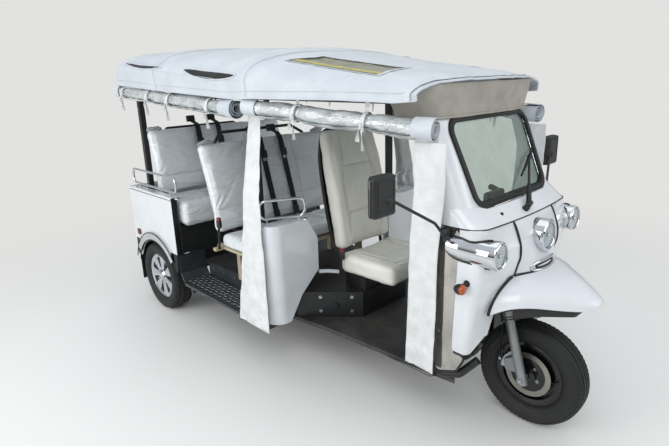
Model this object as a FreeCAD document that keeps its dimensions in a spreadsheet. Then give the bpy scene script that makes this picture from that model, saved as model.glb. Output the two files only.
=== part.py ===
"""Electric auto rickshaw: an open three-wheeled passenger vehicle with a canvas top.

Millimetres. +X is forward, +Y is the vehicle's left, +Z is up. The origin lies on the
ground, midway between the nose and the rear bumper.
"""
import FreeCAD, Part
import math
import os
import Sketcher

Vec = FreeCAD.Vector

# Driving dimensions: name, value in millimetres or degrees, meaning
SIZES = (
    ("front_axle_x", 1448, "front axle, forward of the origin"),
    ("rear_axle_x", -1348, "rear axle"),
    ("tyre_radius", 280, "outside radius of all three tyres"),
    ("front_tyre_width", 134, "front tyre across the walls"),
    ("rear_tyre_width", 160, "rear tyre across the walls"),
    ("front_wall", 106, "front tyre from the rim's lip to the tread"),
    ("rear_wall", 98, "rear tyre from the rim's lip to the tread"),
    ("wheel_inset", 76, "middle of a rear wheel, in from the rear body side"),
    ("tyre_bead", 22, "how far the rim sits inside the tyre wall"),
    ("disc_radius", 121, "front brake disc"),
    ("disc_hole", 88, "inside of the brake disc ring"),
    ("disc_thick", 5, "brake disc thickness"),
    ("disc_y", -46, "brake disc, to the right of the centre line"),
    ("axle_radius", 10, "front axle bolt"),
    ("fork_rake", 16, "steering axis, leaning back from upright, degrees"),
    ("fork_offset", 45, "fork legs ahead of the steering axis"),
    ("fork_leg_y", 112, "fork leg out from the centre line"),
    ("slider_radius", 24, "lower fork leg"),
    ("boot_radius", 33, "dust boot at the top of the lower leg"),
    ("rear_end_x", -1740, "back of the rear bumper"),
    ("body_half", 724, "rear body side, out from the centre line"),
    ("panel_wall", 6, "moulded body panel thickness"),
    ("floor_top", 330, "front floor"),
    ("floor_thick", 24, "floor sheet with its folded edge"),
    ("deck_top", 450, "passenger deck"),
    ("quarter_front_x", -982, "front edge of the rear quarter panel"),
    ("quarter_rear_x", -1700, "rear edge of the rear quarter panel"),
    ("quarter_top", 985, "top of the rear quarter panel"),
    ("quarter_low", 402, "lowest edge of the rear quarter panel"),
    ("arch_gap", 26, "arch opening round the rear tyre"),
    ("arch_lip", 58, "width of the polished arch trim"),
    ("step_front_x", -80, "front end of the side step"),
    ("step_top", 345, "side step tread"),
    ("step_inner_y", 500, "foot of the step's inner wall"),
    ("sheet", 4, "folded steel and aluminium sheet"),
    ("rail_half", 250, "chassis rail, out from the centre line"),
    ("rail_size", 60, "square chassis rail"),
    ("rail_low", 246, "underside of the chassis rails"),
    ("cowl_half", 460, "front body side, out from the centre line"),
    ("seam_z", 1134, "seam between the leg shield and the windscreen cowl"),
    ("cowl_top", 1665, "top of the windscreen cowl"),
    ("canopy_over", 18, "canopy edge, out from the rear body side"),
    ("canopy_wall", 6, "canvas and its piping"),
    ("post_size", 40, "square roof post"),
    ("roll_radius", 55, "rolled-up side curtain"),
    ("seat_gap", 0.3, "clearance where one piece rests on another"),
    ("post_y", 610, "roof post, out from the centre line"),
    ("kick_up", 120, "rise of the rear rails over the axle"),
    ("tow_eye_radius", 12, "hole in the rear towing eye"),
    ("tow_eye_thick", 12, "towing eye plate"),
    ("plate_hole_radius", 3.25, "holes for a number plate bracket"),
    ("plate_hole_gap", 280, "distance between the number plate holes"),
    ("tube_radius", 11, "grab rail and belt hoop tube"),
    ("rail_inset", 24, "grab rail and bumper end, in from the rear body side"),
    ("pod_inset", 20, "wall behind the driver, in from the rear body side"),
    ("pod_top", 975, "top of the wall behind the driver"),
    ("seat_box_half", 490, "driver's seat box at its widest, out from the centre line"),
    ("nose_half", 200, "nose panel, out from the centre line"),
    ("screen_low_in", 130, "windscreen's foot, in from the front body side"),
    ("screen_top_in", 102, "windscreen's top, in from the front body side"),
    ("lamp_z", 1036, "middle headlamp"),
    ("lamp_radius", 78, "middle headlamp barrel"),
    ("side_lamp_in", 58, "side headlamp, in from the front body side"),
    ("seat_half", 250, "driver's seat, half its width"),
    ("seat_low", 602, "underside of the driver's cushion"),
    ("seat_thick", 140, "driver's cushion"),
    ("seat_back_height", 770, "driver's backrest along its slope"),
    ("seat_lean", 10, "driver's backrest, leaning back, degrees"),
    ("bench_low", 715, "underside of the middle bench cushion"),
    ("bench_thick", 100, "middle bench cushion and backrest"),
    ("bench_back_height", 620, "middle backrest along its slope"),
    ("bench_lean", 15, "middle backrest, leaning back, degrees"),
    ("rear_seat_low", 760, "underside of the rear cushion"),
    ("rear_seat_thick", 190, "rear cushion"),
    ("rear_back_thick", 110, "rear backrest"),
    ("rear_back_height", 520, "rear backrest along its slope"),
    ("rear_lean", 10, "rear backrest, leaning back, degrees"),
)


class Size(float):
    """A length that keeps the sheet expression it was worked out from."""

    def __new__(cls, value, text):
        item = float.__new__(cls, value)
        item.text = text
        return item

    @staticmethod
    def text_of(value):
        return value.text if isinstance(value, Size) else repr(float(value))

    def joined(self, sign, left, right, value):
        return Size(value, "(%s %s %s)" % (Size.text_of(left), sign, Size.text_of(right)))

    def __add__(self, other):
        return self.joined("+", self, other, float(self) + float(other))

    def __radd__(self, other):
        return self.joined("+", other, self, float(other) + float(self))

    def __sub__(self, other):
        return self.joined("-", self, other, float(self) - float(other))

    def __rsub__(self, other):
        return self.joined("-", other, self, float(other) - float(self))

    def __mul__(self, other):
        return self.joined("*", self, other, float(self) * float(other))

    def __rmul__(self, other):
        return self.joined("*", other, self, float(other) * float(self))

    def __truediv__(self, other):
        return self.joined("/", self, other, float(self) / float(other))

    def __neg__(self):
        return self * -1.0


doc = FreeCAD.newDocument("AutoRickshaw")
sheet = doc.addObject("Spreadsheet::Sheet", "Sizes")
for row, (alias, value, meaning) in enumerate(SIZES, start=1):
    sheet.set("A%d" % row, alias)
    sheet.set("B%d" % row, str(value))
    sheet.set("C%d" % row, meaning)
    sheet.setAlias("B%d" % row, alias)
doc.recompute()


class Sheet:
    """Reads a named size as a Size, so that what is built from it can be bound to it."""

    def __getattr__(self, alias):
        return Size(getattr(sheet, alias), "Sizes." + alias)


s = Sheet()
subparts = []


def bind(item, prop, size):
    item.setExpression(prop, Size.text_of(size))


# Sketched bodies

def origin_plane(body, role):
    return next(f for f in body.Origin.OriginFeatures if f.Role == role)


def new_body(label, base=(0, 0, 0), turn=None):
    """A body with its own placement, bound to the sheet."""
    body = doc.addObject("PartDesign::Body", label)
    body.Label = label
    if turn:
        body.Placement = FreeCAD.Placement(Vec(0, 0, 0), turn)
    for axis, size in zip("xyz", base):
        if isinstance(size, Size):
            bind(body, "Placement.Base." + axis, size)
        else:
            now = body.Placement.Base
            body.Placement.Base = Vec(*[size if a == axis else getattr(now, a) for a in "xyz"])
    subparts.append(body)
    return body


def polygon_sketch(body, role, name, loops):
    """Closed loops of straight lines whose corners are all bound to the sheet."""
    sketch = body.newObject("Sketcher::SketchObject", name)
    sketch.AttachmentSupport = [(origin_plane(body, role), "")]
    sketch.MapMode = "FlatFace"
    for points in loops:
        first = sketch.GeometryCount
        count = len(points)
        for i in range(count):
            a, b = points[i], points[(i + 1) % count]
            sketch.addGeometry(Part.LineSegment(Vec(a[0], a[1], 0), Vec(b[0], b[1], 0)))
        for i in range(count):
            sketch.addConstraint(Sketcher.Constraint("Coincident", first + i, 2, first + (i + 1) % count, 1))
        for i, (u, v) in enumerate(points):
            for kind, size in (("DistanceX", u), ("DistanceY", v)):
                n = sketch.addConstraint(Sketcher.Constraint(kind, -1, 1, first + i, 1, float(size)))
                bind(sketch, "Constraints[%d]" % n, size)
    return sketch


def circle_sketch(body, role, name, circles):
    """Circles (u, v, radius) bound to the sheet."""
    sketch = body.newObject("Sketcher::SketchObject", name)
    sketch.AttachmentSupport = [(origin_plane(body, role), "")]
    sketch.MapMode = "FlatFace"
    for u, v, radius in circles:
        n = sketch.addGeometry(Part.Circle(Vec(u, v, 0), Vec(0, 0, 1), float(radius)))
        for kind, where, size in (("Radius", (n,), radius), ("DistanceX", (-1, 1, n, 3), u),
                                  ("DistanceY", (-1, 1, n, 3), v)):
            c = sketch.addConstraint(Sketcher.Constraint(kind, *where, float(size)))
            bind(sketch, "Constraints[%d]" % c, size)
    return sketch


def pad(body, name, sketch, length, both=False, back=False):
    item = body.newObject("PartDesign::Pad", name)
    item.Profile = sketch
    bind(item, "Length", length)
    item.Midplane = both
    item.Reversed = back
    return item


def pocket(body, name, sketch, length, both=True):
    item = body.newObject("PartDesign::Pocket", name)
    item.Profile = sketch
    bind(item, "Length", length)
    item.Midplane = both
    return item


def revolve(body, name, sketch):
    """A full turn about the sketch's own vertical axis."""
    item = body.newObject("PartDesign::Revolution", name)
    item.Profile = sketch
    item.ReferenceAxis = (sketch, ["V_Axis"])
    item.Angle = 360
    return item


# Shapes made by Part's own functions

def feature(label, solids):
    """One sub-part from solids that don't touch, or from one solid."""
    item = doc.addObject("Part::Feature", label)
    item.Label = label
    item.Shape = Part.makeCompound(solids)
    item.Placement = FreeCAD.Placement()
    subparts.append(item)
    return item


def box(x, y, z):
    """A box between pairs of limits."""
    return Part.makeBox(x[1] - x[0], y[1] - y[0], z[1] - z[0], Vec(x[0], y[0], z[0]))


def rounded_box(x, y, z, radius):
    solid = box(x, y, z)
    return solid.makeFillet(float(radius), solid.Edges)


def rod(a, b, radius):
    axis = Vec(*b) - Vec(*a)
    return Part.makeCylinder(float(radius), axis.Length, Vec(*a), axis)


def ring(centre, axis, outer, inner, length):
    body = Part.makeCylinder(float(outer), float(length), Vec(*centre), Vec(*axis))
    return body.cut(Part.makeCylinder(float(inner), float(length), Vec(*centre), Vec(*axis)))


def bent_wire(points, bend, closed=False):
    """Straight runs joined by tangent arcs of one bend radius."""
    points = [Vec(*p) for p in points]
    count = len(points)
    corners = range(count) if closed else range(1, count - 1)
    cuts = {}
    edges = []
    for i in corners:
        before = (points[i - 1] - points[i]).normalize()
        after = (points[(i + 1) % count] - points[i]).normalize()
        half = before.getAngle(after) / 2
        reach = bend / math.tan(half)
        middle = (before + after).normalize()
        centre = points[i] + middle * (bend / math.sin(half))
        cuts[i] = (points[i] + before * reach, centre - middle * bend, points[i] + after * reach)
    last = count if closed else count - 1
    for i in range(last):
        j = (i + 1) % count
        start = cuts[i][2] if i in cuts else points[i]
        end = cuts[j][0] if j in cuts else points[j]
        edges.append(Part.LineSegment(start, end).toShape())
        if j in cuts:
            edges.append(Part.Arc(*cuts[j]).toShape())
    return Part.Wire(Part.__sortEdges__(edges))


def tube(points, radius, bend, closed=False):
    """A round bar along straight runs and arcs."""
    path = bent_wire(points, bend, closed)
    start = path.Edges[0]
    where = start.valueAt(start.FirstParameter)
    heading = start.tangentAt(start.FirstParameter)
    section = Part.Face(Part.Wire(Part.makeCircle(float(radius), where, heading)))
    pipe = path.makePipe(section)
    if pipe.Volume < 0:
        pipe.reverse()
    return pipe


def prism(points, direction):
    """A flat outline pushed along a direction."""
    face = Part.Face(Part.makePolygon([Vec(*p) for p in points] + [Vec(*points[0])]))
    return face.extrude(Vec(*direction))


def loft(wires, ruled=True):
    return Part.makeLoft(wires, True, ruled)


def mirrored(solid):
    """The same piece on the vehicle's other side."""
    return solid.mirror(Vec(0, 0, 0), Vec(0, 1, 0))


def moved(solid, y):
    """The same piece further along Y."""
    solid.translate(Vec(0, y, 0))
    return solid


def pair(solid):
    return [solid, mirrored(solid)]


def plan_wire(z, front, half, corner, rear, bow=0.0):
    """A U-shaped front body in plan: straight sides, round corners and a bowed front."""
    edge = front - bow
    slant = corner * (1 - math.cos(math.pi / 4))
    a, b = Vec(rear, -half, z), Vec(edge - corner, -half, z)
    c, d = Vec(edge - slant, -half + slant, z), Vec(edge, -half + corner, z)
    e = Vec(front, 0, z)
    f, g, k = Vec(d.x, -d.y, z), Vec(c.x, -c.y, z), Vec(b.x, -b.y, z)
    p = Vec(rear, half, z)
    return Part.Wire([
        Part.LineSegment(a, b).toShape(), Part.Arc(b, c, d).toShape(), Part.Arc(d, e, f).toShape(),
        Part.Arc(f, g, k).toShape(), Part.LineSegment(k, p).toShape(), Part.LineSegment(p, a).toShape()])


def roof_wire(x, half, edge, shoulder, crown):
    """A canopy section: upright valances and an arched top."""
    a, b = Vec(x, -half, edge), Vec(x, -half, shoulder)
    c, d = Vec(x, half, shoulder), Vec(x, half, edge)
    return Part.Wire([
        Part.LineSegment(a, b).toShape(), Part.Arc(b, Vec(x, 0, crown), c).toShape(),
        Part.LineSegment(c, d).toShape(), Part.LineSegment(d, a).toShape()])


ACROSS = FreeCAD.Rotation(Vec(1, 0, 0), -90)
axle_z = s.tyre_radius
front_rim_radius = s.tyre_radius - s.front_wall
rear_rim_radius = s.tyre_radius - s.rear_wall
rear_wheel_y = s.body_half - s.wheel_inset
front_axle = (s.front_axle_x, 0.0, axle_z)
rake = math.radians(s.fork_rake)
steer_axis = Vec(-math.sin(rake), 0, math.cos(rake))
steer_foot = Vec(s.front_axle_x - s.fork_offset / math.cos(rake), 0, axle_z)


# Wheels

def tyre(label, base, width, rim):
    body = new_body(label, base, ACROSS)
    radius = s.tyre_radius
    half = width / 2
    seat = rim + s.seat_gap
    points = [
        (seat, -half + s.tyre_bead), (rim + 8, -half + 12), (rim + 30, -half + 2), (radius - 38, -half),
        (radius - 14, -half + 10), (radius - 3, -half + 30), (radius, -half + 46),
        (radius, half - 46), (radius - 3, half - 30), (radius - 14, half - 10),
        (radius - 38, half), (rim + 30, half - 2), (rim + 8, half - 12), (seat, half - s.tyre_bead)]
    revolve(body, label + "_turn", polygon_sketch(body, "XZ_Plane", label + "_profile", [points]))


def front_rim():
    body = new_body("front_rim", front_axle, ACROSS)
    half = s.front_tyre_width / 2 - s.tyre_bead
    rim = front_rim_radius
    inside = s.axle_radius + 0.3
    points = [
        (inside, -54), (45, -54), (45, -10), (rim - 34, -10), (rim - 30, -half + 6), (rim - 12, -half),
        (rim, -half), (rim - 12.5, -half + 10), (rim - 12.5, half - 10), (rim, half), (rim - 12, half),
        (rim - 30, half - 6), (rim - 34, 10), (45, 10), (45, 60), (inside, 60)]
    revolve(body, "front_rim_turn", polygon_sketch(body, "XZ_Plane", "front_rim_profile", [points]))


def rear_rim(side, label):
    base = (s.rear_axle_x, rear_wheel_y * side, axle_z)
    turn = ACROSS if side > 0 else FreeCAD.Rotation(Vec(1, 0, 0), 90)
    body = new_body(label, base, turn)
    half = s.rear_tyre_width / 2 - s.tyre_bead
    rim = rear_rim_radius
    points = [
        (0, half - 58), (60, half - 58), (60, half - 34), (rim - 22, half - 20), (rim - 22, -half + 6),
        (rim, -half), (rim - 12.5, -half + 10), (rim - 12.5, half - 10), (rim, half), (rim - 10, half),
        (rim - 22, half - 4), (52, half - 8), (36, half + 4), (0, half + 4)]
    barrel = revolve(body, label + "_turn", polygon_sketch(body, "XZ_Plane", label + "_profile", [points]))
    doc.recompute()
    window = polygon_sketch(body, "XY_Plane", label + "_window", [[
        (66, -9), (rim - 32, -30), (rim - 27, 0), (rim - 32, 30), (66, 9)]])
    cut = pocket(body, label + "_gap", window, 4 * half)
    spokes = body.newObject("PartDesign::PolarPattern", label + "_spokes")
    spokes.Originals = [cut]
    spokes.Axis = (window, ["N_Axis"])
    spokes.Angle = 360
    spokes.Occurrences = 7
    body.Tip = spokes


tyre("front_tyre", front_axle, s.front_tyre_width, front_rim_radius)
front_rim()
for side, end in ((-1, "right"), (1, "left")):
    hub = (s.rear_axle_x, rear_wheel_y * side, axle_z)
    tyre("rear_tyre_" + end, hub, s.rear_tyre_width, rear_rim_radius)
    rear_rim(side, "rear_rim_" + end)

disc = new_body("brake_disc", (s.front_axle_x, s.disc_y, axle_z), ACROSS)
pad(disc, "disc_ring", circle_sketch(disc, "XY_Plane", "disc_circles", [
    (0, 0, s.disc_radius), (0, 0, s.disc_hole - 42.7)]), s.disc_thick, both=True)


# Front fork and handlebar

def on_leg(height, y, forward=0.0):
    """A point on a fork leg, by its distance up the leg from the axle."""
    along = steer_axis * height
    out = Vec(math.cos(rake), 0, math.sin(rake)) * forward
    return Vec(*front_axle) + along + out + Vec(0, y, 0)


def fork():
    leg_y = s.fork_leg_y
    solids = []
    for y in (-leg_y, leg_y):
        solids.append(rod(on_leg(-26, y), on_leg(352, y), s.slider_radius))
        solids.append(rod(on_leg(330, y), on_leg(392, y), s.boot_radius))
        solids.append(rod(on_leg(380, y), on_leg(600, y), s.slider_radius - 4))
    bolt = [(s.front_axle_x, y, axle_z) for y in (-leg_y - 30, leg_y + 30)]
    solids.append(rod(bolt[0], bolt[1], s.axle_radius))
    for height in (440, 562):
        clamp = box((-35 - s.fork_offset, 35), (-leg_y - 30, leg_y + 30), (0, 26))
        clamp.rotate(Vec(0, 0, 0), Vec(0, 1, 0), -s.fork_rake)
        clamp.translate(on_leg(height, 0))
        solids.append(clamp)
    lug = prism([
        tuple(on_leg(20, -leg_y + 15)), tuple(on_leg(120, -leg_y + 15)), tuple(on_leg(96, -leg_y + 15, -92)),
        tuple(on_leg(40, -leg_y + 15, -92))], (0, leg_y - 15 + s.disc_y - 24.3, 0))
    solids.append(lug)
    stem_low = on_leg(440, 0, -s.fork_offset)
    stem_high = on_leg(900, 0, -s.fork_offset)
    solids.append(rod(stem_low, stem_high, 19.7))
    whole = solids[0].multiFuse(solids[1:])
    feature("fork", [whole.removeSplitter()])
    return stem_high


def caliper():
    """A curved block astride the disc, behind the right-hand leg."""
    y = s.disc_y
    near, far, half = s.disc_radius - 38, s.disc_radius + 20, 24
    block = ring((s.front_axle_x, y - half, axle_z), (0, 1, 0), far, near, 2 * half)
    slot = ring((s.front_axle_x, y - 7, axle_z), (0, 1, 0), s.disc_radius + 6, near - 5, 14)
    reach = far * 1.3
    wedge = [(s.front_axle_x, y - 40, axle_z)]
    for degrees in (126, 176):
        angle = math.radians(degrees)
        wedge.append((s.front_axle_x + reach * math.cos(angle), y - 40, axle_z + reach * math.sin(angle)))
    return block.cut(slot).common(prism(wedge, (0, 80, 0)))


stem_top = fork()
feature("brake_caliper", [caliper()])
bar_mid = stem_top + steer_axis * (12 + s.seat_gap)
bar = tube([
    (bar_mid.x - 150, -270, bar_mid.z + 20), (bar_mid.x - 50, -190, bar_mid.z + 20),
    (bar_mid.x, -90, bar_mid.z), (bar_mid.x, 90, bar_mid.z),
    (bar_mid.x - 50, 190, bar_mid.z + 20), (bar_mid.x - 150, 270, bar_mid.z + 20)], 12, 40)
feature("handlebar", [bar])


# Chassis

def chassis_frame():
    """Two rails that kick up over the rear axle, cross members, step brackets and the steering neck."""
    low, size, half = s.rail_low, s.rail_size, s.rail_half
    high = low + s.kick_up
    solids = []
    for side in (-1, 1):
        inner = half * side - size / 2
        solids.append(box((-1060, 1060), (inner, inner + size), (low, low + size)))
        solids.append(box((-1640, -1060), (inner, inner + size), (high, high + size)))
        solids.append(box((-1120, -1060), (inner, inner + size), (low, high + size)))
        solids.append(prism([
            (1060, inner, low), (1060, inner + size, low), (1116, 45 * side + size / 2, low),
            (1116, 45 * side - size / 2, low)], (0, 0, size)))
        stub = (half * side, (s.post_y + 30) * side)
        solids.append(box((-60, 0), (min(stub), max(stub)), (low, low + size)))
        for x in (-880, -240):
            reach = (half, s.body_half - 25)
            limits = reach if side > 0 else (-reach[1], -reach[0])
            solids.append(box((x, x + 30), limits, (low + 20, s.step_top - s.sheet - s.seat_gap)))
    for x, z in ((-1640, high), (-1120, high), (-60, low), (560, low), (1000, low)):
        solids.append(box((x, x + size), (-half, half), (z, z + size)))
    head_low = on_leg(480, 0, -s.fork_offset)
    head_high = on_leg(554, 0, -s.fork_offset)
    neck = rod(head_low, head_high, 32)
    solids.append(neck)
    solids.append(prism([
        (1060, -30, low), (1120, -30, low), (1120, -30, 690), (head_low.x - 10, -30, head_low.z + 14),
        (head_high.x, -30, head_high.z - 10), (1060, -30, head_low.z)], (0, 60, 0)))
    whole = solids[0].multiFuse(solids[1:])
    bore = rod(on_leg(430, 0, -s.fork_offset), on_leg(620, 0, -s.fork_offset), 20)
    eye_z = high + size / 2
    eye = box((-1702, -1630), (-30, 30), (eye_z - s.tow_eye_thick / 2, eye_z + s.tow_eye_thick / 2))
    eye_x = -1702 + s.tow_eye_radius * 2
    hole = rod((eye_x, 0, eye_z - 50), (eye_x, 0, eye_z + 50), s.tow_eye_radius)
    feature("chassis_frame", [whole.cut(bore).fuse(eye.cut(hole)).removeSplitter()])


chassis_frame()

battery = box((-1000, -100), (-s.rail_half + 30.3, s.rail_half - 30.3), (210, 420))
feature("battery_pack", [battery])

tube_end = rear_wheel_y - 88
axle_tube = rod((s.rear_axle_x, -tube_end, axle_z), (s.rear_axle_x, tube_end, axle_z), 38)
drive_top = s.rail_low + s.kick_up + 24
drive = rounded_box((s.rear_axle_x - 110, s.rear_axle_x + 150), (-130, 130), (axle_z - 90, drive_top), 20)
drums = []
for side in (-1, 1):
    drum = [(s.rear_axle_x, (tube_end + share) * side, axle_z) for share in (-4, 72)]
    drums.append(rod(drum[0], drum[1], 105))
    perch = (s.rail_half * side - 25, s.rail_half * side + 25)
    perch_z = (axle_z + 20, s.rail_low + s.kick_up - s.seat_gap)
    drums.append(box((s.rear_axle_x - 40, s.rear_axle_x + 40), perch, perch_z))
    half_shaft = [(s.rear_axle_x, y * side, axle_z) for y in (tube_end + 40, rear_wheel_y - s.seat_gap)]
    drums.append(rod(half_shaft[0], half_shaft[1], 24))
feature("drive_axle", [axle_tube.multiFuse([drive] + drums).removeSplitter()])


# Floor, deck and steps

def floor_pan():
    body = new_body("floor_pan", (0, 0, s.floor_top - s.floor_thick))
    wide, middle, narrow = s.step_inner_y + 5, s.cowl_half + 5, s.cowl_half - 40
    outline = [
        (60, -wide), (400, -middle), (1140, -narrow), (1240, -narrow + 10), (1150, -300), (1150, -31),
        (1059.7, -31), (1059.7, 31), (1150, 31), (1150, 300), (1240, narrow - 10), (1140, narrow),
        (400, middle), (60, wide)]
    pad(body, "floor_sheet", polygon_sketch(body, "XY_Plane", "floor_outline", [outline]), s.floor_thick)


floor_pan()
deck = box((s.quarter_front_x - 260, 60), (-s.step_inner_y, s.step_inner_y), (s.deck_top - 24, s.deck_top))
feature("passenger_deck", [deck])


def side_step():
    """A dished tread plate: outer lip, tread, upturned inner wall and a rise at the wheel."""
    outer, inner, top, sheet_wall = s.body_half - 4, s.step_inner_y, s.step_top, s.sheet
    profile = [
        (0, -outer, top + 8), (0, -outer, top - 28), (0, -outer + 20, top - 28),
        (0, -outer + 20, top - sheet_wall), (0, -inner - s.seat_gap, top - sheet_wall),
        (0, -inner - s.seat_gap, s.deck_top),
        (0, -inner - sheet_wall, s.deck_top), (0, -inner - sheet_wall, top), (0, -outer + 4, top),
        (0, -outer + 4, top + 8)]
    start = s.quarter_front_x + 60
    run = prism(profile, (s.step_front_x - start, 0, 0))
    run.translate(Vec(start, 0, 0))
    rise = prism([
        (start, -outer, top - 28), (start, -outer, top), (start - 40, -outer, top + 60),
        (start - 52, -outer, s.deck_top + 95), (start - 58, -outer, s.deck_top + 95),
        (start - 46, -outer, top + 50)], (0, outer - inner - sheet_wall, 0))
    return run.fuse(rise).removeSplitter()


feature("side_steps", pair(side_step()))


# Rear body

def quarter_panel():
    """The white side with its wheel arch, a folded front edge and a roof-post corner."""
    out, wall = s.body_half, s.panel_wall
    front, rear, top, low = s.quarter_front_x, s.quarter_rear_x, s.quarter_top, s.quarter_low
    side = box((rear, front), (-out, -out + wall), (low, top))
    cap = box((rear, front), (-out, -out + 62), (top - wall, top))
    front_fold = box((front - wall, front), (-out, -out + 46), (s.deck_top + 95, top))
    rear_fold = box((rear, rear + wall), (-out, -out + 62), (low, top))
    across = [(s.rear_axle_x, y, axle_z) for y in (-out - 10, -out + 230)]
    arch = rod(across[0], across[1], s.tyre_radius + s.arch_gap)
    whole = side.multiFuse([cap, front_fold, rear_fold]).cut(arch)
    corner = box((front - 140, front + 10), (-out - 10, -out + 20), (low - 10, s.deck_top + 95))
    return whole.cut(corner).removeSplitter()


feature("rear_quarters", pair(quarter_panel()))


def arch_trim():
    inner = s.tyre_radius + s.arch_gap
    trim = ring((s.rear_axle_x, -s.body_half - 14, axle_z), (0, 1, 0), inner + s.arch_lip, inner + 2, 13.7)
    y, high, x = -s.body_half - 76, axle_z + 620, s.rear_axle_x
    keep = prism([
        (x, y, axle_z), (x + 620, y, axle_z + 420), (x + 300, y, high), (x - 500, y, high),
        (x - 620, y, axle_z + 380)], (0, 200, 0))
    return trim.common(keep)


feature("arch_trims", pair(arch_trim()))

flap_x = s.quarter_rear_x + s.panel_wall + s.seat_gap
flap_y = -s.body_half + s.panel_wall + s.seat_gap
flap = box((flap_x, flap_x + 8), (flap_y, flap_y + 140), (170, 470))
feature("mud_flaps", pair(flap))

panel_x = (s.quarter_rear_x - 8, s.quarter_rear_x - s.seat_gap)
rear_panel = box(panel_x, (-s.body_half, s.body_half), (430, s.quarter_top))
for side in (-1, 1):
    y = side * s.plate_hole_gap / 2
    plate_hole = rod((s.quarter_rear_x - 50, y, 620), (s.quarter_rear_x + 50, y, 620), s.plate_hole_radius)
    rear_panel = rear_panel.cut(plate_hole)
feature("rear_panel", [rear_panel])
bumper_half = s.body_half - s.rail_inset
bumper = rounded_box((s.rear_end_x, s.quarter_rear_x - 8.3), (-bumper_half, bumper_half), (432, 502), 12)
feature("rear_bumper", [bumper])
box_half = rear_wheel_y - s.rear_tyre_width / 2 - 78
box_x = (s.quarter_rear_x + s.panel_wall + s.seat_gap, s.quarter_front_x - s.panel_wall - s.seat_gap)
box_y = s.body_half - s.panel_wall - s.seat_gap
wheel_box = box(box_x, (-box_half, box_half), (s.deck_top + s.seat_gap, s.rear_seat_low))
hollow = box_half - 8
wheel_box = wheel_box.cut(box(
    (box_x[0] + 7.7, box_x[1] - 7.7), (-hollow, hollow), (s.deck_top, s.rear_seat_low - 8)))
shelf_z = axle_z + s.tyre_radius + 72
boards = [box(box_x, (-box_y, box_y), (shelf_z, shelf_z + 8))]
for side in (-1, 1):
    reach = (box_half * side, box_y * side)
    boards.append(box(
        (box_x[1] - 8, box_x[1]), (min(reach), max(reach)), (s.deck_top + 95.3, s.rear_seat_low)))
feature("rear_bench_box", [wheel_box.multiFuse(boards).removeSplitter()])


# Wall behind the driver

def mid_pod():
    """An upright wall facing forward, rounded round its outer corner into a short side."""
    out, wall, corner = s.body_half - s.pod_inset, s.panel_wall, 90
    x = 180
    side_back = -60
    a, b = Vec(side_back, -out, 0), Vec(x - corner, -out, 0)
    slant = corner * (1 - math.cos(math.pi / 4))
    c, d = Vec(x - slant, -out + slant, 0), Vec(x, -out + corner, 0)
    e, f = Vec(x, -345, 0), Vec(x - 60, -345, 0)
    g, k = Vec(x - 60, -out + 60, 0), Vec(side_back, -out + 60, 0)
    edges = [
        Part.LineSegment(a, b).toShape(), Part.Arc(b, c, d).toShape(), Part.LineSegment(d, e).toShape(),
        Part.LineSegment(e, f).toShape(), Part.LineSegment(f, g).toShape(), Part.LineSegment(g, k).toShape(),
        Part.LineSegment(k, a).toShape()]
    block = Part.Face(Part.Wire(edges)).extrude(Vec(0, 0, s.pod_top - s.floor_top + 5))
    block.translate(Vec(0, 0, s.floor_top + 20))
    outline = [
        (300, -out - 5, s.floor_top), (300, -out + 104, s.floor_top),
        (300, -s.seat_box_half - s.seat_gap, s.floor_top + 170 + s.seat_gap), (300, -345, 630),
        (300, -340, s.pod_top - 145), (300, -425, s.pod_top), (300, -out - 5, s.pod_top)]
    front = prism(outline, (-500, 0, 0))
    return block.common(front)


feature("mid_pods", pair(mid_pod()))


# Chrome rails

def stadium_rail(x, y, low, high):
    """A closed loop of tube standing on two short legs."""
    corners = [(x[0], y[0], low), (x[1], y[1], low), (x[1], y[1], high), (x[0], y[0], high)]
    loop = tube(corners, s.tube_radius - 2, 40, True)
    legs = []
    for share in (0.15, 0.85):
        px = x[0] + (x[1] - x[0]) * share
        py = y[0] + (y[1] - y[0]) * share
        legs.append((px, py))
    return loop, legs


def rails():
    solids = []
    y = -s.body_half + s.rail_inset
    loop, legs = stadium_rail((-1640, -930), (y, y), s.quarter_top + 40, s.quarter_top + 150)
    for x, y in legs:
        loop = loop.fuse(rod((x, y, s.quarter_top + s.seat_gap), (x, y, s.quarter_top + 40), 5))
    solids += pair(loop)
    low = s.pod_top + 25
    loop, legs = stadium_rail((50, 170), (y + 20, -430), low, low + 110)
    for x, y in legs:
        loop = loop.fuse(rod((x, y, s.pod_top + s.seat_gap), (x, y, low), 5))
    solids += pair(loop)
    feature("grab_rails", solids)


rails()


# Seats

def seat_block(inset, low):
    """The space under the driver's seat: a trapezoid in plan whose front corners are cut off."""
    half, front = s.seat_box_half - inset, 440 - inset
    return prism([
        (130, -half, low), (front, -215 + inset * 0.5, low), (front, 215 - inset * 0.5, low),
        (130, half, low), (60 + inset, half, low), (60 + inset, -half, low)],
        (0, 0, s.floor_top + 170 - inset - low))


seat_box = seat_block(0.0, s.floor_top).cut(seat_block(8.0, s.floor_top - 1))
pedestal_half = s.seat_half - 70
pedestal = box((260, 430), (-pedestal_half, pedestal_half), (s.floor_top + 165, s.seat_low - s.seat_gap))
feature("driver_seat_box", [seat_box.fuse(pedestal).removeSplitter()])

seat_y = (-s.seat_half, s.seat_half)
feature("driver_cushion", [rounded_box((262, 700), seat_y, (s.seat_low, s.seat_low + s.seat_thick), 38)])


def leaning(solid, lean, foot):
    """A piece drawn upright, leant back about its foot."""
    solid.rotate(Vec(0, 0, 0), Vec(0, 1, 0), -lean)
    solid.translate(Vec(*foot))
    return solid


back = rounded_box((0, 125), seat_y, (0, s.seat_back_height), 38)
feature("driver_backrest", [leaning(back, s.seat_lean, (205, 0, s.seat_low + s.seat_thick - 15.7))])

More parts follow.
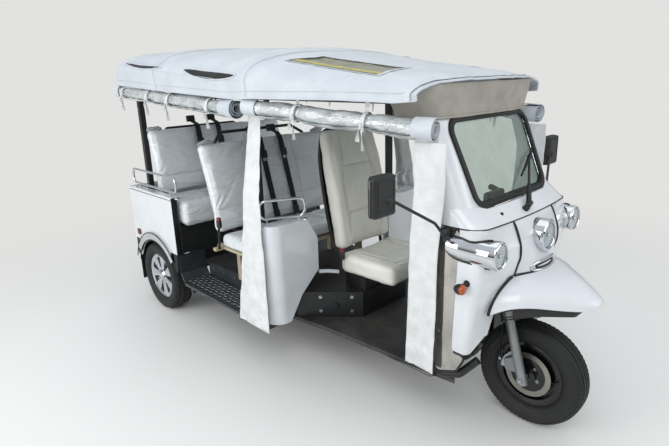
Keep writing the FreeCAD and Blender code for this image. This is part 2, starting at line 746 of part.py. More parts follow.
bench_right, bench_left = -s.body_half + 49, s.body_half - 249
bench_mid, bench_half = (bench_right + bench_left) / 2, (bench_left - bench_right) / 2
MIDDLE_LEAN = (s.bench_lean, (-505, bench_mid, s.bench_low + s.bench_thick - 22))
REAR_LEAN = (s.rear_lean, (-1390, 0, s.rear_seat_low + s.rear_seat_thick - 17))
bench_z = (s.bench_low, s.bench_low + s.bench_thick)
feature("middle_cushion", [rounded_box((-440, -70), (bench_right - 5, bench_left + 5), bench_z, 30)])
back = rounded_box((0, s.bench_thick), (-bench_half, bench_half), (0, s.bench_back_height), 30)
feature("middle_backrest", [leaning(back, *MIDDLE_LEAN)])
pan_z = (s.bench_low - 20, s.bench_low - s.seat_gap)
legs = []
for x in (-440, -130):
    for y in (bench_right + 145, bench_left - 145):
        legs.append(box((x, x + 40), (y - 20, y + 20), (s.deck_top, pan_z[0] + 5)))
legs.append(box((-480, -445), (-s.body_half + s.pod_inset, bench_right + 55), pan_z))
seat_pan = box((-530, -90), (bench_right + 35, bench_left - 35), pan_z)
feature("middle_bench_frame", [seat_pan.multiFuse(legs).removeSplitter()])

rear_half = s.body_half - 49
rear_z = (s.rear_seat_low + s.seat_gap, s.rear_seat_low + s.rear_seat_thick)
feature("rear_cushion", [rounded_box((-1330, -900), (-rear_half, rear_half), rear_z, 34)])
back = rounded_box((0, s.rear_back_thick), (-rear_half + 30, rear_half - 30), (0, s.rear_back_height), 34)
feature("rear_backrest", [leaning(back, *REAR_LEAN)])

hoops = []
for x_foot, z_foot, x_top, z_top in ((-497, 718.2, -693, 1450), (-1372, 762.6, -1491, 1440)):
    x_bend = x_top + (x_foot - x_top) * 0.09
    z_bend = z_top + (z_foot - z_top) * 0.09
    hoops.append(tube([
        (x_foot, -500, z_foot), (x_bend, -500, z_bend), (x_top, -440, z_top), (x_top, 190, z_top),
        (x_bend, 300, z_bend), (x_foot, 300, z_foot)], s.tube_radius, 28))
feature("belt_hoops", hoops)


# Belts, as they hang unused

def shoulder_belt(thick, height, radius, low):
    """A strap from its guide over the backrest's top edge and down its face, drawn upright."""
    face = thick + s.seat_gap
    roll = height - radius
    inner = [
        (14, height + 36), (thick - radius, height + 2), (thick - radius * 0.45, height - radius * 0.06),
        (thick - radius * 0.04, height - radius * 0.5), (face + 0.2, roll - 2), (face + 0.2, low)]
    outer = [
        (face + 2.2, low), (face + 2.2, roll - 2), (thick - radius * 0.04 + 1.8, height - radius * 0.5 + 1),
        (thick - radius * 0.45 + 1.1, height - radius * 0.06 + 1.7), (thick - radius + 1, height + 4),
        (15, height + 38)]
    strap = prism([(x, -23, z) for x, z in inner + outer], (0, 46, 0))
    guide = box((0.2, 24), (-30, 30), (height + 30, height + 78))
    tongue = box((face + 0.2, face + 9), (-26, 26), (low - 50, low + 6))
    return strap.fuse(guide).fuse(tongue).removeSplitter()


def buckle(x, y, foot, top):
    """A buckle on its stalk beside a cushion."""
    stalk = box((x - 9, x + 9), (y - 3, y + 3), (foot, top - 40))
    head = box((x - 14, x + 14), (y - 9, y + 9), (top - 62, top))
    return stalk.fuse(head.makeFillet(5.0, head.Edges)).removeSplitter()


belts = []
for y in (-100, 80):
    belts.append(leaning(moved(shoulder_belt(s.bench_thick, s.bench_back_height, 30, 130), y), *MIDDLE_LEAN))
for y in (-230, -40):
    strap = shoulder_belt(s.rear_back_thick, s.rear_back_height, 34, 110)
    belts.append(leaning(moved(strap, y), *REAR_LEAN))
belts.append(buckle(-455, -s.body_half + 32, s.bench_low, s.bench_low + 215))
feature("seat_belts", belts)


# Roof

# Canopy sections: x, half width, lower edge, shoulder, crown
canopy_half = s.body_half + s.canopy_over
CANOPY = (
    (-1700, canopy_half - 42, 1800, 1850, 1990),
    (-1600, canopy_half - 2, 1790, 1850, 2030),
    (-1000, canopy_half, 1760, 1825, 2030),
    (100, canopy_half, 1712, 1780, 1975),
    (700, s.cowl_half + 180, 1700, 1755, 1890),
    (1000, s.cowl_half + 146, 1684, 1716, 1818),
    (1100, s.cowl_half + 115, 1690, 1712, 1790),
    (1200, s.cowl_half + 100, 1698, 1708, 1770),
)


def roof_at(x):
    """The canopy section at any station, by straight interpolation between its neighbours."""
    for lower, upper in zip(CANOPY, CANOPY[1:]):
        if lower[0] <= x <= upper[0]:
            share = (x - lower[0]) / (upper[0] - lower[0])
            return [a + (b - a) * share for a, b in zip(lower, upper)]


def roof_bow(x, radius, foot):
    """An arched tube that the canvas rests on, with an upright at each end."""
    _, half, edge, shoulder, crown = roof_at(x)
    drop = s.canopy_wall + radius + s.seat_gap + 2
    rise = crown - shoulder
    arch_radius = (half * half + rise * rise) / (2 * rise)
    reach = s.post_y - 10
    end = crown - drop - arch_radius + math.sqrt(arch_radius ** 2 - reach ** 2)
    a, b, c = Vec(x, -reach, end), Vec(x, 0, crown - drop), Vec(x, reach, end)
    arc = Part.Arc(a, b, c).toShape()
    section = Part.Wire(Part.makeCircle(float(radius), a, arc.tangentAt(arc.FirstParameter)))
    bow = Part.Wire([arc]).makePipeShell([section], True, True)
    if bow.Volume < 0:
        bow.reverse()
    return [bow] + [rod((x, y, foot), (x, y, end + 4), radius - 2) for y in (-reach, reach)]


def roof_frame():
    """Four posts, two side rails and the bows that carry the canvas."""
    size, y, narrow = s.post_size, s.post_y, s.cowl_half - 60
    rail_z = 1690
    solids = []
    for side in (-1, 1):
        across = (y * side - size / 2, y * side + size / 2)
        solids.append(box((-1560, -1560 + size), across, (640.3, rail_z)))
        solids.append(box((-60, -60 + size), across, (s.rail_low + s.rail_size + s.seat_gap, rail_z)))
        solids.append(box((-1640, 40), across, (rail_z, rail_z + 30)))
        solids.append(prism([
            (40, across[0], rail_z), (40, across[1], rail_z),
            (1040, narrow * side + size / 2, s.cowl_top + s.seat_gap),
            (1040, narrow * side - size / 2, s.cowl_top + s.seat_gap)], (0, 0, 30)))
    for x in (-1560, -60, 1000):
        reach = y if x < 100 else narrow
        top = rail_z if x < 100 else s.cowl_top + 8
        solids.append(box((x, x + 30), (-reach, reach), (top, top + 24)))
    for x in (-1540, -1000, -500, -40):
        solids += roof_bow(x, 12, rail_z + 6)
    feature("roof_frame", [solids[0].multiFuse(solids[1:])])


roof_frame()


def visor_block(grow, rise=0.0):
    """The space in front of the windscreen's top, flaring up to the canopy's front edge."""
    half = s.cowl_half
    rows = (
        (1608 - rise, 1129, half - 23, 84, 16), (1660, 1138, half + 14, 96, 24),
        (1710, 1152, half + 52, 110, 38), (1800 + rise, 1182, half + 106, 130, 60))
    return loft([plan_wire(z, front + grow, across + grow, corner + grow, 1000 + 40 * grow, bow)
                 for z, front, across, corner, bow in rows])


def canopy():
    wall = s.canopy_wall
    outer = loft([roof_wire(*row) for row in CANOPY])
    inner_rows = []
    for i, (x, half, edge, shoulder, crown) in enumerate(CANOPY):
        x_in = x + wall if i == 0 else x + 1 if i == len(CANOPY) - 1 else x
        inner_rows.append(roof_wire(x_in, half - wall, edge - 60, shoulder - wall, crown - wall))
    shell = outer.cut(loft(inner_rows))
    front = Part.Face(plan_wire(1500, 1180, s.cowl_half + 160, 190, 900, 60)).extrude(Vec(0, 0, 400))
    reach = canopy_half + s.cowl_half
    shell = shell.common(box((-1800, 950), (-reach, reach), (1500, 2100)).fuse(front))
    gap = s.seat_gap
    films = []
    for side in (-1, 1):
        wires = []
        for grow in (0.0, gap):
            wires.append([
                (215 + grow, (548 - grow) * side, 1700), (300 + grow, (338 + grow) * side, 1700),
                (825 - grow, (272 + grow) * side, 1700), (842 - grow, (520 - grow) * side, 1700)])
        films.append(shell.common(prism(wires[1], (0, 0, 400))))
        shell = shell.cut(prism(wires[0], (0, 0, 400)))
    feature("canopy", [shell])
    lined = loft([roof_wire(x, half - wall - gap, 1590, shoulder - wall - gap, crown - wall - gap)
                  for x, half, edge, shoulder, crown in CANOPY[-4:]])
    feature("visor", [visor_block(0.0).cut(visor_block(-4.0, 1.0)).common(lined)])
    return films


feature("skylight_film", canopy())

roll_y = -s.body_half + 24
REAR_ROLL = ((-1690, roll_y, 1742), (-60, roll_y + 2, 1640))
FRONT_ROLL = ((30, roll_y, 1658), (1122, -s.cowl_half - 32, 1567))
rolls = []
for a, b in (REAR_ROLL, FRONT_ROLL):
    rolls += pair(rod(a, b, s.roll_radius))
feature("curtain_rolls", rolls)


def roll_tie(a, b, x):
    """A strap round a roll, sewn inside the canopy's edge."""
    share = (x - a[0]) / (b[0] - a[0])
    middle = Vec(*a) + (Vec(*b) - Vec(*a)) * share
    along = (Vec(*b) - Vec(*a)).normalize()
    grip = s.roll_radius + 0.4
    band = ring(middle - along * 12, along, grip + 2, grip, 24)
    half, edge = roof_at(x)[1:3]
    spread = max(abs(along.y / along.x) - abs(roof_at(x + 1)[1] - half), 0.0) * 12
    hem = Vec(x, s.canopy_wall + s.seat_gap + 0.8 + spread - half, edge + 22)
    pull = Vec(0, hem.y - middle.y, hem.z - middle.z).normalize()
    side, near = Vec(0, -pull.z, pull.y) * 0.8, middle + pull * (grip + 1)
    step = along * (12 / along.x)
    start = [p - step for p in (near - side, near + side, hem + side, hem - side)]
    tab = prism(start, step * 2)
    return band.fuse(tab).removeSplitter()


ties = []
for roll, places in ((REAR_ROLL, (-1540, -1130, -830, -330)), (FRONT_ROLL, (390, 800))):
    for x in places:
        ties += pair(roll_tie(roll[0], roll[1], x))
feature("roll_ties", ties)

# Canvas strips over the posts, from the top down: rear x, front x, inner y, z
post_face, body_y, cowl_y = -s.post_y - s.post_size / 2, -s.body_half, -s.cowl_half
MIDDLE_STRIP = (
    (-60, 60, post_face - 0.3, 1706), (-68, 62, post_face - 1.5, 1575), (-95, 72, body_y + 18, 1150),
    (-120, 80, body_y + 12, 975), (-200, 100, body_y - 12, 322))
FRONT_STRIP = (
    (1020, 1145, cowl_y - 22, 1511.7), (1012, 1148, cowl_y - 26, 1000), (1000, 1150, cowl_y - 30, 375))
strips = []
for rows in (MIDDLE_STRIP, FRONT_STRIP):
    wires = []
    for rear, front, y, z in rows:
        wires.append(Part.makePolygon([
            Vec(rear, y, z), Vec(front, y, z), Vec(front, y - 5, z), Vec(rear, y - 5, z), Vec(rear, y, z)]))
    strips += pair(loft(wires))
feature("pillar_strips", strips)


# Front body

def upper_cowl():
    """The windscreen surround: one wall from the scuttle up to the header, open behind."""
    wall = s.panel_wall
    half = s.cowl_half
    rows = (
        (s.seam_z, 1390, half, 96, 1150, 20), (1215, 1292, half - 6, 90, 1110, 18),
        (s.cowl_top, 1098, half - 35, 80, 985, 16))
    outer = loft([plan_wire(*row) for row in rows])
    inner_rows = []
    for i, (z, front, across, corner, rear, bow) in enumerate(rows):
        z_in = z - 1 if i == 0 else z + 1 if i == 2 else z
        inner_rows.append(plan_wire(z_in, front - wall, across - wall, corner, rear - 60, bow))
    inner = loft(inner_rows)
    shell = outer.cut(inner)
    return shell.cut(screen_frame(18.3, 1000, 1400))


def screen_frame(grow, x_lo, x_hi):
    """A leaning slab with the windscreen's outline, grown by an amount all round."""
    low, top = s.cowl_half - s.screen_low_in + grow, s.cowl_half - s.screen_top_in + grow
    outline = bent_wire([
        (x_lo, -low, 1215 - grow), (x_lo, low, 1215 - grow),
        (x_lo, top, 1590 + grow), (x_lo, -top, 1590 + grow)], 55 + grow, True)
    return Part.Face(Part.Wire(outline)).extrude(Vec(x_hi - x_lo, 0, 0))


feature("upper_cowl", [upper_cowl()])
slope = (1098 - 1292) / (s.cowl_top - 1215.0)


def leaning_slab(offset, depth):
    """The flat plane of the windscreen between two depths from the cowl's face."""
    low, high = 1150, 1660
    x_low = 1276 + slope * (low - 1215) + offset
    x_high = 1276 + slope * (high - 1215) + offset
    y = 10 - s.cowl_half
    return prism([
        (x_low, y, low), (x_low + depth, y, low), (x_high + depth, y, high), (x_high, y, high)],
        (0, -2 * y, 0))


glass = leaning_slab(-8, 5).common(screen_frame(-8.3, 900, 1500))
feature("windscreen", [glass])
seal = leaning_slab(-16, 28).common(screen_frame(18, 900, 1500)).cut(screen_frame(-8, 850, 1550))
feature("windscreen_seal", [seal])


def shield_wire(z, corner_x, inner_x, inner_y, radius, rear_x):
    """A leg shield in plan: the side, the round corner and the front running in to the nose."""
    half, wall = s.cowl_half, s.panel_wall
    front = Vec(inner_x, -inner_y, z)
    side = Vec(rear_x, -half, z)
    corner = Vec(corner_x, -half, z)
    outer = bent_wire([side, corner, front], radius)
    shift = Vec(-wall, 0, 0)
    inner_corner = Vec(corner_x - wall, -half + wall, z)
    inner = bent_wire([side + Vec(0, wall, 0), inner_corner, front + shift], radius - wall)
    edges = outer.Edges + [Part.LineSegment(front, front + shift).toShape()] + inner.Edges
    edges.append(Part.LineSegment(side + Vec(0, wall, 0), side).toShape())
    return Part.Wire(Part.__sortEdges__(edges))


# Leg shield sections: z, corner x, inner x, inner y, corner radius, rear x
nose_edge = s.nose_half + s.seat_gap
cowl_foot = s.seam_z - s.seat_gap
SHIELD = (
    (515, 1315, 1346, s.cowl_half - 115, 30, 1244),
    (710, 1340, 1368, s.cowl_half - 170, 34, 1247),
    (880, 1364, 1409, nose_edge, 44, 1252),
    (965, 1376, 1430, nose_edge, 54, 1255),
    (1025, 1378, 1428, nose_edge, 60, 1258),
    (cowl_foot, 1359, 1384, nose_edge, 80, 1265),
)


def nose_wire(z, side_x, mid_x):
    wall, half = s.panel_wall, s.nose_half - s.seat_gap
    a, b, c = Vec(side_x, -half, z), Vec(mid_x, 0, z), Vec(side_x, half, z)
    back = Vec(-wall, 0, 0)
    return Part.Wire([
        Part.Arc(a, b, c).toShape(), Part.LineSegment(c, c + back).toShape(),
        Part.Arc(c + back, b + back, a + back).toShape(), Part.LineSegment(a + back, a).toShape()])


# Nose sections: z, side x, middle x
NOSE = (
    (874, 1407, 1480), (925, 1419, 1468), (965, 1430, 1452), (1025, 1428, 1436), (1096, 1404, 1414),
    (cowl_foot, 1384, 1391))
nose = loft([nose_wire(*row) for row in NOSE], False)


def fender_wire(x, crown, top_half, low_half, low):
    """A fender section: a low arch on top and a bulging side down to each edge."""
    shoulder = crown - 14 * top_half / 240.0
    a, c = Vec(x, -low_half, low), Vec(x, -top_half, shoulder)
    side = c - a
    b = a + side / 2 + Vec(0, -side.z, side.y) * 0.07
    d, e, f = Vec(x, top_half, shoulder), Vec(x, -b.y, b.z), Vec(x, low_half, low)
    return Part.Wire([
        Part.Arc(a, b, c).toShape(), Part.Arc(c, Vec(x, 0, crown), d).toShape(),
        Part.Arc(d, e, f).toShape(), Part.LineSegment(f, a).toShape()])


# Front fender sections: x, crown, flat half width, lower half width, lower edge
FENDER = (
    (1372, 889, 250, 362, 706),
    (1432, 888, 228, 330, 740),
    (1482, 881, 188, 297, 756),
    (1540, 863, 142, 240, 755),
    (1600, 838, 98, 188, 748),
    (1655, 809, 62, 135, 741),
    (1705, 781, 34, 84, 739),
    (1740, 760, 14, 40, 746),
)


def fender_block(grow, ends):
    rows = []
    for i, (x, crown, top, low_half, low) in enumerate(FENDER):
        x_in = x - 1 if i == 0 and ends else x + ends if i == len(FENDER) - 1 else x
        low_in = low - abs(grow) / 2
        rows.append(fender_wire(x_in, crown + grow, max(top + grow, 8), low_half + grow, low_in))
    return loft(rows, False)


wall = s.panel_wall
fender_inside = fender_block(-wall, -wall)
feature("front_fender", [fender_block(0.0, 0.0).cut(fender_inside)])
fender_clear = fender_block(0.9, 0.9)


def wheel_arch_liner():
    """A black sheet bent over the front tyre, hung inside the fender by four straps."""
    radius = s.tyre_radius + 112
    sheet_arc = ring((s.front_axle_x, -110, axle_z), (0, 1, 0), radius + 6, radius, 220)
    upper = (axle_z + radius * 0.75, axle_z + radius + 8)
    sheet_arc = sheet_arc.common(box((1454, 1655), (-110, 110), upper))
    inside = fender_inside.copy()
    inside.translate(Vec(0, 0, -0.6))
    straps = []
    for x in (1460, 1564):
        for y in (-100, 76):
            foot = axle_z + radius - 8 - (x - 1450) * 0.18
            tall = box((x, x + 36), (y, y + 24), (foot, 940))
            straps.append(tall.common(inside).fuse(box((x, x + 36), (y, y + 24), (foot, 780))))
    return sheet_arc.multiFuse(straps).removeSplitter()


feature("fender_liner", [wheel_arch_liner()])


# Stainless kick strips and dash

strip_y = -s.cowl_half - 2
strip = prism([
    (1153, strip_y, 1126), (1264, strip_y, 1130), (1243, strip_y, 512), (1325, strip_y, 514),
    (1276, strip_y, 418), (1164, strip_y, 373), (1134, strip_y, 475)], (0, 2 - s.seat_gap, 0))
dash_half = s.cowl_half - s.seat_gap
dash = box((1122, 1150), (-dash_half, dash_half), (s.floor_top + s.seat_gap, 1100))
dash = dash.cut(box((1100, 1200), (-130, 130), (s.floor_top - 10, 1160)))
feature("dash_panel", [dash])


# Lamps

def teardrop(rows, grow=0.0):
    """A lamp shell drawn out to a point behind: sections x, y, z and radius."""
    wires = []
    for i, (x, y, z, radius) in enumerate(rows):
        x_end = x + grow if i == len(rows) - 1 else x - grow if i == 0 else x
        wires.append(Part.Wire(Part.makeCircle(radius + grow, Vec(x_end, y, z), Vec(1, 0, 0))))
    return Part.makeLoft(wires, True, False)


# Side headlamp sections: x, y, z, radius
lamp_y, side_z, lamp_z = -s.cowl_half + s.side_lamp_in, s.lamp_z - 8, s.lamp_z
TEARDROP = (
    (1190, lamp_y - 53, side_z + 2, 8), (1206, lamp_y - 47, side_z + 2, 21),
    (1250, lamp_y - 32, side_z + 1, 42), (1320, lamp_y - 14, side_z, 59), (1400, lamp_y - 2, side_z, 65),
    (1436, lamp_y, side_z, 66))
lens_recess = rod((1428, lamp_y, side_z), (1450, lamp_y, side_z), 58)
side_lamp = teardrop(TEARDROP).cut(lens_recess)
barrel = rod((1396, 0, lamp_z), (1466, 0, lamp_z), s.lamp_radius)
bezel = Part.makeCone(float(s.lamp_radius), s.lamp_radius - 7, 10, Vec(1466, 0, lamp_z), Vec(1, 0, 0))
lens_seat = rod((1462, 0, lamp_z), (1480, 0, lamp_z), s.lamp_radius - 12)
centre_lamp = barrel.fuse(bezel).removeSplitter().cut(lens_seat)
feature("headlamp_housings", [centre_lamp] + pair(side_lamp))
side_hole = teardrop(TEARDROP, 0.5)
feature("kick_strips", pair(strip.cut(side_hole)))
corner_y = -s.cowl_half + 35
low_corner = prism([
    (1200, corner_y, 500), (1200, corner_y, 515), (1200, corner_y + 85, 585), (1200, -s.nose_half, 585),
    (1200, -s.nose_half, 500)], (300, 0, 0))
shield = loft([shield_wire(*row) for row in SHIELD]).cut(fender_clear).cut(side_hole).cut(low_corner)
feature("leg_shields", pair(shield))
nose_hole = rod((1350, 0, lamp_z), (1500, 0, lamp_z), s.lamp_radius + 0.5)
feature("nose_panel", [nose.cut(nose_hole).cut(fender_clear)])
side_lens = rod((1428.3, lamp_y, side_z), (1440, lamp_y, side_z), 57.7)
lens = rod((1462.3, 0, lamp_z), (1478, 0, lamp_z), s.lamp_radius - 12 - s.seat_gap)
feature("lamp_lenses", [lens] + pair(side_lens))
signal_y = -s.cowl_half - 34
stalk = rod((1308, -s.cowl_half - s.seat_gap, 861), (1308, signal_y, 861), 9)
signal = rod((1300, signal_y, 861), (1322, signal_y, 861), 24).fuse(stalk)
tail_y = -s.body_half + 124
tail = rod((s.quarter_rear_x - 30, tail_y, 820), (s.quarter_rear_x - 8.3, tail_y, 820), 55)
feature("signal_lamps", pair(signal) + pair(tail))

mirror_y = -s.cowl_half - 340
mirror = rounded_box((1085, 1125), (mirror_y - 68, mirror_y + 68), (1235, 1410), 14)
foot_y = -s.cowl_half - 2 - s.seat_gap
arm = tube([
    (1215, foot_y, 1096), (1215, -s.cowl_half - 40, 1096), (1200, -s.cowl_half - 100, 1170),
    (1120, mirror_y + 40, 1300)], 7, 14)
feature("mirrors", pair(mirror.fuse(arm)))


def wiper():
    """Pivot boss on the scuttle, cranked arm and blade."""
    pivot, out = Vec(1363, -42, 1157), Vec(0.637, 0, 0.771)
    boss = rod(pivot - out * 0.2, pivot + out * 22, 13)
    tip = Vec(1226, 245, 1362)
    arm = tube([pivot + out * 14, (1362, 18, 1184), (1292, 128, 1234), tip], 5, 10)
    low, high = Vec(1257, 115, 1284), Vec(1204, 325, 1402)
    reach = high - low
    side = Vec(0.918, 0, 0.396) * 5
    blade = prism([low - side, low + side, high + side, high - side], (reach.cross(side).normalize() * 8))
    blade.translate(reach.cross(side).normalize() * -4)
    return boss.multiFuse([arm, blade]).removeSplitter()


feature("wiper", [wiper()])


# Every object computed, every sub-part a valid solid
doc.recompute()
for item in doc.Objects:
    if "Invalid" in item.State or "Error" in item.State:
        raise RuntimeError("%s failed: %s" % (item.Name, item.State))
os.makedirs("parts", exist_ok=True)
for item in subparts:
    shape = item.Shape
    if shape.isNull() or not shape.isValid():
        raise RuntimeError("%s has no valid shape" % item.Label)
    shape.exportStep("parts/%s.step" % item.Label)
    print("%-22s solids %2d  volume %9.1f cm3" % (item.Label, len(shape.Solids), shape.Volume / 1000.0))
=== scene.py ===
"""The looks of an electric auto rickshaw: an open three-wheeler with a canvas roof.

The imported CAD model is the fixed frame. Rigid panels keep their CAD shape and get a
finish; canvas, film, seats, tyres and trim are built here in metres, in the same frame:
+X is forward, +Y is the vehicle's left, +Z is up and the ground is at zero.
"""
import logging
import math
from dataclasses import dataclass, field
from enum import Enum
from typing import Callable, Optional, Sequence

import bmesh
import bpy
import numpy as np
from mathutils import Matrix, Vector, noise


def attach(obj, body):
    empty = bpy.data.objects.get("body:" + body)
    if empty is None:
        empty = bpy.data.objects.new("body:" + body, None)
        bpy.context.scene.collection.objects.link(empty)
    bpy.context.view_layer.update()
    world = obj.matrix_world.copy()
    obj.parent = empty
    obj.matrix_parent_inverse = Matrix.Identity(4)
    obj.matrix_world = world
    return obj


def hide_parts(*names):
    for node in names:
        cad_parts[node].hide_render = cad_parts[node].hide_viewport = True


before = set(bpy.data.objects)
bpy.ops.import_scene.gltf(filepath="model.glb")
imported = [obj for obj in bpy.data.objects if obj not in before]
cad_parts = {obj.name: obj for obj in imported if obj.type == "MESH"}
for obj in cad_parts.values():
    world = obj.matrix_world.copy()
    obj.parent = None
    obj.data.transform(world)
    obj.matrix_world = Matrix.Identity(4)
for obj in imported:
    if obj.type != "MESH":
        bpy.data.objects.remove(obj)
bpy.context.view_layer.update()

LOG = logging.getLogger("auto_rickshaw")
Point = Sequence[float]
Object = bpy.types.Object
Socket = bpy.types.NodeSocket
Tree = bpy.types.NodeTree
SIDES = (-1, 1)
TURN = 2 * math.pi


# Nodes and finishes

def linear(code: str) -> tuple:
    """Turns an sRGB hex value into linear red, green, blue and alpha."""
    parts = [int(code[i:i + 2], 16) / 255 for i in (1, 3, 5)]
    return tuple(c / 12.92 if c <= 0.04045 else ((c + 0.055) / 1.055) ** 2.4 for c in parts) + (1.0,)


def add_node(tree: Tree, kind: str, inputs: Optional[dict] = None, **settings) -> bpy.types.Node:
    """Adds a node to a tree.

    Args:
        tree: the node tree.
        kind: the node's type name.
        inputs: socket name or number to a value, or to an output socket to link from.
        settings: the node's own properties.

    Returns:
        The new node.
    """
    node = tree.nodes.new(kind)
    for key, value in settings.items():
        setattr(node, key, value)
    for key, value in (inputs or {}).items():
        if isinstance(value, Socket):
            tree.links.new(value, node.inputs[key])
        else:
            node.inputs[key].default_value = value
    return node


class Grain(Enum):
    """The relief that a surface's making leaves on it."""

    SMOOTH = "smooth"
    ORANGE_PEEL = "orange peel"
    POWDER = "powder coat"
    BRUSHED = "brushed"
    LEATHER = "leather"
    CANVAS = "canvas"
    WEBBING = "webbing"
    RIBBED = "ribbed"
    RUBBER = "rubber"
    CRUMPLED = "crumpled film"


@dataclass(frozen=True)
class Finish:
    """One surface finish; sizes are millimetres on the real thing.

    colour and tone are the two ends of its mottling, dust is what settles on it below
    dust_top metres, and shine_spread is how far the roughness wanders.
    """

    name: str
    colour: str
    tone: str
    roughness: float
    grain: Grain = Grain.SMOOTH
    grain_mm: float = 1.0
    relief: float = 0.1
    metallic: float = 0.0
    mottle_mm: float = 140.0
    shine_spread: float = 0.06
    coat: float = 0.0
    sheen: float = 0.0
    transmission: float = 0.0
    alpha: float = 1.0
    # Opacity at the film's creases; the pale streaks it makes there are painted highlights.
    crease_highlight_alpha: float = 0.0
    fold_mm: float = 0.0
    fold_relief: float = 0.0
    dust: str = "#8a8274"
    dust_top: float = 0.0
    dust_share: float = 0.35

    def height(self, tree: Tree, where: Socket) -> Socket:
        """Builds the grain's height pattern.

        Args:
            tree: the material's node tree.
            where: the coordinate socket, in metres.

        Returns:
            A socket that gives the height, from about 0 to 1.
        """
        scale = 1000.0 / self.grain_mm
        if self.grain is Grain.BRUSHED:
            along = add_node(tree, "ShaderNodeMapping", {"Vector": where, "Scale": (0.03, 1.0, 1.0)})
            return add_node(tree, "ShaderNodeTexNoise", {
                "Vector": along.outputs[0], "Scale": scale, "Detail": 2.0}).outputs[0]
        if self.grain is Grain.LEATHER:
            return add_node(tree, "ShaderNodeTexVoronoi", {"Vector": where, "Scale": scale, "Randomness": 0.9},
                            feature="SMOOTH_F1").outputs["Distance"]
        if self.grain in (Grain.CANVAS, Grain.WEBBING):
            waves = [add_node(tree, "ShaderNodeTexWave", {"Vector": where, "Scale": scale / 6.28},
                              wave_type="BANDS", bands_direction=way).outputs[1]
                     for way in (("X", "Z") if self.grain is Grain.CANVAS else ("DIAGONAL", "Z"))]
            return add_node(tree, "ShaderNodeMath", {0: waves[0], 1: waves[1]}, operation="MULTIPLY").outputs[0]
        if self.grain is Grain.RIBBED:
            return add_node(tree, "ShaderNodeTexWave", {"Vector": where, "Scale": scale / 6.28},
                            wave_type="BANDS", bands_direction="Y").outputs[1]
        if self.grain is Grain.CRUMPLED:
            stretched = add_node(tree, "ShaderNodeMapping", {
                "Vector": where, "Rotation": (0.5, 0.3, 0.2), "Scale": (1.0, 0.45, 1.5)})
            creases = []
            for share, sharp in ((1.0, 4.0), (2.6, 2.5)):
                wave = add_node(tree, "ShaderNodeTexNoise", {
                    "Vector": stretched.outputs[0], "Scale": scale * share, "Detail": 1.5, "Distortion": 0.6})
                centred = add_node(tree, "ShaderNodeMath", {0: wave.outputs[0], 1: 0.5}, operation="SUBTRACT")
                folded = add_node(tree, "ShaderNodeMath", {0: centred.outputs[0]}, operation="ABSOLUTE")
                creases.append(add_node(tree, "ShaderNodeMath", {0: folded.outputs[0], 1: sharp},
                                        operation="MULTIPLY", use_clamp=True).outputs[0])
            return add_node(tree, "ShaderNodeMath", {0: creases[0], 1: creases[1], 2: 0.3},
                            operation="SMOOTH_MIN").outputs[0]
        detail = 1.0 if self.grain is Grain.ORANGE_PEEL else 3.0
        return add_node(tree, "ShaderNodeTexNoise", {
            "Vector": where, "Scale": scale, "Detail": detail}).outputs[0]

    def build(self) -> bpy.types.Material:
        """Makes the Blender material for this finish."""
        material = bpy.data.materials.new(self.name)
        material.use_nodes = True
        tree = material.node_tree
        tree.nodes.clear()
        where = add_node(tree, "ShaderNodeTexCoord").outputs["Object"]
        shader = add_node(tree, "ShaderNodeBsdfPrincipled", {
            "Metallic": self.metallic, "Roughness": self.roughness, "Coat Weight": self.coat,
            "Coat Roughness": 0.04, "Sheen Weight": self.sheen, "Transmission Weight": self.transmission,
            "Alpha": self.alpha})
        add_node(tree, "ShaderNodeOutputMaterial", {"Surface": shader.outputs[0]})
        patches = add_node(tree, "ShaderNodeTexNoise", {
            "Vector": where, "Scale": 1000.0 / self.mottle_mm, "Detail": 5.0, "Roughness": 0.6})
        spread = add_node(tree, "ShaderNodeMapRange", {
            "Value": patches.outputs[0], "From Min": 0.32, "From Max": 0.68, "To Min": 0.0, "To Max": 1.0})
        colour = add_node(tree, "ShaderNodeMix", {
            0: spread.outputs[0], 6: linear(self.colour), 7: linear(self.tone)}, data_type="RGBA").outputs[2]
        if self.dust_top > 0.0:
            level = add_node(tree, "ShaderNodeSeparateXYZ", {0: where}).outputs[2]
            low = add_node(tree, "ShaderNodeMapRange", {
                "Value": level, "From Min": 0.0, "From Max": self.dust_top, "To Min": self.dust_share,
                "To Max": 0.0})
            some = add_node(tree, "ShaderNodeMath", {0: low.outputs[0], 1: spread.outputs[0]},
                            operation="MULTIPLY")
            colour = add_node(tree, "ShaderNodeMix", {0: some.outputs[0], 6: colour, 7: linear(self.dust)},
                              data_type="RGBA").outputs[2]
        tree.links.new(colour, shader.inputs["Base Color"])
        if self.shine_spread > 0.0:
            shine = add_node(tree, "ShaderNodeMapRange", {
                "Value": patches.outputs[0], "From Min": 0.3, "From Max": 0.7,
                "To Min": max(self.roughness - self.shine_spread, 0.0), "To Max": self.roughness + self.shine_spread})
            tree.links.new(shine.outputs[0], shader.inputs["Roughness"])
        if self.grain is not Grain.SMOOTH:
            height = self.height(tree, where)
            bump = add_node(tree, "ShaderNodeBump", {
                "Height": height, "Strength": 1.0, "Distance": self.relief / 1000.0})
            if self.fold_mm > 0.0:
                folds = add_node(tree, "ShaderNodeTexNoise", {
                    "Vector": where, "Scale": 1000.0 / self.fold_mm, "Detail": 3.0, "Distortion": 1.2})
                bump = add_node(tree, "ShaderNodeBump", {
                    "Height": folds.outputs[0], "Strength": 1.0, "Distance": self.fold_relief / 1000.0,
                    "Normal": bump.outputs[0]})
            tree.links.new(bump.outputs[0], shader.inputs["Normal"])
            # Creases are made more opaque than the rest of the film, so they show as pale streaks: painted highlights
            # along the folds.
            if self.crease_highlight_alpha > 0.0:
                painted_crease_highlight = add_node(tree, "ShaderNodeMapRange", {
                    "Value": height, "From Min": 0.0, "From Max": 0.22, "To Min": self.crease_highlight_alpha,
                    "To Max": self.alpha})
                tree.links.new(painted_crease_highlight.outputs[0], shader.inputs["Alpha"])
        return material


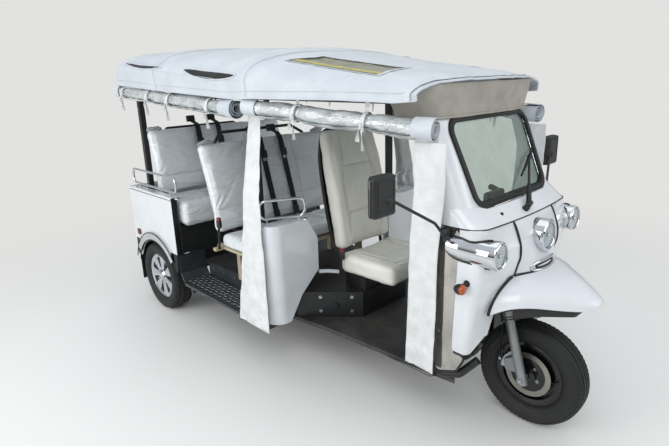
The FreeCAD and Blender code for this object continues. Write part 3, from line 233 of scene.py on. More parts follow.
# Gel-coated glass-fibre panels: bluish white, high gloss, faint orange peel
WHITE_PANEL = Finish("gelcoat_white", "#e3e7eb", "#d9dee3", 0.16, Grain.ORANGE_PEEL, 9.0, 0.02, coat=0.5,
                     dust_top=0.9, dust_share=0.3, mottle_mm=260)
# PVC-coated canvas: pale silver white, soft sheen, plain weave drawn at 4 mm so that it shows
CANVAS = Finish("coated_canvas", "#d3d9df", "#c4ccd4", 0.46, Grain.CANVAS, 4.0, 0.10, mottle_mm=190, sheen=0.1,
                fold_mm=60, fold_relief=1.5)
# The same coated cloth after weather: rougher, a little yellower, folded and dusty low down
STRIP_CANVAS = Finish("weathered_canvas", "#e7e9ea", "#d9dcdd", 0.55, Grain.CANVAS, 4.0, 0.14, mottle_mm=60,
                      fold_mm=34, fold_relief=2.2, sheen=0.1, dust_top=1.2, dust_share=0.25)
# Uncoated beige lining cloth, matt
VISOR_CANVAS = Finish("lining_canvas", "#aaa69e", "#9b978f", 0.6, Grain.CANVAS, 4.0, 0.12, mottle_mm=90)
# Soft PVC window film: clear, glossy, sharp crumples
ROLL_FILM = Finish("rolled_window_film", "#d9dfdf", "#b3babb", 0.12, Grain.CRUMPLED, 110.0, 12.0, mottle_mm=70,
                   shine_spread=0.05, coat=0.8, metallic=0.12)
# The same film stretched flat over the roof's openings: olive grey and nearly opaque, with painted highlights along
# its creases
SKY_FILM = Finish("roof_window_film", "#9a9a84", "#84846f", 0.34, Grain.CRUMPLED, 260.0, 3.0, mottle_mm=150,
                  coat=0.08, alpha=0.9, crease_highlight_alpha=0.97)
# A strip of film that the sun has turned deep yellow
YELLOW_FILM = Finish("yellowed_film", "#d6cb74", "#8f8348", 0.35, Grain.CRUMPLED, 26.0, 2.5, mottle_mm=11)
# Seat vinyl: off-white calendered PVC with a fine hide grain
VINYL = Finish("seat_vinyl", "#ebeae2", "#e2e1d7", 0.38, Grain.LEATHER, 3.0, 0.12, mottle_mm=120, coat=0.1)
# Bench vinyl still in its clear wrapping: bluish grey under a tight glossy film with long pulls in it
WRAPPED_VINYL = Finish("wrapped_vinyl", "#e4e8ea", "#d8dee1", 0.26, Grain.CRUMPLED, 190.0, 9.0, mottle_mm=160,
                       coat=0.7, shine_spread=0.08)
# Ends of the clear wrapping, bunched so tight that they shine; the pale streaks along their creases are painted
# highlights
BUNCHED_FILM = Finish("bunched_wrapping", "#dfe5e8", "#9ba3a7", 0.08, Grain.CRUMPLED, 30.0, 6.0, mottle_mm=14,
                      coat=1.0, alpha=0.75, crease_highlight_alpha=0.95)
# Pale polyester sewing thread
THREAD = Finish("polyester_thread", "#cfcdc4", "#bdbab0", 0.6, Grain.CANVAS, 1.0, 0.1, mottle_mm=8)
# Powder-coated steel tube: near black, satin, fine texture
BLACK_STEEL = Finish("powder_coat_black", "#17181a", "#222326", 0.42, Grain.POWDER, 1.6, 0.05, dust_top=0.7)
# Stove-enamelled wheel steel: black, glossy, slight orange peel
GLOSS_BLACK = Finish("stove_enamel_black", "#0c0d0e", "#131416", 0.26, Grain.ORANGE_PEEL, 7.0, 0.02, coat=0.15)
# Moulded edge of the driver's seat: black, fine hide grain
SEAT_SHELL = Finish("moulded_shell_black", "#141415", "#1d1d1f", 0.5, Grain.LEATHER, 2.0, 0.08)
# Bare and painted steel: mid grey, slightly dull
GREY_STEEL = Finish("painted_steel_grey", "#9b9d9f", "#8b8e90", 0.34, Grain.BRUSHED, 3.0, 0.03, metallic=0.55)
# Zinc-plated bolts and bracket steel: bright, fine scratches
BRIGHT_STEEL = Finish("zinc_plated_steel", "#b9bcbe", "#9fa3a6", 0.3, Grain.BRUSHED, 2.0, 0.03, metallic=0.9,
                      mottle_mm=20)
# Ground brake disc: warm grey, turned marks
DISC_STEEL = Finish("ground_disc_steel", "#a29e97", "#8b8780", 0.34, Grain.BRUSHED, 1.6, 0.03, metallic=0.85)
# Bright chrome plate: a mirror with the softest waviness
CHROME = Finish("bright_chrome", "#dfe2e5", "#cfd3d7", 0.05, Grain.ORANGE_PEEL, 40.0, 0.01, metallic=1.0,
                shine_spread=0.02)
# Polished stainless sheet: mirror-like, with a faint vertical grain
MIRROR_SHEET = Finish("polished_stainless", "#c2bfb9", "#a3a09a", 0.10, Grain.BRUSHED, 4.0, 0.02, metallic=1.0)
# Machined and lacquered aluminium of the rear wheels
ALLOY = Finish("machined_alloy", "#d6d9dc", "#c0c4c8", 0.24, Grain.BRUSHED, 2.0, 0.02, metallic=0.9, coat=0.3)
# Worn aluminium chequer plate: dark grey, scuffed
TREAD_ALLOY = Finish("tread_plate_alloy", "#62666a", "#505458", 0.36, Grain.BRUSHED, 5.0, 0.03, metallic=0.85,
                     mottle_mm=70)
# Tyre rubber: matt black, brown dust near the ground
TYRE = Finish("tyre_rubber", "#151617", "#1f2021", 0.66, Grain.RUBBER, 3.0, 0.08, dust="#5a5852", dust_top=0.3,
              dust_share=0.12, mottle_mm=50)
# Moulded rubber of boots, nosing and flaps
RUBBER = Finish("moulded_rubber", "#131314", "#1d1d1e", 0.55, Grain.RUBBER, 2.0, 0.05)
# Black injection-moulded plastic with a leather-like grain
PLASTIC = Finish("grained_plastic_black", "#151617", "#1f2022", 0.45, Grain.LEATHER, 1.6, 0.06)
# Ribbed rubber matting: ribs 12 mm apart, dust in them
FLOOR_MAT = Finish("ribbed_floor_mat", "#1e2124", "#272a2e", 0.6, Grain.RIBBED, 12.0, 0.7, dust_top=0.9,
                   dust_share=0.3, mottle_mm=160)
# Powder-coated battery box
BATTERY_CASE = Finish("battery_case", "#1b1c1e", "#26272a", 0.55, Grain.POWDER, 2.5, 0.08, dust_top=0.6)
# Laminated glass with a faint green tint
SCREEN_GLASS = Finish("laminated_glass", "#c8d6cf", "#bccbc4", 0.01, transmission=1.0, shine_spread=0.0)
# Clear moulded lamp glass
LAMP_GLASS = Finish("lamp_glass", "#eef3f5", "#e4ebee", 0.02, transmission=1.0, shine_spread=0.0)
# Amber acrylic of the signals
AMBER = Finish("amber_lens", "#b5560c", "#964207", 0.12, Grain.ORANGE_PEEL, 5.0, 0.05, coat=0.4)
# Red acrylic of the tail lamps and markers
RED = Finish("red_lens", "#7f100c", "#5c0b08", 0.12, Grain.ORANGE_PEEL, 5.0, 0.05, coat=0.4)
# Black polyester belt webbing, twill weave
WEBBING = Finish("belt_webbing", "#131314", "#1e1e20", 0.62, Grain.WEBBING, 3.0, 0.3, mottle_mm=30)
# Beige enamelled tube under the middle bench
BENCH_STEEL = Finish("beige_enamel", "#b9ad92", "#a69a80", 0.35, Grain.ORANGE_PEEL, 6.0, 0.03, dust_top=0.9)
# Silvered mirror glass
MIRROR_GLASS = Finish("mirror_glass", "#c6ccd0", "#bcc3c8", 0.02, Grain.ORANGE_PEEL, 60.0, 0.005, metallic=1.0,
                      shine_spread=0.0)
# Black extruded rubber in the panel joints
GASKET = Finish("gasket_rubber", "#0c0c0d", "#151516", 0.4, Grain.RUBBER, 2.0, 0.04)

BUILT: dict = {}


def paint(finish: Finish) -> bpy.types.Material:
    """Gives the material of a finish, made once."""
    if finish.name not in BUILT:
        BUILT[finish.name] = finish.build()
    return BUILT[finish.name]


# Mesh making

def put(name: str, mesh: bpy.types.Mesh) -> Object:
    """Links a new object that shows a mesh."""
    piece = bpy.data.objects.new(name, mesh)
    bpy.context.scene.collection.objects.link(piece)
    return piece


def unit(rows: np.ndarray) -> np.ndarray:
    """Scales every row to length one."""
    return rows / np.linalg.norm(rows, axis=-1, keepdims=True)


def bump_at(x: float, y: float, z: float) -> float:
    """Smooth noise from -1 to 1 at a place."""
    return noise.noise(Vector((x, y, z)))


def bulge(value: float, power: float) -> float:
    """A power of a value that keeps the value's sign."""
    return math.copysign(abs(value) ** power, value)


def loop_angles(count: int) -> np.ndarray:
    """Equal steps once round, without the last."""
    return np.linspace(0, TURN, count, endpoint=False)


def ring_spots(centre: Point, radius: float, count: int, start: float = 0.0) -> list:
    """Points on an upright circle round a sideways axis."""
    x, y, z = centre
    turns = [TURN * k / count + start for k in range(count)]
    return [(x + radius * math.cos(a), y, z + radius * math.sin(a)) for a in turns]


def plan_point(a: float, z: float, front: float, half: float, corner: float, rear: float,
               bow: float) -> np.ndarray:
    """A point round a U-shaped plan with a bowed front, from -1 at the right rear to 1 at the left rear."""
    edge = front - bow
    side, arc, flat = edge - corner - rear, corner * math.pi / 2, half - corner
    along = abs(a) * (side + arc + flat)
    sign = math.copysign(1.0, a)
    if along <= flat:
        return np.array([edge + bow * (1 - (along / flat) ** 2), along * sign, z])
    if along <= flat + arc:
        turn = (along - flat) / corner
        return np.array([edge - corner + corner * math.cos(turn), (flat + corner * math.sin(turn)) * sign, z])
    return np.array([edge - corner - (along - flat - arc), half * sign, z])


def vectors(mesh: bpy.types.Mesh, what: str = "co") -> np.ndarray:
    """A mesh's points, or its normals, as an array."""
    flat = np.zeros(len(mesh.vertices) * 3, np.float32)
    mesh.vertices.foreach_get(what, flat)
    return flat.reshape(-1, 3).astype(float)


def move_to(mesh: bpy.types.Mesh, points: np.ndarray) -> None:
    """Puts a mesh's points at new places."""
    mesh.vertices.foreach_set("co", points.astype(np.float32).ravel())


def mesh_piece(name: str, points: np.ndarray, faces: Sequence, finish: Finish, smooth_deg: float = 40.0) -> Object:
    """Makes an object from points and faces, in the row frame.

    Args:
        name: the piece's name.
        points: n by 3 array, metres.
        faces: index tuples.
        finish: the surface finish.
        smooth_deg: edges sharper than this stay sharp.

    Returns:
        The new object, at the origin.
    """
    mesh = bpy.data.meshes.new(name)
    mesh.from_pydata([tuple(map(float, p)) for p in points], [], [tuple(map(int, f)) for f in faces])
    mesh.validate()
    piece = put(name, mesh)
    piece.data.materials.append(paint(finish))
    smooth(piece, smooth_deg)
    return piece


def smooth(piece: Object, degrees: float = 40.0) -> None:
    """Shades a piece smooth, except over edges sharper than the angle."""
    piece.data.shade_smooth()
    piece.data.set_sharp_from_angle(angle=math.radians(degrees))


def outward(piece: Object) -> Object:
    """Merges doubles and turns a closed piece's faces outwards."""
    bm = bmesh.new()
    bm.from_mesh(piece.data)
    bmesh.ops.remove_doubles(bm, verts=bm.verts, dist=1e-6)
    bmesh.ops.recalc_face_normals(bm, faces=bm.faces)
    bm.to_mesh(piece.data)
    bm.free()
    return piece


def grid_faces(rows: int, columns: int, wrap_rows: bool = False, wrap_columns: bool = False) -> list:
    """Quads over a rows by columns grid of points, row by row."""
    faces = []
    for i in range(rows if wrap_rows else rows - 1):
        for j in range(columns if wrap_columns else columns - 1):
            a, b = i * columns + j, i * columns + (j + 1) % columns
            c, d = ((i + 1) % rows) * columns + (j + 1) % columns, ((i + 1) % rows) * columns + j
            faces.append((a, b, c, d))
    return faces


def sheet_piece(name: str, grid: np.ndarray, finish: Finish, wall: float = 0.0, keep: Optional[np.ndarray] = None,
                passes: int = 0) -> Object:
    """A sheet over a grid of points, with a wall thickness if one is given.

    Args:
        name: the piece's name.
        grid: rows by columns by 3 array of points.
        finish: the surface finish.
        wall: thickness, put on the inner side.
        keep: for each cell, whether it stays.
        passes: rounds of smoothing before the wall.

    Returns:
        The new object.
    """
    rows, columns = grid.shape[:2]
    faces = grid_faces(rows, columns)
    if keep is not None:
        faces = [f for f, stays in zip(faces, keep.ravel()) if stays]
    piece = mesh_piece(name, grid.reshape(-1, 3), faces, finish, 60.0)
    if passes:
        relax = piece.modifiers.new("relax", "SMOOTH")
        relax.factor, relax.iterations = 0.5, passes
    if wall:
        shell = piece.modifiers.new("wall", "SOLIDIFY")
        shell.thickness, shell.offset, shell.use_even_offset = wall, -1.0, False
    return settle(piece) if passes or wall else piece


def settle(piece: Object) -> Object:
    """Turns what a piece's modifiers make into its plain mesh, and drops loose points."""
    depsgraph = bpy.context.evaluated_depsgraph_get()
    mesh = bpy.data.meshes.new_from_object(piece.evaluated_get(depsgraph))
    piece.modifiers.clear()
    old = piece.data
    piece.data = mesh
    mesh.name = piece.name
    bpy.data.meshes.remove(old)
    bm = bmesh.new()
    bm.from_mesh(mesh)
    bmesh.ops.delete(bm, geom=[v for v in bm.verts if not v.link_faces], context="VERTS")
    bm.to_mesh(mesh)
    bm.free()
    return piece


def rounded_path(points: Sequence[Point], bend: float, closed: bool = False) -> np.ndarray:
    """Straight runs joined by arcs of a bend radius, as points for a swept bar."""
    points = [Vector(p) for p in points]
    count, steps = len(points), 6
    line = []
    for i, here in enumerate(points):
        if not closed and i in (0, count - 1):
            line.append(here)
            continue
        before, after = points[i - 1] - here, points[(i + 1) % count] - here
        half = before.angle(after) / 2
        reach = min(bend / math.tan(half), before.length * 0.49, after.length * 0.49)
        a, b = here + before.normalized() * reach, here + after.normalized() * reach
        if half > math.radians(89.5):
            line.append(here)
            continue
        for k in range(steps + 1):
            t = k / steps
            line.append(a * (1 - t) ** 2 + here * 2 * t * (1 - t) + b * t * t)
    return np.array(line)


def spline(points: Sequence[Point], count: int) -> np.ndarray:
    """Points evenly spaced in parameter along a smooth line through the given ones."""
    p = np.array(points, float)
    p = np.vstack([2 * p[0] - p[1], p, 2 * p[-1] - p[-2]])
    at = np.linspace(0, len(p) - 3 - 1e-9, count)
    k = at.astype(int)
    t = (at - k)[:, None]
    a, b, c, d = p[k], p[k + 1], p[k + 2], p[k + 3]
    return 0.5 * (2 * b + (c - a) * t + (2 * a - 5 * b + 4 * c - d) * t ** 2 + (3 * b - a - 3 * c + d) * t ** 3)


def frames(path: np.ndarray, closed: bool) -> tuple:
    """Two cross directions along a path, carried without twist."""
    if closed:
        tangents = np.roll(path, -1, 0) - np.roll(path, 1, 0)
    else:
        tangents = np.gradient(path, axis=0)
    tangents /= np.linalg.norm(tangents, axis=1)[:, None] + 1e-12
    side = np.cross(tangents[0], np.array([0.0, 0.0, 1.0]))
    if np.linalg.norm(side) < 1e-3:
        side = np.cross(tangents[0], np.array([0.0, 1.0, 0.0]))
    sides = []
    for t in tangents:
        side = side - t * side.dot(t)
        side /= np.linalg.norm(side)
        sides.append(side)
    sides = np.array(sides)
    return sides, np.cross(tangents, sides)


def bar_piece(name: str, path: np.ndarray, radius, finish: Finish, sides: int = 14, closed: bool = False,
              flat: float = 1.0) -> Object:
    """A round or oval bar swept along a path.

    Args:
        name: the piece's name.
        path: the points of the middle line.
        radius: one radius, or one for each point.
        finish: the surface finish.
        sides: points round the section.
        closed: whether the path closes on itself.
        flat: the section's second half width, as a share of the first.

    Returns:
        The new object.
    """
    path = np.array(path, float)
    side, lift = frames(path, closed)
    turn = loop_angles(sides)
    radii = np.broadcast_to(np.asarray(radius, float), (len(path),))[:, None, None]
    ring = np.cos(turn)[None, :, None] * side[:, None] + np.sin(turn)[None, :, None] * lift[:, None] * flat
    grid = path[:, None] + ring * radii
    faces = grid_faces(len(path), sides, closed, True)
    if not closed:
        faces += [tuple(range(sides))[::-1], tuple(range((len(path) - 1) * sides, len(path) * sides))]
    return outward(mesh_piece(name, grid.reshape(-1, 3), faces, finish, 50.0))


def turned_piece(name: str, profile: Sequence, centre: Point, axis: Point, finish: Finish, steps: int = 48,
                 closed: bool = False, sharp: float = 35.0) -> Object:
    """A shape turned about an axis.

    Args:
        name: the piece's name.
        profile: pairs of radius and distance along the axis.
        centre: a point on the axis.
        axis: the axis direction.
        finish: the surface finish.
        steps: steps round the turn.
        closed: whether the profile closes on itself.
        sharp: edges sharper than this angle stay sharp.

    Returns:
        The new object.
    """
    profile = np.array(profile, float)
    axis = np.array(axis, float) / np.linalg.norm(axis)
    seed = np.array([0.0, 0.0, 1.0]) if abs(axis[2]) < 0.9 else np.array([1.0, 0.0, 0.0])
    u = np.cross(axis, seed)
    u /= np.linalg.norm(u)
    v = np.cross(axis, u)
    turn = loop_angles(steps)
    ring = np.cos(turn)[:, None] * u + np.sin(turn)[:, None] * v
    grid = (np.array(centre, float) + ring[:, None] * profile[None, :, :1]
            + axis[None, None] * profile[None, :, 1:])
    faces = grid_faces(steps, len(profile), True, closed)
    return outward(mesh_piece(name, grid.reshape(-1, 3), faces, finish, sharp))


def soft_box(name: str, low: Point, high: Point, radius: float, finish: Finish, segments: int = 3) -> Object:
    """A box with rounded edges between two corners."""
    bm = bmesh.new()
    bmesh.ops.create_cube(bm, size=1.0)
    size, middle = Vector(high) - Vector(low), (Vector(high) + Vector(low)) / 2
    bmesh.ops.scale(bm, vec=size, verts=bm.verts)
    bmesh.ops.translate(bm, vec=middle, verts=bm.verts)
    bmesh.ops.bevel(bm, geom=list(bm.edges), offset=min(radius, min(size) * 0.49), segments=segments,
                    profile=0.5, affect="EDGES")
    mesh = bpy.data.meshes.new(name)
    bm.to_mesh(mesh)
    bm.free()
    piece = put(name, mesh)
    mesh.materials.append(paint(finish))
    smooth(piece)
    return piece


def slab_piece(name: str, outline: Sequence[Point], push: Point, finish: Finish) -> Object:
    """A flat outline pushed along a direction."""
    count = len(outline)
    base = [Vector(p) for p in outline]
    points = base + [p + Vector(push) for p in base]
    faces = [tuple(range(count)), tuple(range(count, 2 * count))[::-1]]
    faces += [(i, i + count, (i + 1) % count + count, (i + 1) % count) for i in range(count)]
    return outward(mesh_piece(name, points, faces, finish))


def joined(name: str, parts: Sequence[Object]) -> Object:
    """Joins several pieces on one body into one, keeping their finishes."""
    points, faces, marks, materials = [], [], [], []
    for part in parts:
        start = len(points)
        points += [v.co.copy() for v in part.data.vertices]
        slots = []
        for material in part.data.materials:
            if material not in materials:
                materials.append(material)
            slots.append(materials.index(material))
        for face in part.data.polygons:
            faces.append(tuple(i + start for i in face.vertices))
            marks.append(slots[face.material_index])
    mesh = bpy.data.meshes.new(name)
    mesh.from_pydata(points, [], faces)
    for material in materials:
        mesh.materials.append(material)
    mesh.polygons.foreach_set("material_index", marks)
    for part in parts:
        old = part.data
        bpy.data.objects.remove(part)
        bpy.data.meshes.remove(old)
    piece = put(name, mesh)
    smooth(piece)
    return piece


def mirrored(name: str, piece: Object) -> Object:
    """Links a mirror image on the vehicle's other side, with its faces still outwards."""
    mesh = piece.data.copy()
    mesh.transform(Matrix.Scale(-1, 4, Vector((0, 1, 0))))
    mesh.flip_normals()
    return put(name, mesh)


def both_sides(name: str, parts: Sequence[Object]) -> Object:
    """Joins pieces with their mirror images on the other side."""
    return joined(name, list(parts) + [mirrored(name + "_twin", p) for p in parts])


def dress(piece: Object, body: str = "chassis", replaces: Sequence[str] = ()) -> Object:
    """Puts a piece on a body and hides the CAD nodes it stands for."""
    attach(piece, body)
    if replaces:
        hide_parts(*replaces)
    LOG.info("%-26s %7d faces, on %s", piece.name, len(piece.data.polygons), body)
    return piece


def dress_all(pieces: Sequence[Object], slots: Sequence[str]) -> None:
    """Puts fixed pieces on the chassis."""
    for piece, slot in zip(pieces, slots):
        dress(piece)


# Geometry Nodes for what repeats

def nodes_group(name: str, inputs: Sequence[tuple]) -> tuple:
    """Starts a Geometry Nodes tree.

    Args:
        name: the tree's name.
        inputs: name, socket type and default of each input after the geometry.

    Returns:
        The tree, its input node and a dict from input name to socket identifier.
    """
    tree = bpy.data.node_groups.new(name, "GeometryNodeTree")
    tree.interface.new_socket(name="Geometry", in_out="INPUT", socket_type="NodeSocketGeometry")
    tree.interface.new_socket(name="Geometry", in_out="OUTPUT", socket_type="NodeSocketGeometry")
    keys = {}
    for label, kind, default in inputs:
        item = tree.interface.new_socket(name=label, in_out="INPUT", socket_type=kind)
        if default is not None:
            item.default_value = default
        keys[label] = item.identifier
    return tree, add_node(tree, "NodeGroupInput"), keys


def close_group(tree: Tree, source: Socket, material: Socket) -> None:
    """Ends a tree in Realize Instances and Set Material."""
    real = add_node(tree, "GeometryNodeRealizeInstances", {0: source})
    done = add_node(tree, "GeometryNodeSetMaterial", {"Geometry": real.outputs[0], "Material": material})
    add_node(tree, "NodeGroupOutput", {0: done.outputs[0]})


def fastener_tree() -> tuple:
    """A hexagon or round head on a washer at every point, facing along the point's attribute."""
    tree, start, keys = nodes_group("fasteners", [
        ("Head Radius", "NodeSocketFloat", 0.006), ("Head Height", "NodeSocketFloat", 0.004),
        ("Sides", "NodeSocketInt", 6), ("Material", "NodeSocketMaterial", None)])
    radius, height = start.outputs["Head Radius"], start.outputs["Head Height"]
    head = add_node(tree, "GeometryNodeMeshCone", {
        "Vertices": start.outputs["Sides"], "Radius Bottom": radius, "Depth": height})
    top = add_node(tree, "ShaderNodeMath", {0: radius, 1: 0.82}, operation="MULTIPLY")
    tree.links.new(top.outputs[0], head.inputs["Radius Top"])
    wide = add_node(tree, "ShaderNodeMath", {0: radius, 1: 1.45}, operation="MULTIPLY")
    thin = add_node(tree, "ShaderNodeMath", {0: height, 1: 0.25}, operation="MULTIPLY")
    washer = add_node(tree, "GeometryNodeMeshCylinder", {
        "Vertices": 14, "Radius": wide.outputs[0], "Depth": thin.outputs[0]})
    both = add_node(tree, "GeometryNodeJoinGeometry")
    tree.links.new(head.outputs[0], both.inputs[0])
    tree.links.new(washer.outputs[0], both.inputs[0])
    facing = add_node(tree, "GeometryNodeInputNamedAttribute", {"Name": "facing"}, data_type="FLOAT_VECTOR")
    turn = add_node(tree, "FunctionNodeAlignRotationToVector", {"Vector": facing.outputs[0]}, axis="Z")
    dots = add_node(tree, "GeometryNodeMeshToPoints", {0: start.outputs[0]})
    many = add_node(tree, "GeometryNodeInstanceOnPoints", {
        "Points": dots.outputs[0], "Instance": both.outputs[0], "Rotation": turn.outputs[0]})
    close_group(tree, many.outputs[0], start.outputs["Material"])
    return tree, keys


def stitch_tree() -> tuple:
    """Short threads laid end to end along a line of edges."""
    tree, start, keys = nodes_group("stitches", [
        ("Pitch", "NodeSocketFloat", 0.008), ("Thread", "NodeSocketFloat", 0.0009),
        ("Length", "NodeSocketFloat", 0.0055), ("Material", "NodeSocketMaterial", None)])
    line = add_node(tree, "GeometryNodeMeshToCurve", {0: start.outputs[0]})
    dots = add_node(tree, "GeometryNodeCurveToPoints", {0: line.outputs[0], "Length": start.outputs["Pitch"]},
                    mode="LENGTH")
    thread = add_node(tree, "GeometryNodeMeshCylinder", {
        "Vertices": 5, "Radius": start.outputs["Thread"], "Depth": start.outputs["Length"]})
    turn = add_node(tree, "FunctionNodeAlignRotationToVector", {"Vector": dots.outputs["Tangent"]}, axis="Z")
    many = add_node(tree, "GeometryNodeInstanceOnPoints", {
        "Points": dots.outputs[0], "Instance": thread.outputs[0], "Rotation": turn.outputs[0]})
    close_group(tree, many.outputs[0], start.outputs["Material"])
    return tree, keys


def round_tree() -> tuple:
    """Copies of the input shape turned in equal steps about the Y axis."""
    tree, start, keys = nodes_group("ring_of_copies", [
        ("Count", "NodeSocketInt", 12), ("Material", "NodeSocketMaterial", None)])
    dots = add_node(tree, "GeometryNodePoints", {"Count": start.outputs["Count"]})
    number = add_node(tree, "GeometryNodeInputIndex")
    step = add_node(tree, "ShaderNodeMath", {0: TURN, 1: start.outputs["Count"]}, operation="DIVIDE")
    angle = add_node(tree, "ShaderNodeMath", {0: number.outputs[0], 1: step.outputs[0]}, operation="MULTIPLY")
    turn = add_node(tree, "ShaderNodeCombineXYZ", {1: angle.outputs[0]})
    many = add_node(tree, "GeometryNodeInstanceOnPoints", {
        "Points": dots.outputs[0], "Instance": start.outputs[0], "Rotation": turn.outputs[0]})
    close_group(tree, many.outputs[0], start.outputs["Material"])
    return tree, keys


def plate_tree() -> tuple:
    """Raised bars on a flat plate, turned 45 degrees left and right in turn."""
    tree, start, keys = nodes_group("tread_bars", [
        ("Pitch", "NodeSocketFloat", 0.024), ("Bar Length", "NodeSocketFloat", 0.011),
        ("Bar Width", "NodeSocketFloat", 0.0032), ("Bar Height", "NodeSocketFloat", 0.0016),
        ("Material", "NodeSocketMaterial", None)])
    ball = add_node(tree, "GeometryNodeMeshUVSphere", {"Segments": 8, "Rings": 4, "Radius": 1.0})
    size = add_node(tree, "ShaderNodeCombineXYZ", {
        0: start.outputs["Bar Length"], 1: start.outputs["Bar Width"], 2: start.outputs["Bar Height"]})
    where = add_node(tree, "GeometryNodeInputPosition")
    cell = add_node(tree, "ShaderNodeVectorMath", {0: where.outputs[0]}, operation="SCALE")
    inverse = add_node(tree, "ShaderNodeMath", {0: 1.0, 1: start.outputs["Pitch"]}, operation="DIVIDE")
    tree.links.new(inverse.outputs[0], cell.inputs["Scale"])
    parts = add_node(tree, "ShaderNodeSeparateXYZ", {0: cell.outputs[0]})
    total = add_node(tree, "ShaderNodeMath", {0: parts.outputs[0], 1: parts.outputs[1]}, operation="ADD")
    whole = add_node(tree, "ShaderNodeMath", {0: total.outputs[0]}, operation="ROUND")
    odd = add_node(tree, "ShaderNodeMath", {0: whole.outputs[0], 1: 2.0}, operation="FLOORED_MODULO")
    swing = add_node(tree, "ShaderNodeMath", {0: odd.outputs[0], 1: math.pi / 2, 2: -math.pi / 4},
                     operation="MULTIPLY_ADD")
    turn = add_node(tree, "ShaderNodeCombineXYZ", {2: swing.outputs[0]})
    many = add_node(tree, "GeometryNodeInstanceOnPoints", {
        "Points": start.outputs[0], "Instance": ball.outputs[0], "Rotation": turn.outputs[0],
        "Scale": size.outputs[0]})
    close_group(tree, many.outputs[0], start.outputs["Material"])
    return tree, keys


TREES: dict = {}


def grow(name: str, maker: Callable, mesh: bpy.types.Mesh, finish: Finish, **values) -> Object:
    """Runs a Geometry Nodes tree on a mesh and keeps the result as a plain piece.

    Args:
        name: the piece's name.
        maker: the function that builds the tree.
        mesh: what the tree starts from.
        finish: the surface finish.
        values: the tree's inputs by name, with spaces as underscores.

    Returns:
        The new object.
    """
    if maker.__name__ not in TREES:
        TREES[maker.__name__] = maker()
    tree, keys = TREES[maker.__name__]
    piece = put(name, mesh)
    modifier = piece.modifiers.new("grow", "NODES")
    modifier.node_group = tree
    modifier[keys["Material"]] = paint(finish)
    for label, value in values.items():
        modifier[keys[label.replace("_", " ")]] = value
    depsgraph = bpy.context.evaluated_depsgraph_get()
    result = bpy.data.meshes.new_from_object(piece.evaluated_get(depsgraph))
    bpy.data.objects.remove(piece)
    bpy.data.meshes.remove(mesh)
    result.name = name
    made = put(name, result)
    smooth(made, 35)
    return made


def fasteners(name: str, spots: Sequence[tuple], finish: Finish, radius: float = 0.006, height: float = 0.004,
              sides: int = 6) -> Object:
    """Bolt or rivet heads at spots, each a point and the direction that its head faces."""
    mesh = bpy.data.meshes.new(name + "_spots")
    mesh.from_pydata([tuple(p) for p, _ in spots], [], [])
    facing = mesh.attributes.new("facing", "FLOAT_VECTOR", "POINT")
    facing.data.foreach_set("vector", np.array([d for _, d in spots], np.float32).ravel())
    return grow(name, fastener_tree, mesh, finish, Head_Radius=radius, Head_Height=height, Sides=sides)


THREAD_RADIUS = 0.0009


def stitches(name: str, lines: Sequence[np.ndarray], pitch: float = 0.008, length: float = 0.0055) -> Object:
    """Rows of stitches along lines of points."""
    points, edges = [], []
    for line in lines:
        start = len(points)
        points += [tuple(map(float, p)) for p in line]
        edges += [(start + i, start + i + 1) for i in range(len(line) - 1)]
    mesh = bpy.data.meshes.new(name + "_line")
    mesh.from_pydata(points, edges, [])
    return grow(name, stitch_tree, mesh, THREAD, Pitch=pitch, Thread=THREAD_RADIUS, Length=length)


def wander(p: np.ndarray, scale: float, seed: float = 0.0) -> np.ndarray:
    """Smooth noise from -1 to 1 at points, with one bump every 1 / scale metres or so."""
    flat = np.asarray(p, float).reshape(-1, 3) * scale + seed
    return np.array([bump_at(*q) for q in flat]).reshape(np.shape(p)[:-1])


# Canvas roof

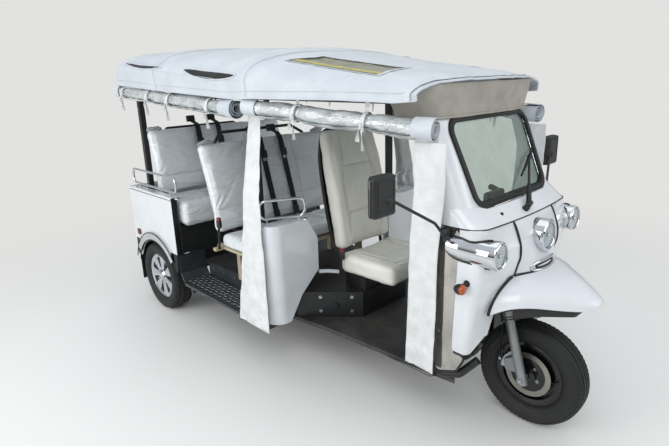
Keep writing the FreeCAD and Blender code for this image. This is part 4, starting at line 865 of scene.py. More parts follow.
@dataclass
class CanvasRoof:
    """The fitted canvas top: bows, seams, vents, windows, visor and valance hem.

    sections holds x, half width, lower edge, shoulder and crown of the canvas, from the
    rear to the front. window is one film's plan corners, welts each cross seam's x and
    slope, vent_table each vent's two ends and height, and visor_rows each level's height,
    front, half width, corner radius and bow.
    """

    sections: tuple = (
        (-1.700, 0.700, 1.796, 1.850, 1.990), (-1.600, 0.740, 1.785, 1.850, 2.030),
        (-1.000, 0.742, 1.747, 1.822, 2.028), (-0.040, 0.742, 1.696, 1.786, 1.980),
        (0.100, 0.742, 1.700, 1.778, 1.958), (0.700, 0.640, 1.694, 1.752, 1.862),
        (1.000, 0.606, 1.684, 1.716, 1.818),
        (1.100, 0.575, 1.690, 1.712, 1.790), (1.200, 0.560, 1.698, 1.708, 1.770))
    bows: tuple = (-1.700, -1.540, -1.000, -0.500, -0.040, 1.010)
    fullness: tuple = (3.2, 2.6, 2.3)
    front_edge: float = 1.120
    front_bow: float = 0.060
    corner: float = 0.190
    corner_drop: float = 0.060
    window: tuple = ((0.215, 0.548), (0.300, 0.338), (0.825, 0.272), (0.842, 0.520))
    sides_below: float = 1.76
    wall: float = 0.003
    hem: float = 0.042
    welts: tuple = ((0.15, -0.09), (-0.81, -0.23))
    side_panel: tuple = ((-1.5, 0.0), (0.150, 0.098))
    vent_table: tuple = ((-1.50, -0.88, 0.026), (-0.58, 0.00, 0.036))
    visor_rows: tuple = ((1.608, 1.129, 0.437, 0.084, 0.016), (1.660, 1.138, 0.474, 0.096, 0.024),
                         (1.710, 1.152, 0.512, 0.110, 0.038), (1.760, 1.164, 0.535, 0.120, 0.048))

    def at(self, x: float) -> tuple:
        """Half width, lower edge, shoulder and crown at a station."""
        table = np.array(self.sections)
        return tuple(float(np.interp(x, table[:, 0], table[:, k])) for k in range(1, 5))

    def section(self, x: float) -> tuple:
        """The left half of the canvas's section: y, z and the distance from the crown."""
        half, edge, shoulder, crown = self.at(x)
        power = float(np.interp(x, (-1.7, -0.2, 1.1), self.fullness))
        t = np.linspace(0.0, math.pi / 2, 64)
        y = np.append(half * np.sin(t) ** (2 / power), half)
        z = np.append(shoulder + (crown - shoulder) * np.cos(t) ** (2 / power), edge)
        return y, z, np.concatenate([[0.0], np.cumsum(np.hypot(np.diff(y), np.diff(z)))])

    def point(self, x: float, w: float) -> tuple:
        """A point on the canvas and its outward normal.

        Args:
            x: the station.
            w: from -1 at the right lower edge, over the crown, to 1 at the left lower edge.

        Returns:
            The point and the normal, as arrays.
        """
        y, z, run = self.section(x)
        at, step = abs(w) * run[-1], 0.004
        near, far = max(at - step, 0.0), min(at + step, run[-1])
        dy = np.interp(far, run, y) - np.interp(near, run, y)
        dz = np.interp(far, run, z) - np.interp(near, run, z)
        side = math.copysign(1.0, w)
        n = np.array([0.0, -dz * side, dy]) / math.hypot(dy, dz)
        return np.array([x, float(np.interp(at, run, y)) * side, float(np.interp(at, run, z))]), n

    def share(self, x: float) -> float:
        """The w of the shoulder at a station."""
        run = self.section(x)[2]
        return float(run[-2] / run[-1])

    def top(self, x: float, y: float, lift: float = 0.0) -> np.ndarray:
        """The canvas's top at a plan position, sag included."""
        across, _, run = self.section(x)
        w = math.copysign(float(np.interp(abs(y), across[:-1], run[:-1] / run[-1])), y)
        p, n = self.point(x, w)
        return p + n * (self.relief(p, w) + lift)

    def front(self, y: float) -> float:
        """The front edge's x at a distance from the centre line."""
        flat = 0.430
        if abs(y) <= flat:
            return self.front_edge + self.front_bow * (1 - (y / flat) ** 2)
        share = min((abs(y) - flat) / self.corner, 1.0)
        return self.front_edge - self.corner_drop * (1 - math.sqrt(1 - share ** 2))

    def end(self, w: float) -> float:
        """The x at which a line of constant w meets the front edge."""
        x = 1.0
        for _ in range(24):
            x += (self.front(float(self.point(min(x, 1.2), w)[0][1])) - x) * 0.5
        return min(x, 1.2)

    def relief(self, p: np.ndarray, w: float) -> float:
        """How far the real canvas stands off its smooth surface at a point."""
        x, y = p[:2]
        shoulder = self.share(x)
        sag = 0.0
        for a, b in zip(self.bows, self.bows[1:]):
            if a <= x <= b:
                t = (x - a) / (b - a)
                deep = 0.016 if b < 0.5 else 0.010
                cross = max(0.0, 1.0 - (abs(w) / shoulder) ** 4)
                sag = -deep * math.sin(math.pi * t) * (0.35 + 0.65 * min(1.0, 2.2 * abs(y))) * cross
        tight = bump_at(x * 2.6, y * 6.0, 3.0)
        fine = bump_at(x * 9.0 + y * 5.0, y * 14.0 - x * 3.0, 9.0)
        fold = 1.0 - abs(bump_at(x * 4.2 + y * 3.0, y * 5.5, 21.0)) * 2.0
        rough = 0.0028 * tight + 0.0012 * fine + 0.0022 * max(fold - 0.72, 0.0) * 3.5
        if abs(w) > shoulder:
            low = (abs(w) - shoulder) / max(1 - shoulder, 1e-6)
            rough += 0.004 * low * math.sin(x * 19.0 + 2.0 * math.sin(x * 7.0)) - 0.002
        for low, high, _ in self.vent_table:
            t = (2 * x - low - high) / (high - low) * 0.8
            if abs(t) < 1.0:
                run = self.section(x)[2][-1]
                over = (self.seam_at(x) - abs(w)) * run
                rough += (0.010 * math.exp(-((over + 0.012) / 0.030) ** 2)
                          - 0.026 * math.exp(-((over - 0.085) / 0.055) ** 2)) * (1 - t * t)
        return sag + rough

    def inside_window(self, x: float, y: float) -> bool:
        """Whether a plan position lies in a roof window."""
        corners, y = self.window, abs(y)
        for (x1, y1), (x2, y2) in zip(corners, corners[1:] + corners[:1]):
            if (x2 - x1) * (y - y1) - (y2 - y1) * (x - x1) < 0:
                return False
        return True

    def skin(self) -> Object:
        """The canvas itself, with the windows cut out."""
        edge, rear = 0.90, self.sections[0][0]
        ws = np.concatenate([np.linspace(-1, -edge, 8), np.linspace(-edge, edge, 118)[1:-1], np.linspace(edge, 1, 8)])
        us = np.linspace(0, 1, 190)
        grid = np.zeros((len(us), len(ws), 3))
        for j, w in enumerate(map(float, ws)):
            last = self.end(w)
            for i, u in enumerate(us):
                p, n = self.point(rear + (last - rear) * u, w)
                grid[i, j] = p + n * self.relief(p, w)
        cells = (grid[:-1, :-1] + grid[1:, 1:]) / 2
        keep = np.array([[not (self.inside_window(c[0], c[1]) and c[2] > self.sides_below) for c in row]
                         for row in cells])
        return sheet_piece("canopy_canvas", grid[:, ::-1], CANVAS, self.wall, keep[:, ::-1], 1)

    def line(self, spots: Sequence[tuple], lift: float = 0.0) -> np.ndarray:
        """Points over the canvas through pairs of x and w."""
        out = []
        for x, w in spots:
            p, n = self.point(x, w)
            out.append(p + n * (self.relief(p, w) + lift))
        return np.array(out)

    def ribbon(self, name: str, spots: Sequence[tuple], width: float, lift: float, finish: Finish) -> Object:
        """A flat tape laid along a line on the canvas."""
        path = self.line(spots, lift)
        ups = np.array([self.point(x, w)[1] for x, w in spots])
        side = np.cross(unit(np.gradient(path, axis=0)), ups) * width / 2
        crown = ups * 0.0006
        grid = np.stack([path - side, path - side * 0.5 + crown, path + side * 0.5 + crown, path + side], 1)
        return sheet_piece(name, grid, finish, 0.0022)

    def seams(self) -> list:
        """Welted seams over the top, the seam of the side panels and the hem."""
        parts, threads = [], []

        def welt(name: str, spots: Sequence[tuple], lift: float, radius: float, sides: int = 8) -> None:
            parts.append(bar_piece(name, self.line(spots, lift), radius, CANVAS, sides))

        for k, (crown_x, slope) in enumerate(self.welts):
            spots = [(crown_x + slope * abs(float(self.point(crown_x, w)[0][1])), w)
                     for w in map(float, np.linspace(-0.985, 0.985, 110))]
            welt(f"welt{k}", spots, 0.001, 0.0042)
            threads.append(self.line([(x + 0.014, w) for x, w in spots], 0.0012))
        for side in SIDES:
            spots = [(x, side * self.seam_at(x)) for x in map(float, np.linspace(-1.69, 0.05, 90))]
            welt(f"shoulder{side}", spots, 0.0003, 0.0026)
            last = self.end(side * 0.985)
            hem = [(x, side * (1 - self.hem / self.section(x)[2][-1]))
                   for x in map(float, np.linspace(-1.69, last - 0.03, 150))]
            welt(f"hem_fold{side}", hem, -0.0006, 0.0026)
            threads.append(self.line([(x, w + side * 0.004) for x, w in hem], 0.0012))
            edge = [(float(x), side * 0.995) for x in np.linspace(-1.695, last - 0.004, 170)]
            welt(f"hem{side}", edge, -0.001, 0.0046)
        around = [(self.end(w) - 0.003, w) for w in map(float, np.linspace(-0.995, 0.995, 150))]
        welt("front_piping", around, -0.001, 0.0058, 10)
        parts.append(self.ribbon("front_band", [(x - 0.045, w) for x, w in around], 0.05, 0.0012, CANVAS))
        threads.append(self.line([(x - 0.024, w) for x, w in around], 0.0035))
        welt("rear_piping", [(-1.697, float(w)) for w in np.linspace(-0.995, 0.995, 120)], -0.001, 0.0050)
        return [joined("canopy_seams", parts), stitches("canopy_stitches", threads, pitch=0.011, length=0.007)]

    def seam_at(self, x: float) -> float:
        """The w of the seam that joins the side panel to the top at a station."""
        run = self.section(x)[2]
        return float(1 - np.interp(x, *self.side_panel) / run[-1])

    def vents(self) -> Object:
        """Dark mesh crescents that sag under a raised brow, two on each side."""
        parts = []
        for side in SIDES:
            for low, high, tall in self.vent_table:
                rows = []
                for t in np.linspace(-1, 1, 44):
                    x = (low + high) / 2 + (high - low) / 2 * t
                    sag, wide = 0.020 * (1 - t * t), tall * (1 - t * t) ** 0.6
                    run = self.section(x)[2][-1]
                    at = self.seam_at(x) - (0.030 - sag) / run
                    rows.append([side * (at + wide * k / run) for k in (-1.0, -0.5, 0.0, 0.5)] + [x])
                grid = np.array([self.line([(row[4], w) for w in row[:4]], 0.0035) for row in rows])
                parts.append(sheet_piece(f"vent{side}{high}", grid if side < 0 else grid[:, ::-1], RUBBER, 0.0015))
                parts.append(bar_piece(f"brow{side}{high}", grid[:, 0], 0.0050, CANVAS, 8))
                parts.append(bar_piece(f"sill{side}{high}", grid[:, -1], 0.0040, CANVAS, 8))
        return joined("canopy_vents", parts)

    def windows(self) -> list:
        """The creased roof films, their welded borders and the yellowed strip along the lower edge."""
        films, trims = [], []
        corners = [np.array(c) for c in self.window]

        def within(a: float, b: float) -> np.ndarray:
            return (corners[0] * (1 - a) + corners[3] * a) * (1 - b) + (corners[1] * (1 - a) + corners[2] * a) * b

        for side in SIDES:
            def over(c: np.ndarray, lift: float) -> np.ndarray:
                return self.top(float(c[0]), side * float(c[1]), lift)

            grid = np.array([[over(c, -0.004 + bump_at(c[0] * 9, c[1] * 9, 4) * 0.004)
                              for c in (within(a, b) for b in np.linspace(-0.03, 1.03, 26))]
                             for a in np.linspace(-0.02, 1.02, 46)])
            films.append(sheet_piece(f"film{side}", grid[:, ::-side], SKY_FILM, 0.0012))
            for k, (a, b) in enumerate(zip(corners, corners[1:] + corners[:1])):
                wide = 0.018 if k == 3 else 0.030
                run = np.array([over(a + (b - a) * t, 0.0022) for t in np.linspace(-0.02, 1.02, 24)])
                across = unit(np.cross(np.gradient(run, axis=0), [0, 0, 1.0])) * wide / 2
                border = np.stack([run - across, run, run + across], 1)
                trims.append(sheet_piece(f"border{side}{k}", border, CANVAS, 0.0018))
            band = np.array([[over(c, 0.0005 + bump_at(c[0] * 60, c[1] * 60, 8) * 0.0012)
                              for c in (within(t, b) for b in np.linspace(0.07, 0.07 + 0.20 * (1 - 0.35 * t), 5))]
                             for t in np.linspace(0.02, 0.98, 40)])
            trims.append(sheet_piece(f"band{side}", band[:, ::side * -1], YELLOW_FILM, 0.001))
        return [joined("roof_films", films), joined("roof_window_trim", trims)]

    def visor(self) -> Object:
        """The lining that slopes down from the front edge to the windscreen's top."""
        table, rear = np.array(self.visor_rows), 0.88
        grid = []
        for level in np.linspace(0, len(table) - 1, 20):
            z, front, half, corner, bow = (np.interp(level, range(len(table)), table[:, k]) for k in range(5))
            grid.append([plan_point(float(a), z, front, half, corner, rear, bow) for a in np.linspace(-1, 1, 90)])
        grid = np.array(grid)
        for p in grid.reshape(-1, 3):
            p[2] = min(p[2], self.top(min(float(p[0]), 1.19), float(np.clip(p[1], -0.55, 0.55)))[2] - 0.010)
            p += 0.0025 * bump_at(p[1] * 7, p[2] * 18, 2)
        lining = sheet_piece("visor_lining", grid, VISOR_CANVAS, 0.002)
        lip = bar_piece("visor_lip", grid[0] + np.array([0.002, 0, 0]), 0.0055, VISOR_CANVAS, 8)
        return joined("visor_canvas", [lining, lip])

    def build(self) -> None:
        """Makes the whole roof and puts it on the chassis."""
        skin = dress(self.skin(), replaces=["canopy"])
        for piece in self.seams() + [self.vents()]:
            dress(piece)
        films, trim = self.windows()
        dress(films, replaces=["skylight_film"])
        dress(trim)
        dress(self.visor(), replaces=["visor"])


@dataclass
class CurtainRoll:
    """A side curtain rolled up under the roof: film in the middle, canvas cuffs, tied with tapes.

    start and end are the middle of the roll at its ends, on the right side.
    """

    name: str
    start: tuple
    end: tuple
    ties: tuple
    radius: float = 0.052
    turns: float = 3.2
    cuff: float = 0.085
    cone: float = 0.0

    def size_at(self, x: float, phase: float) -> float:
        """The roll's radius along its length: pinched by the ties, slack between them."""
        pinch = sum(math.exp(-((x - tie) / 0.05) ** 2) for tie in self.ties)
        swell = bump_at(x * 3.0, phase, 1.0)
        return self.radius * (1.0 - 0.16 * min(pinch, 1.0) + 0.06 * swell)

    def axes(self) -> tuple:
        """The roll's length, and its directions: along it, sideways and up."""
        run = np.array(self.end) - np.array(self.start)
        length = np.linalg.norm(run)
        along = run / length
        side = unit(np.cross(along, [0, 0, 1.0]))
        return float(length), along, side, np.cross(side, along)

    def middle(self, t: float) -> np.ndarray:
        """A point on the roll's middle line, which droops a little between ties."""
        a, b = np.array(self.start), np.array(self.end)
        p = a + (b - a) * t
        droop = 0.004 * math.sin(math.pi * t) + 0.003 * math.sin(5 * math.pi * t)
        return p - np.array([0, 0, droop])

    def spiral(self, name: str, t_low: float, t_high: float, steps: int, finish: Finish, grow_by: float,
               crumple: float, turns: float) -> Object:
        """A rolled sheet between two shares of the length."""
        _, _, side, lift = self.axes()
        per_turn, start, core = 34, 1.9, 0.36
        around = int(per_turn * turns)
        grid = np.zeros((steps, around, 3))
        for i, t in enumerate(np.linspace(t_low, t_high, steps)):
            centre = self.middle(t)
            size = self.size_at(float(centre[0]), grow_by) + grow_by
            size *= 1.0 + self.cone * max(t - 0.90, 0.0) / 0.10
            for j in range(around):
                u = j / (around - 1)
                turn = TURN * turns * u - start
                r = size * (core + (1 - core) * u)
                wave = bump_at(float(centre[0]) * 16, turn * 1.4, r * 60)
                sharp = abs(bump_at(float(centre[0]) * 9 + turn, turn * 2.2, 5.0))
                r += crumple * (wave - 1.2 * sharp) * (0.3 + 0.7 * u)
                grid[i, j] = centre + side * r * math.cos(turn) + lift * r * math.sin(turn)
        return sheet_piece(name, grid, finish)

    def tie(self, k: int, x: float) -> list:
        """A tape round the roll, its knot and two hanging tails."""
        centre = self.middle((x - self.start[0]) / (self.end[0] - self.start[0]))
        _, along, side, lift = self.axes()
        size = self.size_at(x, 0.0) + 0.004
        loop = np.zeros((40, 3, 3))
        for i, turn in enumerate(np.linspace(0, TURN, 40)):
            r = size + 0.0015 * math.sin(3 * turn + k)
            for j, off in enumerate((-0.011, 0.0, 0.011)):
                loop[i, j] = centre + along * (off + 0.006 * math.sin(turn + k)) + (
                    side * math.cos(turn) + lift * math.sin(turn)) * (r + 0.001 * (j == 1))
        parts = [sheet_piece(f"{self.name}_loop{k}", loop, STRIP_CANVAS, 0.0015)]
        knot_at = centre + side * size * 0.90 - lift * size * 0.25
        bend = spline([knot_at + lift * 0.013, knot_at + side * 0.006, knot_at - lift * 0.013], 8)
        parts.append(bar_piece(f"{self.name}_knot{k}", bend,
                               [0.004, 0.007, 0.009, 0.0095, 0.0095, 0.009, 0.007, 0.004], STRIP_CANVAS, 10))
        for m, (lean, long) in enumerate(((0.020, 0.118), (-0.014, 0.080))):
            path = spline([knot_at, knot_at + side * 0.010 - lift * long * 0.4 + along * lean * 0.6,
                           knot_at + side * 0.004 - lift * long + along * lean], 12)
            twist = np.linspace(0.0, 1.9 + 0.7 * m, 12)[:, None]
            wide = (along * np.cos(twist) + side * np.sin(twist)) * 0.0105
            curl = side * 0.001
            grid = np.stack([path - wide + curl, path, path + wide - curl], 1)
            parts.append(sheet_piece(f"{self.name}_tail{k}{m}", grid, STRIP_CANVAS, 0.0012))
        up = centre + lift * size
        hanger = np.stack([np.array([up + along * off, up + lift * 0.02 + along * off,
                                     up + lift * 0.045 - side * 0.004 + along * off]) for off in (-0.010, 0.010)], 1)
        parts.append(sheet_piece(f"{self.name}_hanger{k}", hanger, STRIP_CANVAS, 0.0012))
        return parts

    def build(self) -> tuple:
        """Makes the roll on the right side.

        Returns:
            The film piece, the canvas cuffs and the ties, all on the right side.
        """
        length = self.axes()[0]
        cut = self.cuff / length
        steps = int(length / 0.016)
        film = self.spiral(self.name + "_film", cut * 0.8, 1 - cut * 0.8, steps, ROLL_FILM, 0.0, 0.0050, self.turns)
        ends = ((0.0, cut), (1 - cut * (1.6 if self.cone else 1.0), 1.0))
        cuffs = [self.spiral(f"{self.name}_cuff{k}", a, b, 14, CANVAS, 0.0026, 0.0012, self.turns - 0.6)
                 for k, (a, b) in enumerate(ends)]
        parts = []
        for k, x in enumerate(self.ties):
            parts += self.tie(k, x)
        return film, cuffs, parts


def thicken(piece: Object, wall: float) -> None:
    """Gives a rolled sheet its thickness, half on each side."""
    shell = piece.modifiers.new("wall", "SOLIDIFY")
    shell.thickness, shell.offset = wall, 0.0
    settle(piece)
    smooth(piece, 50)


@dataclass
class Curtains:
    """Both side curtains on each side, rolled up."""

    rolls: tuple = (
        CurtainRoll("rear_roll", (-1.688, -0.700, 1.742), (-0.062, -0.698, 1.640), (-1.54, -1.13, -0.83, -0.33),
                    cone=0.14),
        CurtainRoll("front_roll", (0.032, -0.700, 1.658), (1.150, -0.498, 1.565), (0.390, 0.800), cuff=0.100))

    def build(self) -> None:
        """Makes the rolls, thickens their sheets and puts them on the chassis."""
        ties, first = [], True
        for roll in self.rolls:
            film, cuffs, parts = roll.build()
            ties += parts
            length = roll.axes()[0]
            for piece in (film, mirrored(film.name + "_left", film)):
                thicken(piece, 0.0006)
                dress(piece, replaces=["curtain_rolls"] if first else [])
                first = False
            for cuff in cuffs:
                thicken(cuff, 0.0016)
            dress(both_sides(roll.name + "_cuffs", cuffs))
        dress(both_sides("curtain_ties", ties), replaces=["roll_ties"])


@dataclass
class PillarStrips:
    """The canvas strips that hang over the posts, hemmed along both edges.

    Each row is the rear x, the front x, y and z.
    """

    middle: tuple = ((-0.045, 0.060, -0.631, 1.706), (-0.044, 0.066, -0.633, 1.575), (-0.050, 0.104, -0.708, 1.150),
                     (-0.062, 0.116, -0.714, 0.975), (-0.150, 0.152, -0.738, 0.322))
    front: tuple = ((1.036, 1.198, -0.484, 1.5117), (1.034, 1.200, -0.486, 1.300), (1.026, 1.182, -0.488, 1.120),
                    (1.018, 1.172, -0.489, 1.000), (1.000, 1.166, -0.492, 0.375))

    def strip(self, name: str, rows: tuple, seed: float) -> tuple:
        """One strip, its edge cords and its stitching."""
        table, columns = np.array(rows), 26
        levels = np.linspace(table[0, 3], table[-1, 3], 120)
        grid = np.zeros((len(levels), columns, 3))
        for i, z in enumerate(levels):
            back, ahead, y = (float(np.interp(-z, -table[:, 3], table[:, k])) for k in (0, 1, 2))
            low = i / (len(levels) - 1)
            for j, u in enumerate(np.linspace(0, 1, columns)):
                fold = bump_at(u * 3.1, z * 1.6, seed) * 0.012 * (0.35 + 0.9 * low)
                fold += bump_at(u * 3.0 + z * 4.0, z * 11.0, seed + 4) * 0.0075
                pull = 0.003 * bump_at(z * 5.0, seed, u > 0.5)
                grid[i, j] = (back + (ahead - back) * u + pull, y - 0.004 - abs(fold) * 0.9, z)
        grid[-1, :, 2] += 0.004 * np.sin(np.linspace(0, 5, columns))
        piece = sheet_piece(name, grid, STRIP_CANVAS, 0.0022)
        proud = np.array([0, -0.001, 0])
        rows_in = [grid[:, 2] + proud, grid[:, -3] + proud, grid[-4] + proud]
        edges = [bar_piece(f"{name}_edge{k}", grid[:, k], 0.0026, STRIP_CANVAS, 6) for k in (0, -1)]
        return piece, edges, stitches(name + "_thread", rows_in, pitch=0.010, length=0.0065)

    def build(self) -> None:
        """Makes the four strips and puts them on the chassis."""
        first, trims = True, []
        for name, rows, seed in (("middle_strip", self.middle, 2.0), ("front_strip", self.front, 7.0)):
            piece, edges, thread = self.strip(name, rows, seed)
            trims += edges + [thread]
            for item in (piece, mirrored(name + "_left", piece)):
                dress(item, replaces=["pillar_strips"] if first else [])
                first = False
        dress(both_sides("strip_hems", trims))


# Seats

def leaned(points: np.ndarray, lean: float, foot: tuple) -> np.ndarray:
    """Leans points back about the Y axis, in degrees, and moves them to the foot."""
    a = math.radians(lean)
    x, y, z = points[..., 0], points[..., 1], points[..., 2]
    out = np.stack([x * math.cos(a) - z * math.sin(a), y, x * math.sin(a) + z * math.cos(a)], -1)
    return out + np.array(foot)


@dataclass
class Pad:
    """A foam seat pad under vinyl, puffed by a short cloth simulation and then stitched.

    It is drawn upright: x is its thickness or depth, y across, z its height; lean and
    foot then put it in place. grooves are sewn channels: a face ("x" or "z") and a line
    of pairs in that face's plane.
    """

    name: str
    node: str
    low: tuple
    high: tuple
    radius: float
    grooves: tuple = ()
    lean: float = 0.0
    foot: tuple = (0.0, 0.0, 0.0)
    voxel: float = 0.010
    swell: float = 0.008
    fill: float = 0.8
    shape: Optional[Callable] = None
    finish: Finish = VINYL
    puff_frames: int = 20
    groove_deep: float = 0.0045
    groove_wide: float = 0.0065
    seam_off: float = 0.006

    def inflate(self, piece: Object) -> None:
        """Lets the cover swell between its seams, by at most the cap."""
        mesh = piece.data
        rest = vectors(mesh)
        hold = piece.vertex_groups.new(name="sewn")
        near = np.ones(len(rest))
        for face, line in self.grooves:
            near = np.minimum(near, self.gap(rest, face, line))
        hold.add([int(i) for i in np.nonzero(near < self.voxel * 1.1)[0]], 1.0, "REPLACE")
        cloth = piece.modifiers.new("cover", "CLOTH")
        for setting, value in (("vertex_group_mass", "sewn"), ("use_pressure", True), ("uniform_pressure_force", 4.0),
                               ("tension_stiffness", 22.0), ("compression_stiffness", 18.0),
                               ("bending_stiffness", 0.8), ("quality", 5)):
            setattr(cloth.settings, setting, value)
        cloth.settings.effector_weights.gravity = 0.0
        cloth.point_cache.frame_start, cloth.point_cache.frame_end = 1, self.puff_frames
        scene = bpy.context.scene
        for number in range(1, self.puff_frames + 1):
            scene.frame_set(number)
        depsgraph = bpy.context.evaluated_depsgraph_get()
        moved = vectors(piece.evaluated_get(depsgraph).to_mesh())
        piece.evaluated_get(depsgraph).to_mesh_clear()
        piece.modifiers.clear()
        piece.vertex_groups.clear()
        scene.frame_set(1)
        shift = moved - rest
        far = np.linalg.norm(shift, axis=1)[:, None] + 1e-9
        shift *= np.minimum(far, self.swell) / far
        move_to(mesh, rest + shift)
        mesh.update()

    def gap(self, points: np.ndarray, face: str, line: Sequence) -> np.ndarray:
        """Distance of each point near the named face from a groove line, and 1 elsewhere."""
        flat = points[:, 1:3] if face == "x" else points[:, 0:2]
        best = np.ones(len(points))
        for a, b in zip(line, line[1:]):
            a, run = np.array(a, float), np.array(b, float) - np.array(a, float)
            t = np.clip(((flat - a) @ run) / max(run @ run, 1e-9), 0, 1)
            best = np.minimum(best, np.linalg.norm(flat - a - t[:, None] * run, axis=1))
        far = self.high[0] - (self.high[0] - self.low[0]) * 0.55 if face == "x" else self.high[2] - 0.03
        best[points[:, 0 if face == "x" else 2] < far] = 1.0
        return best

    def cover(self) -> Object:
        """The foam block, remeshed, swollen and given its sewn grooves."""
        inset = self.swell * 0.75
        low = [a + inset for a in self.low]
        high = [b - inset for b in self.high]
        piece = soft_box(self.name, low, high, self.radius, self.finish, 4)
        remesh = piece.modifiers.new("even", "REMESH")
        remesh.mode, remesh.voxel_size = "VOXEL", self.voxel
        settle(piece)
        mesh = piece.data
        if self.shape:
            for v in mesh.vertices:
                v.co = self.shape(np.array(v.co), self.low, self.high)
        self.inflate(piece)
        fine = piece.modifiers.new("fine", "SUBSURF")
        fine.levels = fine.render_levels = 1
        settle(piece)
        mesh = piece.data
        points, normals = vectors(mesh), vectors(mesh, "normal")
        for face, line in self.grooves:
            facing = normals[:, 0] if face == "x" else normals[:, 2]
            near = self.gap(points, face, line) / self.groove_wide
            depth = self.groove_deep * np.exp(-near ** 2) * (facing > 0.3)
            points -= normals * depth[:, None]
        pulls = wander(points * np.array([1.0, 0.35, 1.6]), 17.0, 3.0) * 0.0016
        if self.finish is WRAPPED_VINYL:
            high = (points[:, 2] - self.low[2]) / (self.high[2] - self.low[2])
            pulls += (0.5 - np.abs(wander(points * np.array([2.0, 0.5, 2.4]), 15.0, 8.0))) * 0.0030 * high ** 2
        points += normals * pulls[:, None]
        points = np.clip(points, np.array(self.low) + 0.0006, np.array(self.high) - 0.0006)
        self.local = points
        self.normals = normals
        move_to(mesh, leaned(points, self.lean, self.foot))
        mesh.materials.clear()
        mesh.materials.append(paint(self.finish))
        smooth(piece, 80)
        return piece

    def seam_lines(self) -> list:
        """Where the grooves run on the finished surface, as two rows beside each."""
        rows = []
        for face, line in self.grooves:
            for off in (-self.seam_off, self.seam_off):
                run = []
                for a, b in zip(line, line[1:]):
                    a, b = np.array(a, float), np.array(b, float)
                    across = np.array([-(b - a)[1], (b - a)[0]]) / np.linalg.norm(b - a) * off
                    for t in np.linspace(0, 1, max(3, int(np.linalg.norm(b - a) / 0.02))):
                        run.append(a + (b - a) * t + across)
                rows.append(self.lay(np.array(run), face))
        return rows

    def lay(self, flat: np.ndarray, face: str) -> np.ndarray:
        """Drops plane points onto the finished surface."""
        axis, plane = (0, (1, 2)) if face == "x" else (2, (0, 1))
        front = self.normals[:, axis] > 0.25
        points = self.local[front]
        out = []
        for q in flat:
            away = np.linalg.norm(points[:, plane] - q, axis=1)
            nearest = points[int(np.argmin(away))]
            p = np.zeros(3)
            p[axis] = nearest[axis] + 0.0006
            p[plane[0]], p[plane[1]] = q
            out.append(p)
        return leaned(np.array(out), self.lean, self.foot)

    def bunches(self) -> list:
        """Crumpled ends of the clear wrapping at the pad's two top corners."""
        parts = []
        for side in SIDES:
            y = self.high[1] if side > 0 else self.low[1]
            u, v = np.meshgrid(np.linspace(0, 1, 26), np.linspace(0, 1, 30), indexing="ij")
            around = v * TURN
            size = 0.030 * np.sin(math.pi * u) ** 0.5 * (1 + 0.30 * np.sin(5 * around + 3 * u))
            x = self.low[0] + 0.045 + size * np.cos(around) * 0.9
            z = self.high[2] - 0.006 + size * np.sin(around) * 0.55
            grid = np.stack([x, y - side * (0.008 + 0.13 * u), z], -1)
            grid += wander(grid, 38.0, 5.0 + side)[..., None] * np.array([0.006, 0.004, 0.008])
            parts.append(sheet_piece(self.name + "_bunch", leaned(grid, self.lean, self.foot), BUNCHED_FILM))
        return parts


def high_back(p: np.ndarray, low: Point, high: Point) -> Vector:
    """Shapes the driver's backrest: side bolsters, narrow shoulders and a hollow middle."""
    up = (p[2] - low[2]) / (high[2] - low[2])
    across = p[1] / (high[1] - low[1]) * 2
    deep = (p[0] - low[0]) / (high[0] - low[0])
    narrow = 1.0 - 0.16 * max(up - 0.68, 0.0) ** 1.5 * 4.2 - 0.05 * (1 - min(up / 0.35, 1.0))
    bolster = math.exp(-((abs(across) - 0.84) / 0.20) ** 2) * math.exp(-((up - 0.40) / 0.30) ** 2)
    hollow = (1 - min(abs(across) / 0.62, 1.0) ** 3) * (0.018 + 0.010 * math.exp(-((up - 0.18) / 0.2) ** 2))
    head = 0.02 * max(up - 0.72, 0.0) * 3.0
    x = p[0] + deep * (-hollow - 0.024 * (1 - bolster) - head)
    return Vector((x, p[1] * narrow, p[2]))


def bucket_seat(p: np.ndarray, low: Point, high: Point) -> Vector:
    """Shapes the driver's cushion: raised sides, a dished middle and a rolled front edge."""
    ahead = (p[0] - low[0]) / (high[0] - low[0])
    across = p[1] / (high[1] - low[1]) * 2
    tall = (p[2] - low[2]) / (high[2] - low[2])
    dish = (1 - min(abs(across) / 0.7, 1.0) ** 3) * 0.022 * (1 - 0.6 * max(ahead - 0.7, 0) / 0.3)
    roll = max(ahead - 0.72, 0.0) / 0.28
    z = p[2] - tall * (dish + 0.020 * roll ** 2)
    narrow = 1.0 - 0.10 * max(ahead - 0.55, 0.0) ** 2 * 4
    return Vector((p[0], p[1] * narrow, z))


def bench_back(p: np.ndarray, low: Point, high: Point) -> Vector:
    """Shapes a bench backrest: fuller at the lumbar, softer at its top corners."""
    up = (p[2] - low[2]) / (high[2] - low[2])
    deep = (p[0] - low[0]) / (high[0] - low[0])
    x = p[0] - deep * (0.016 * up ** 2 + 0.010 * (1 - math.sin(math.pi * min(up * 1.3, 1.0))))
    return Vector((x, p[1], p[2]))


STRAP = (-0.023, -0.008, 0.008, 0.023)
STRAP_WALL = 0.0016


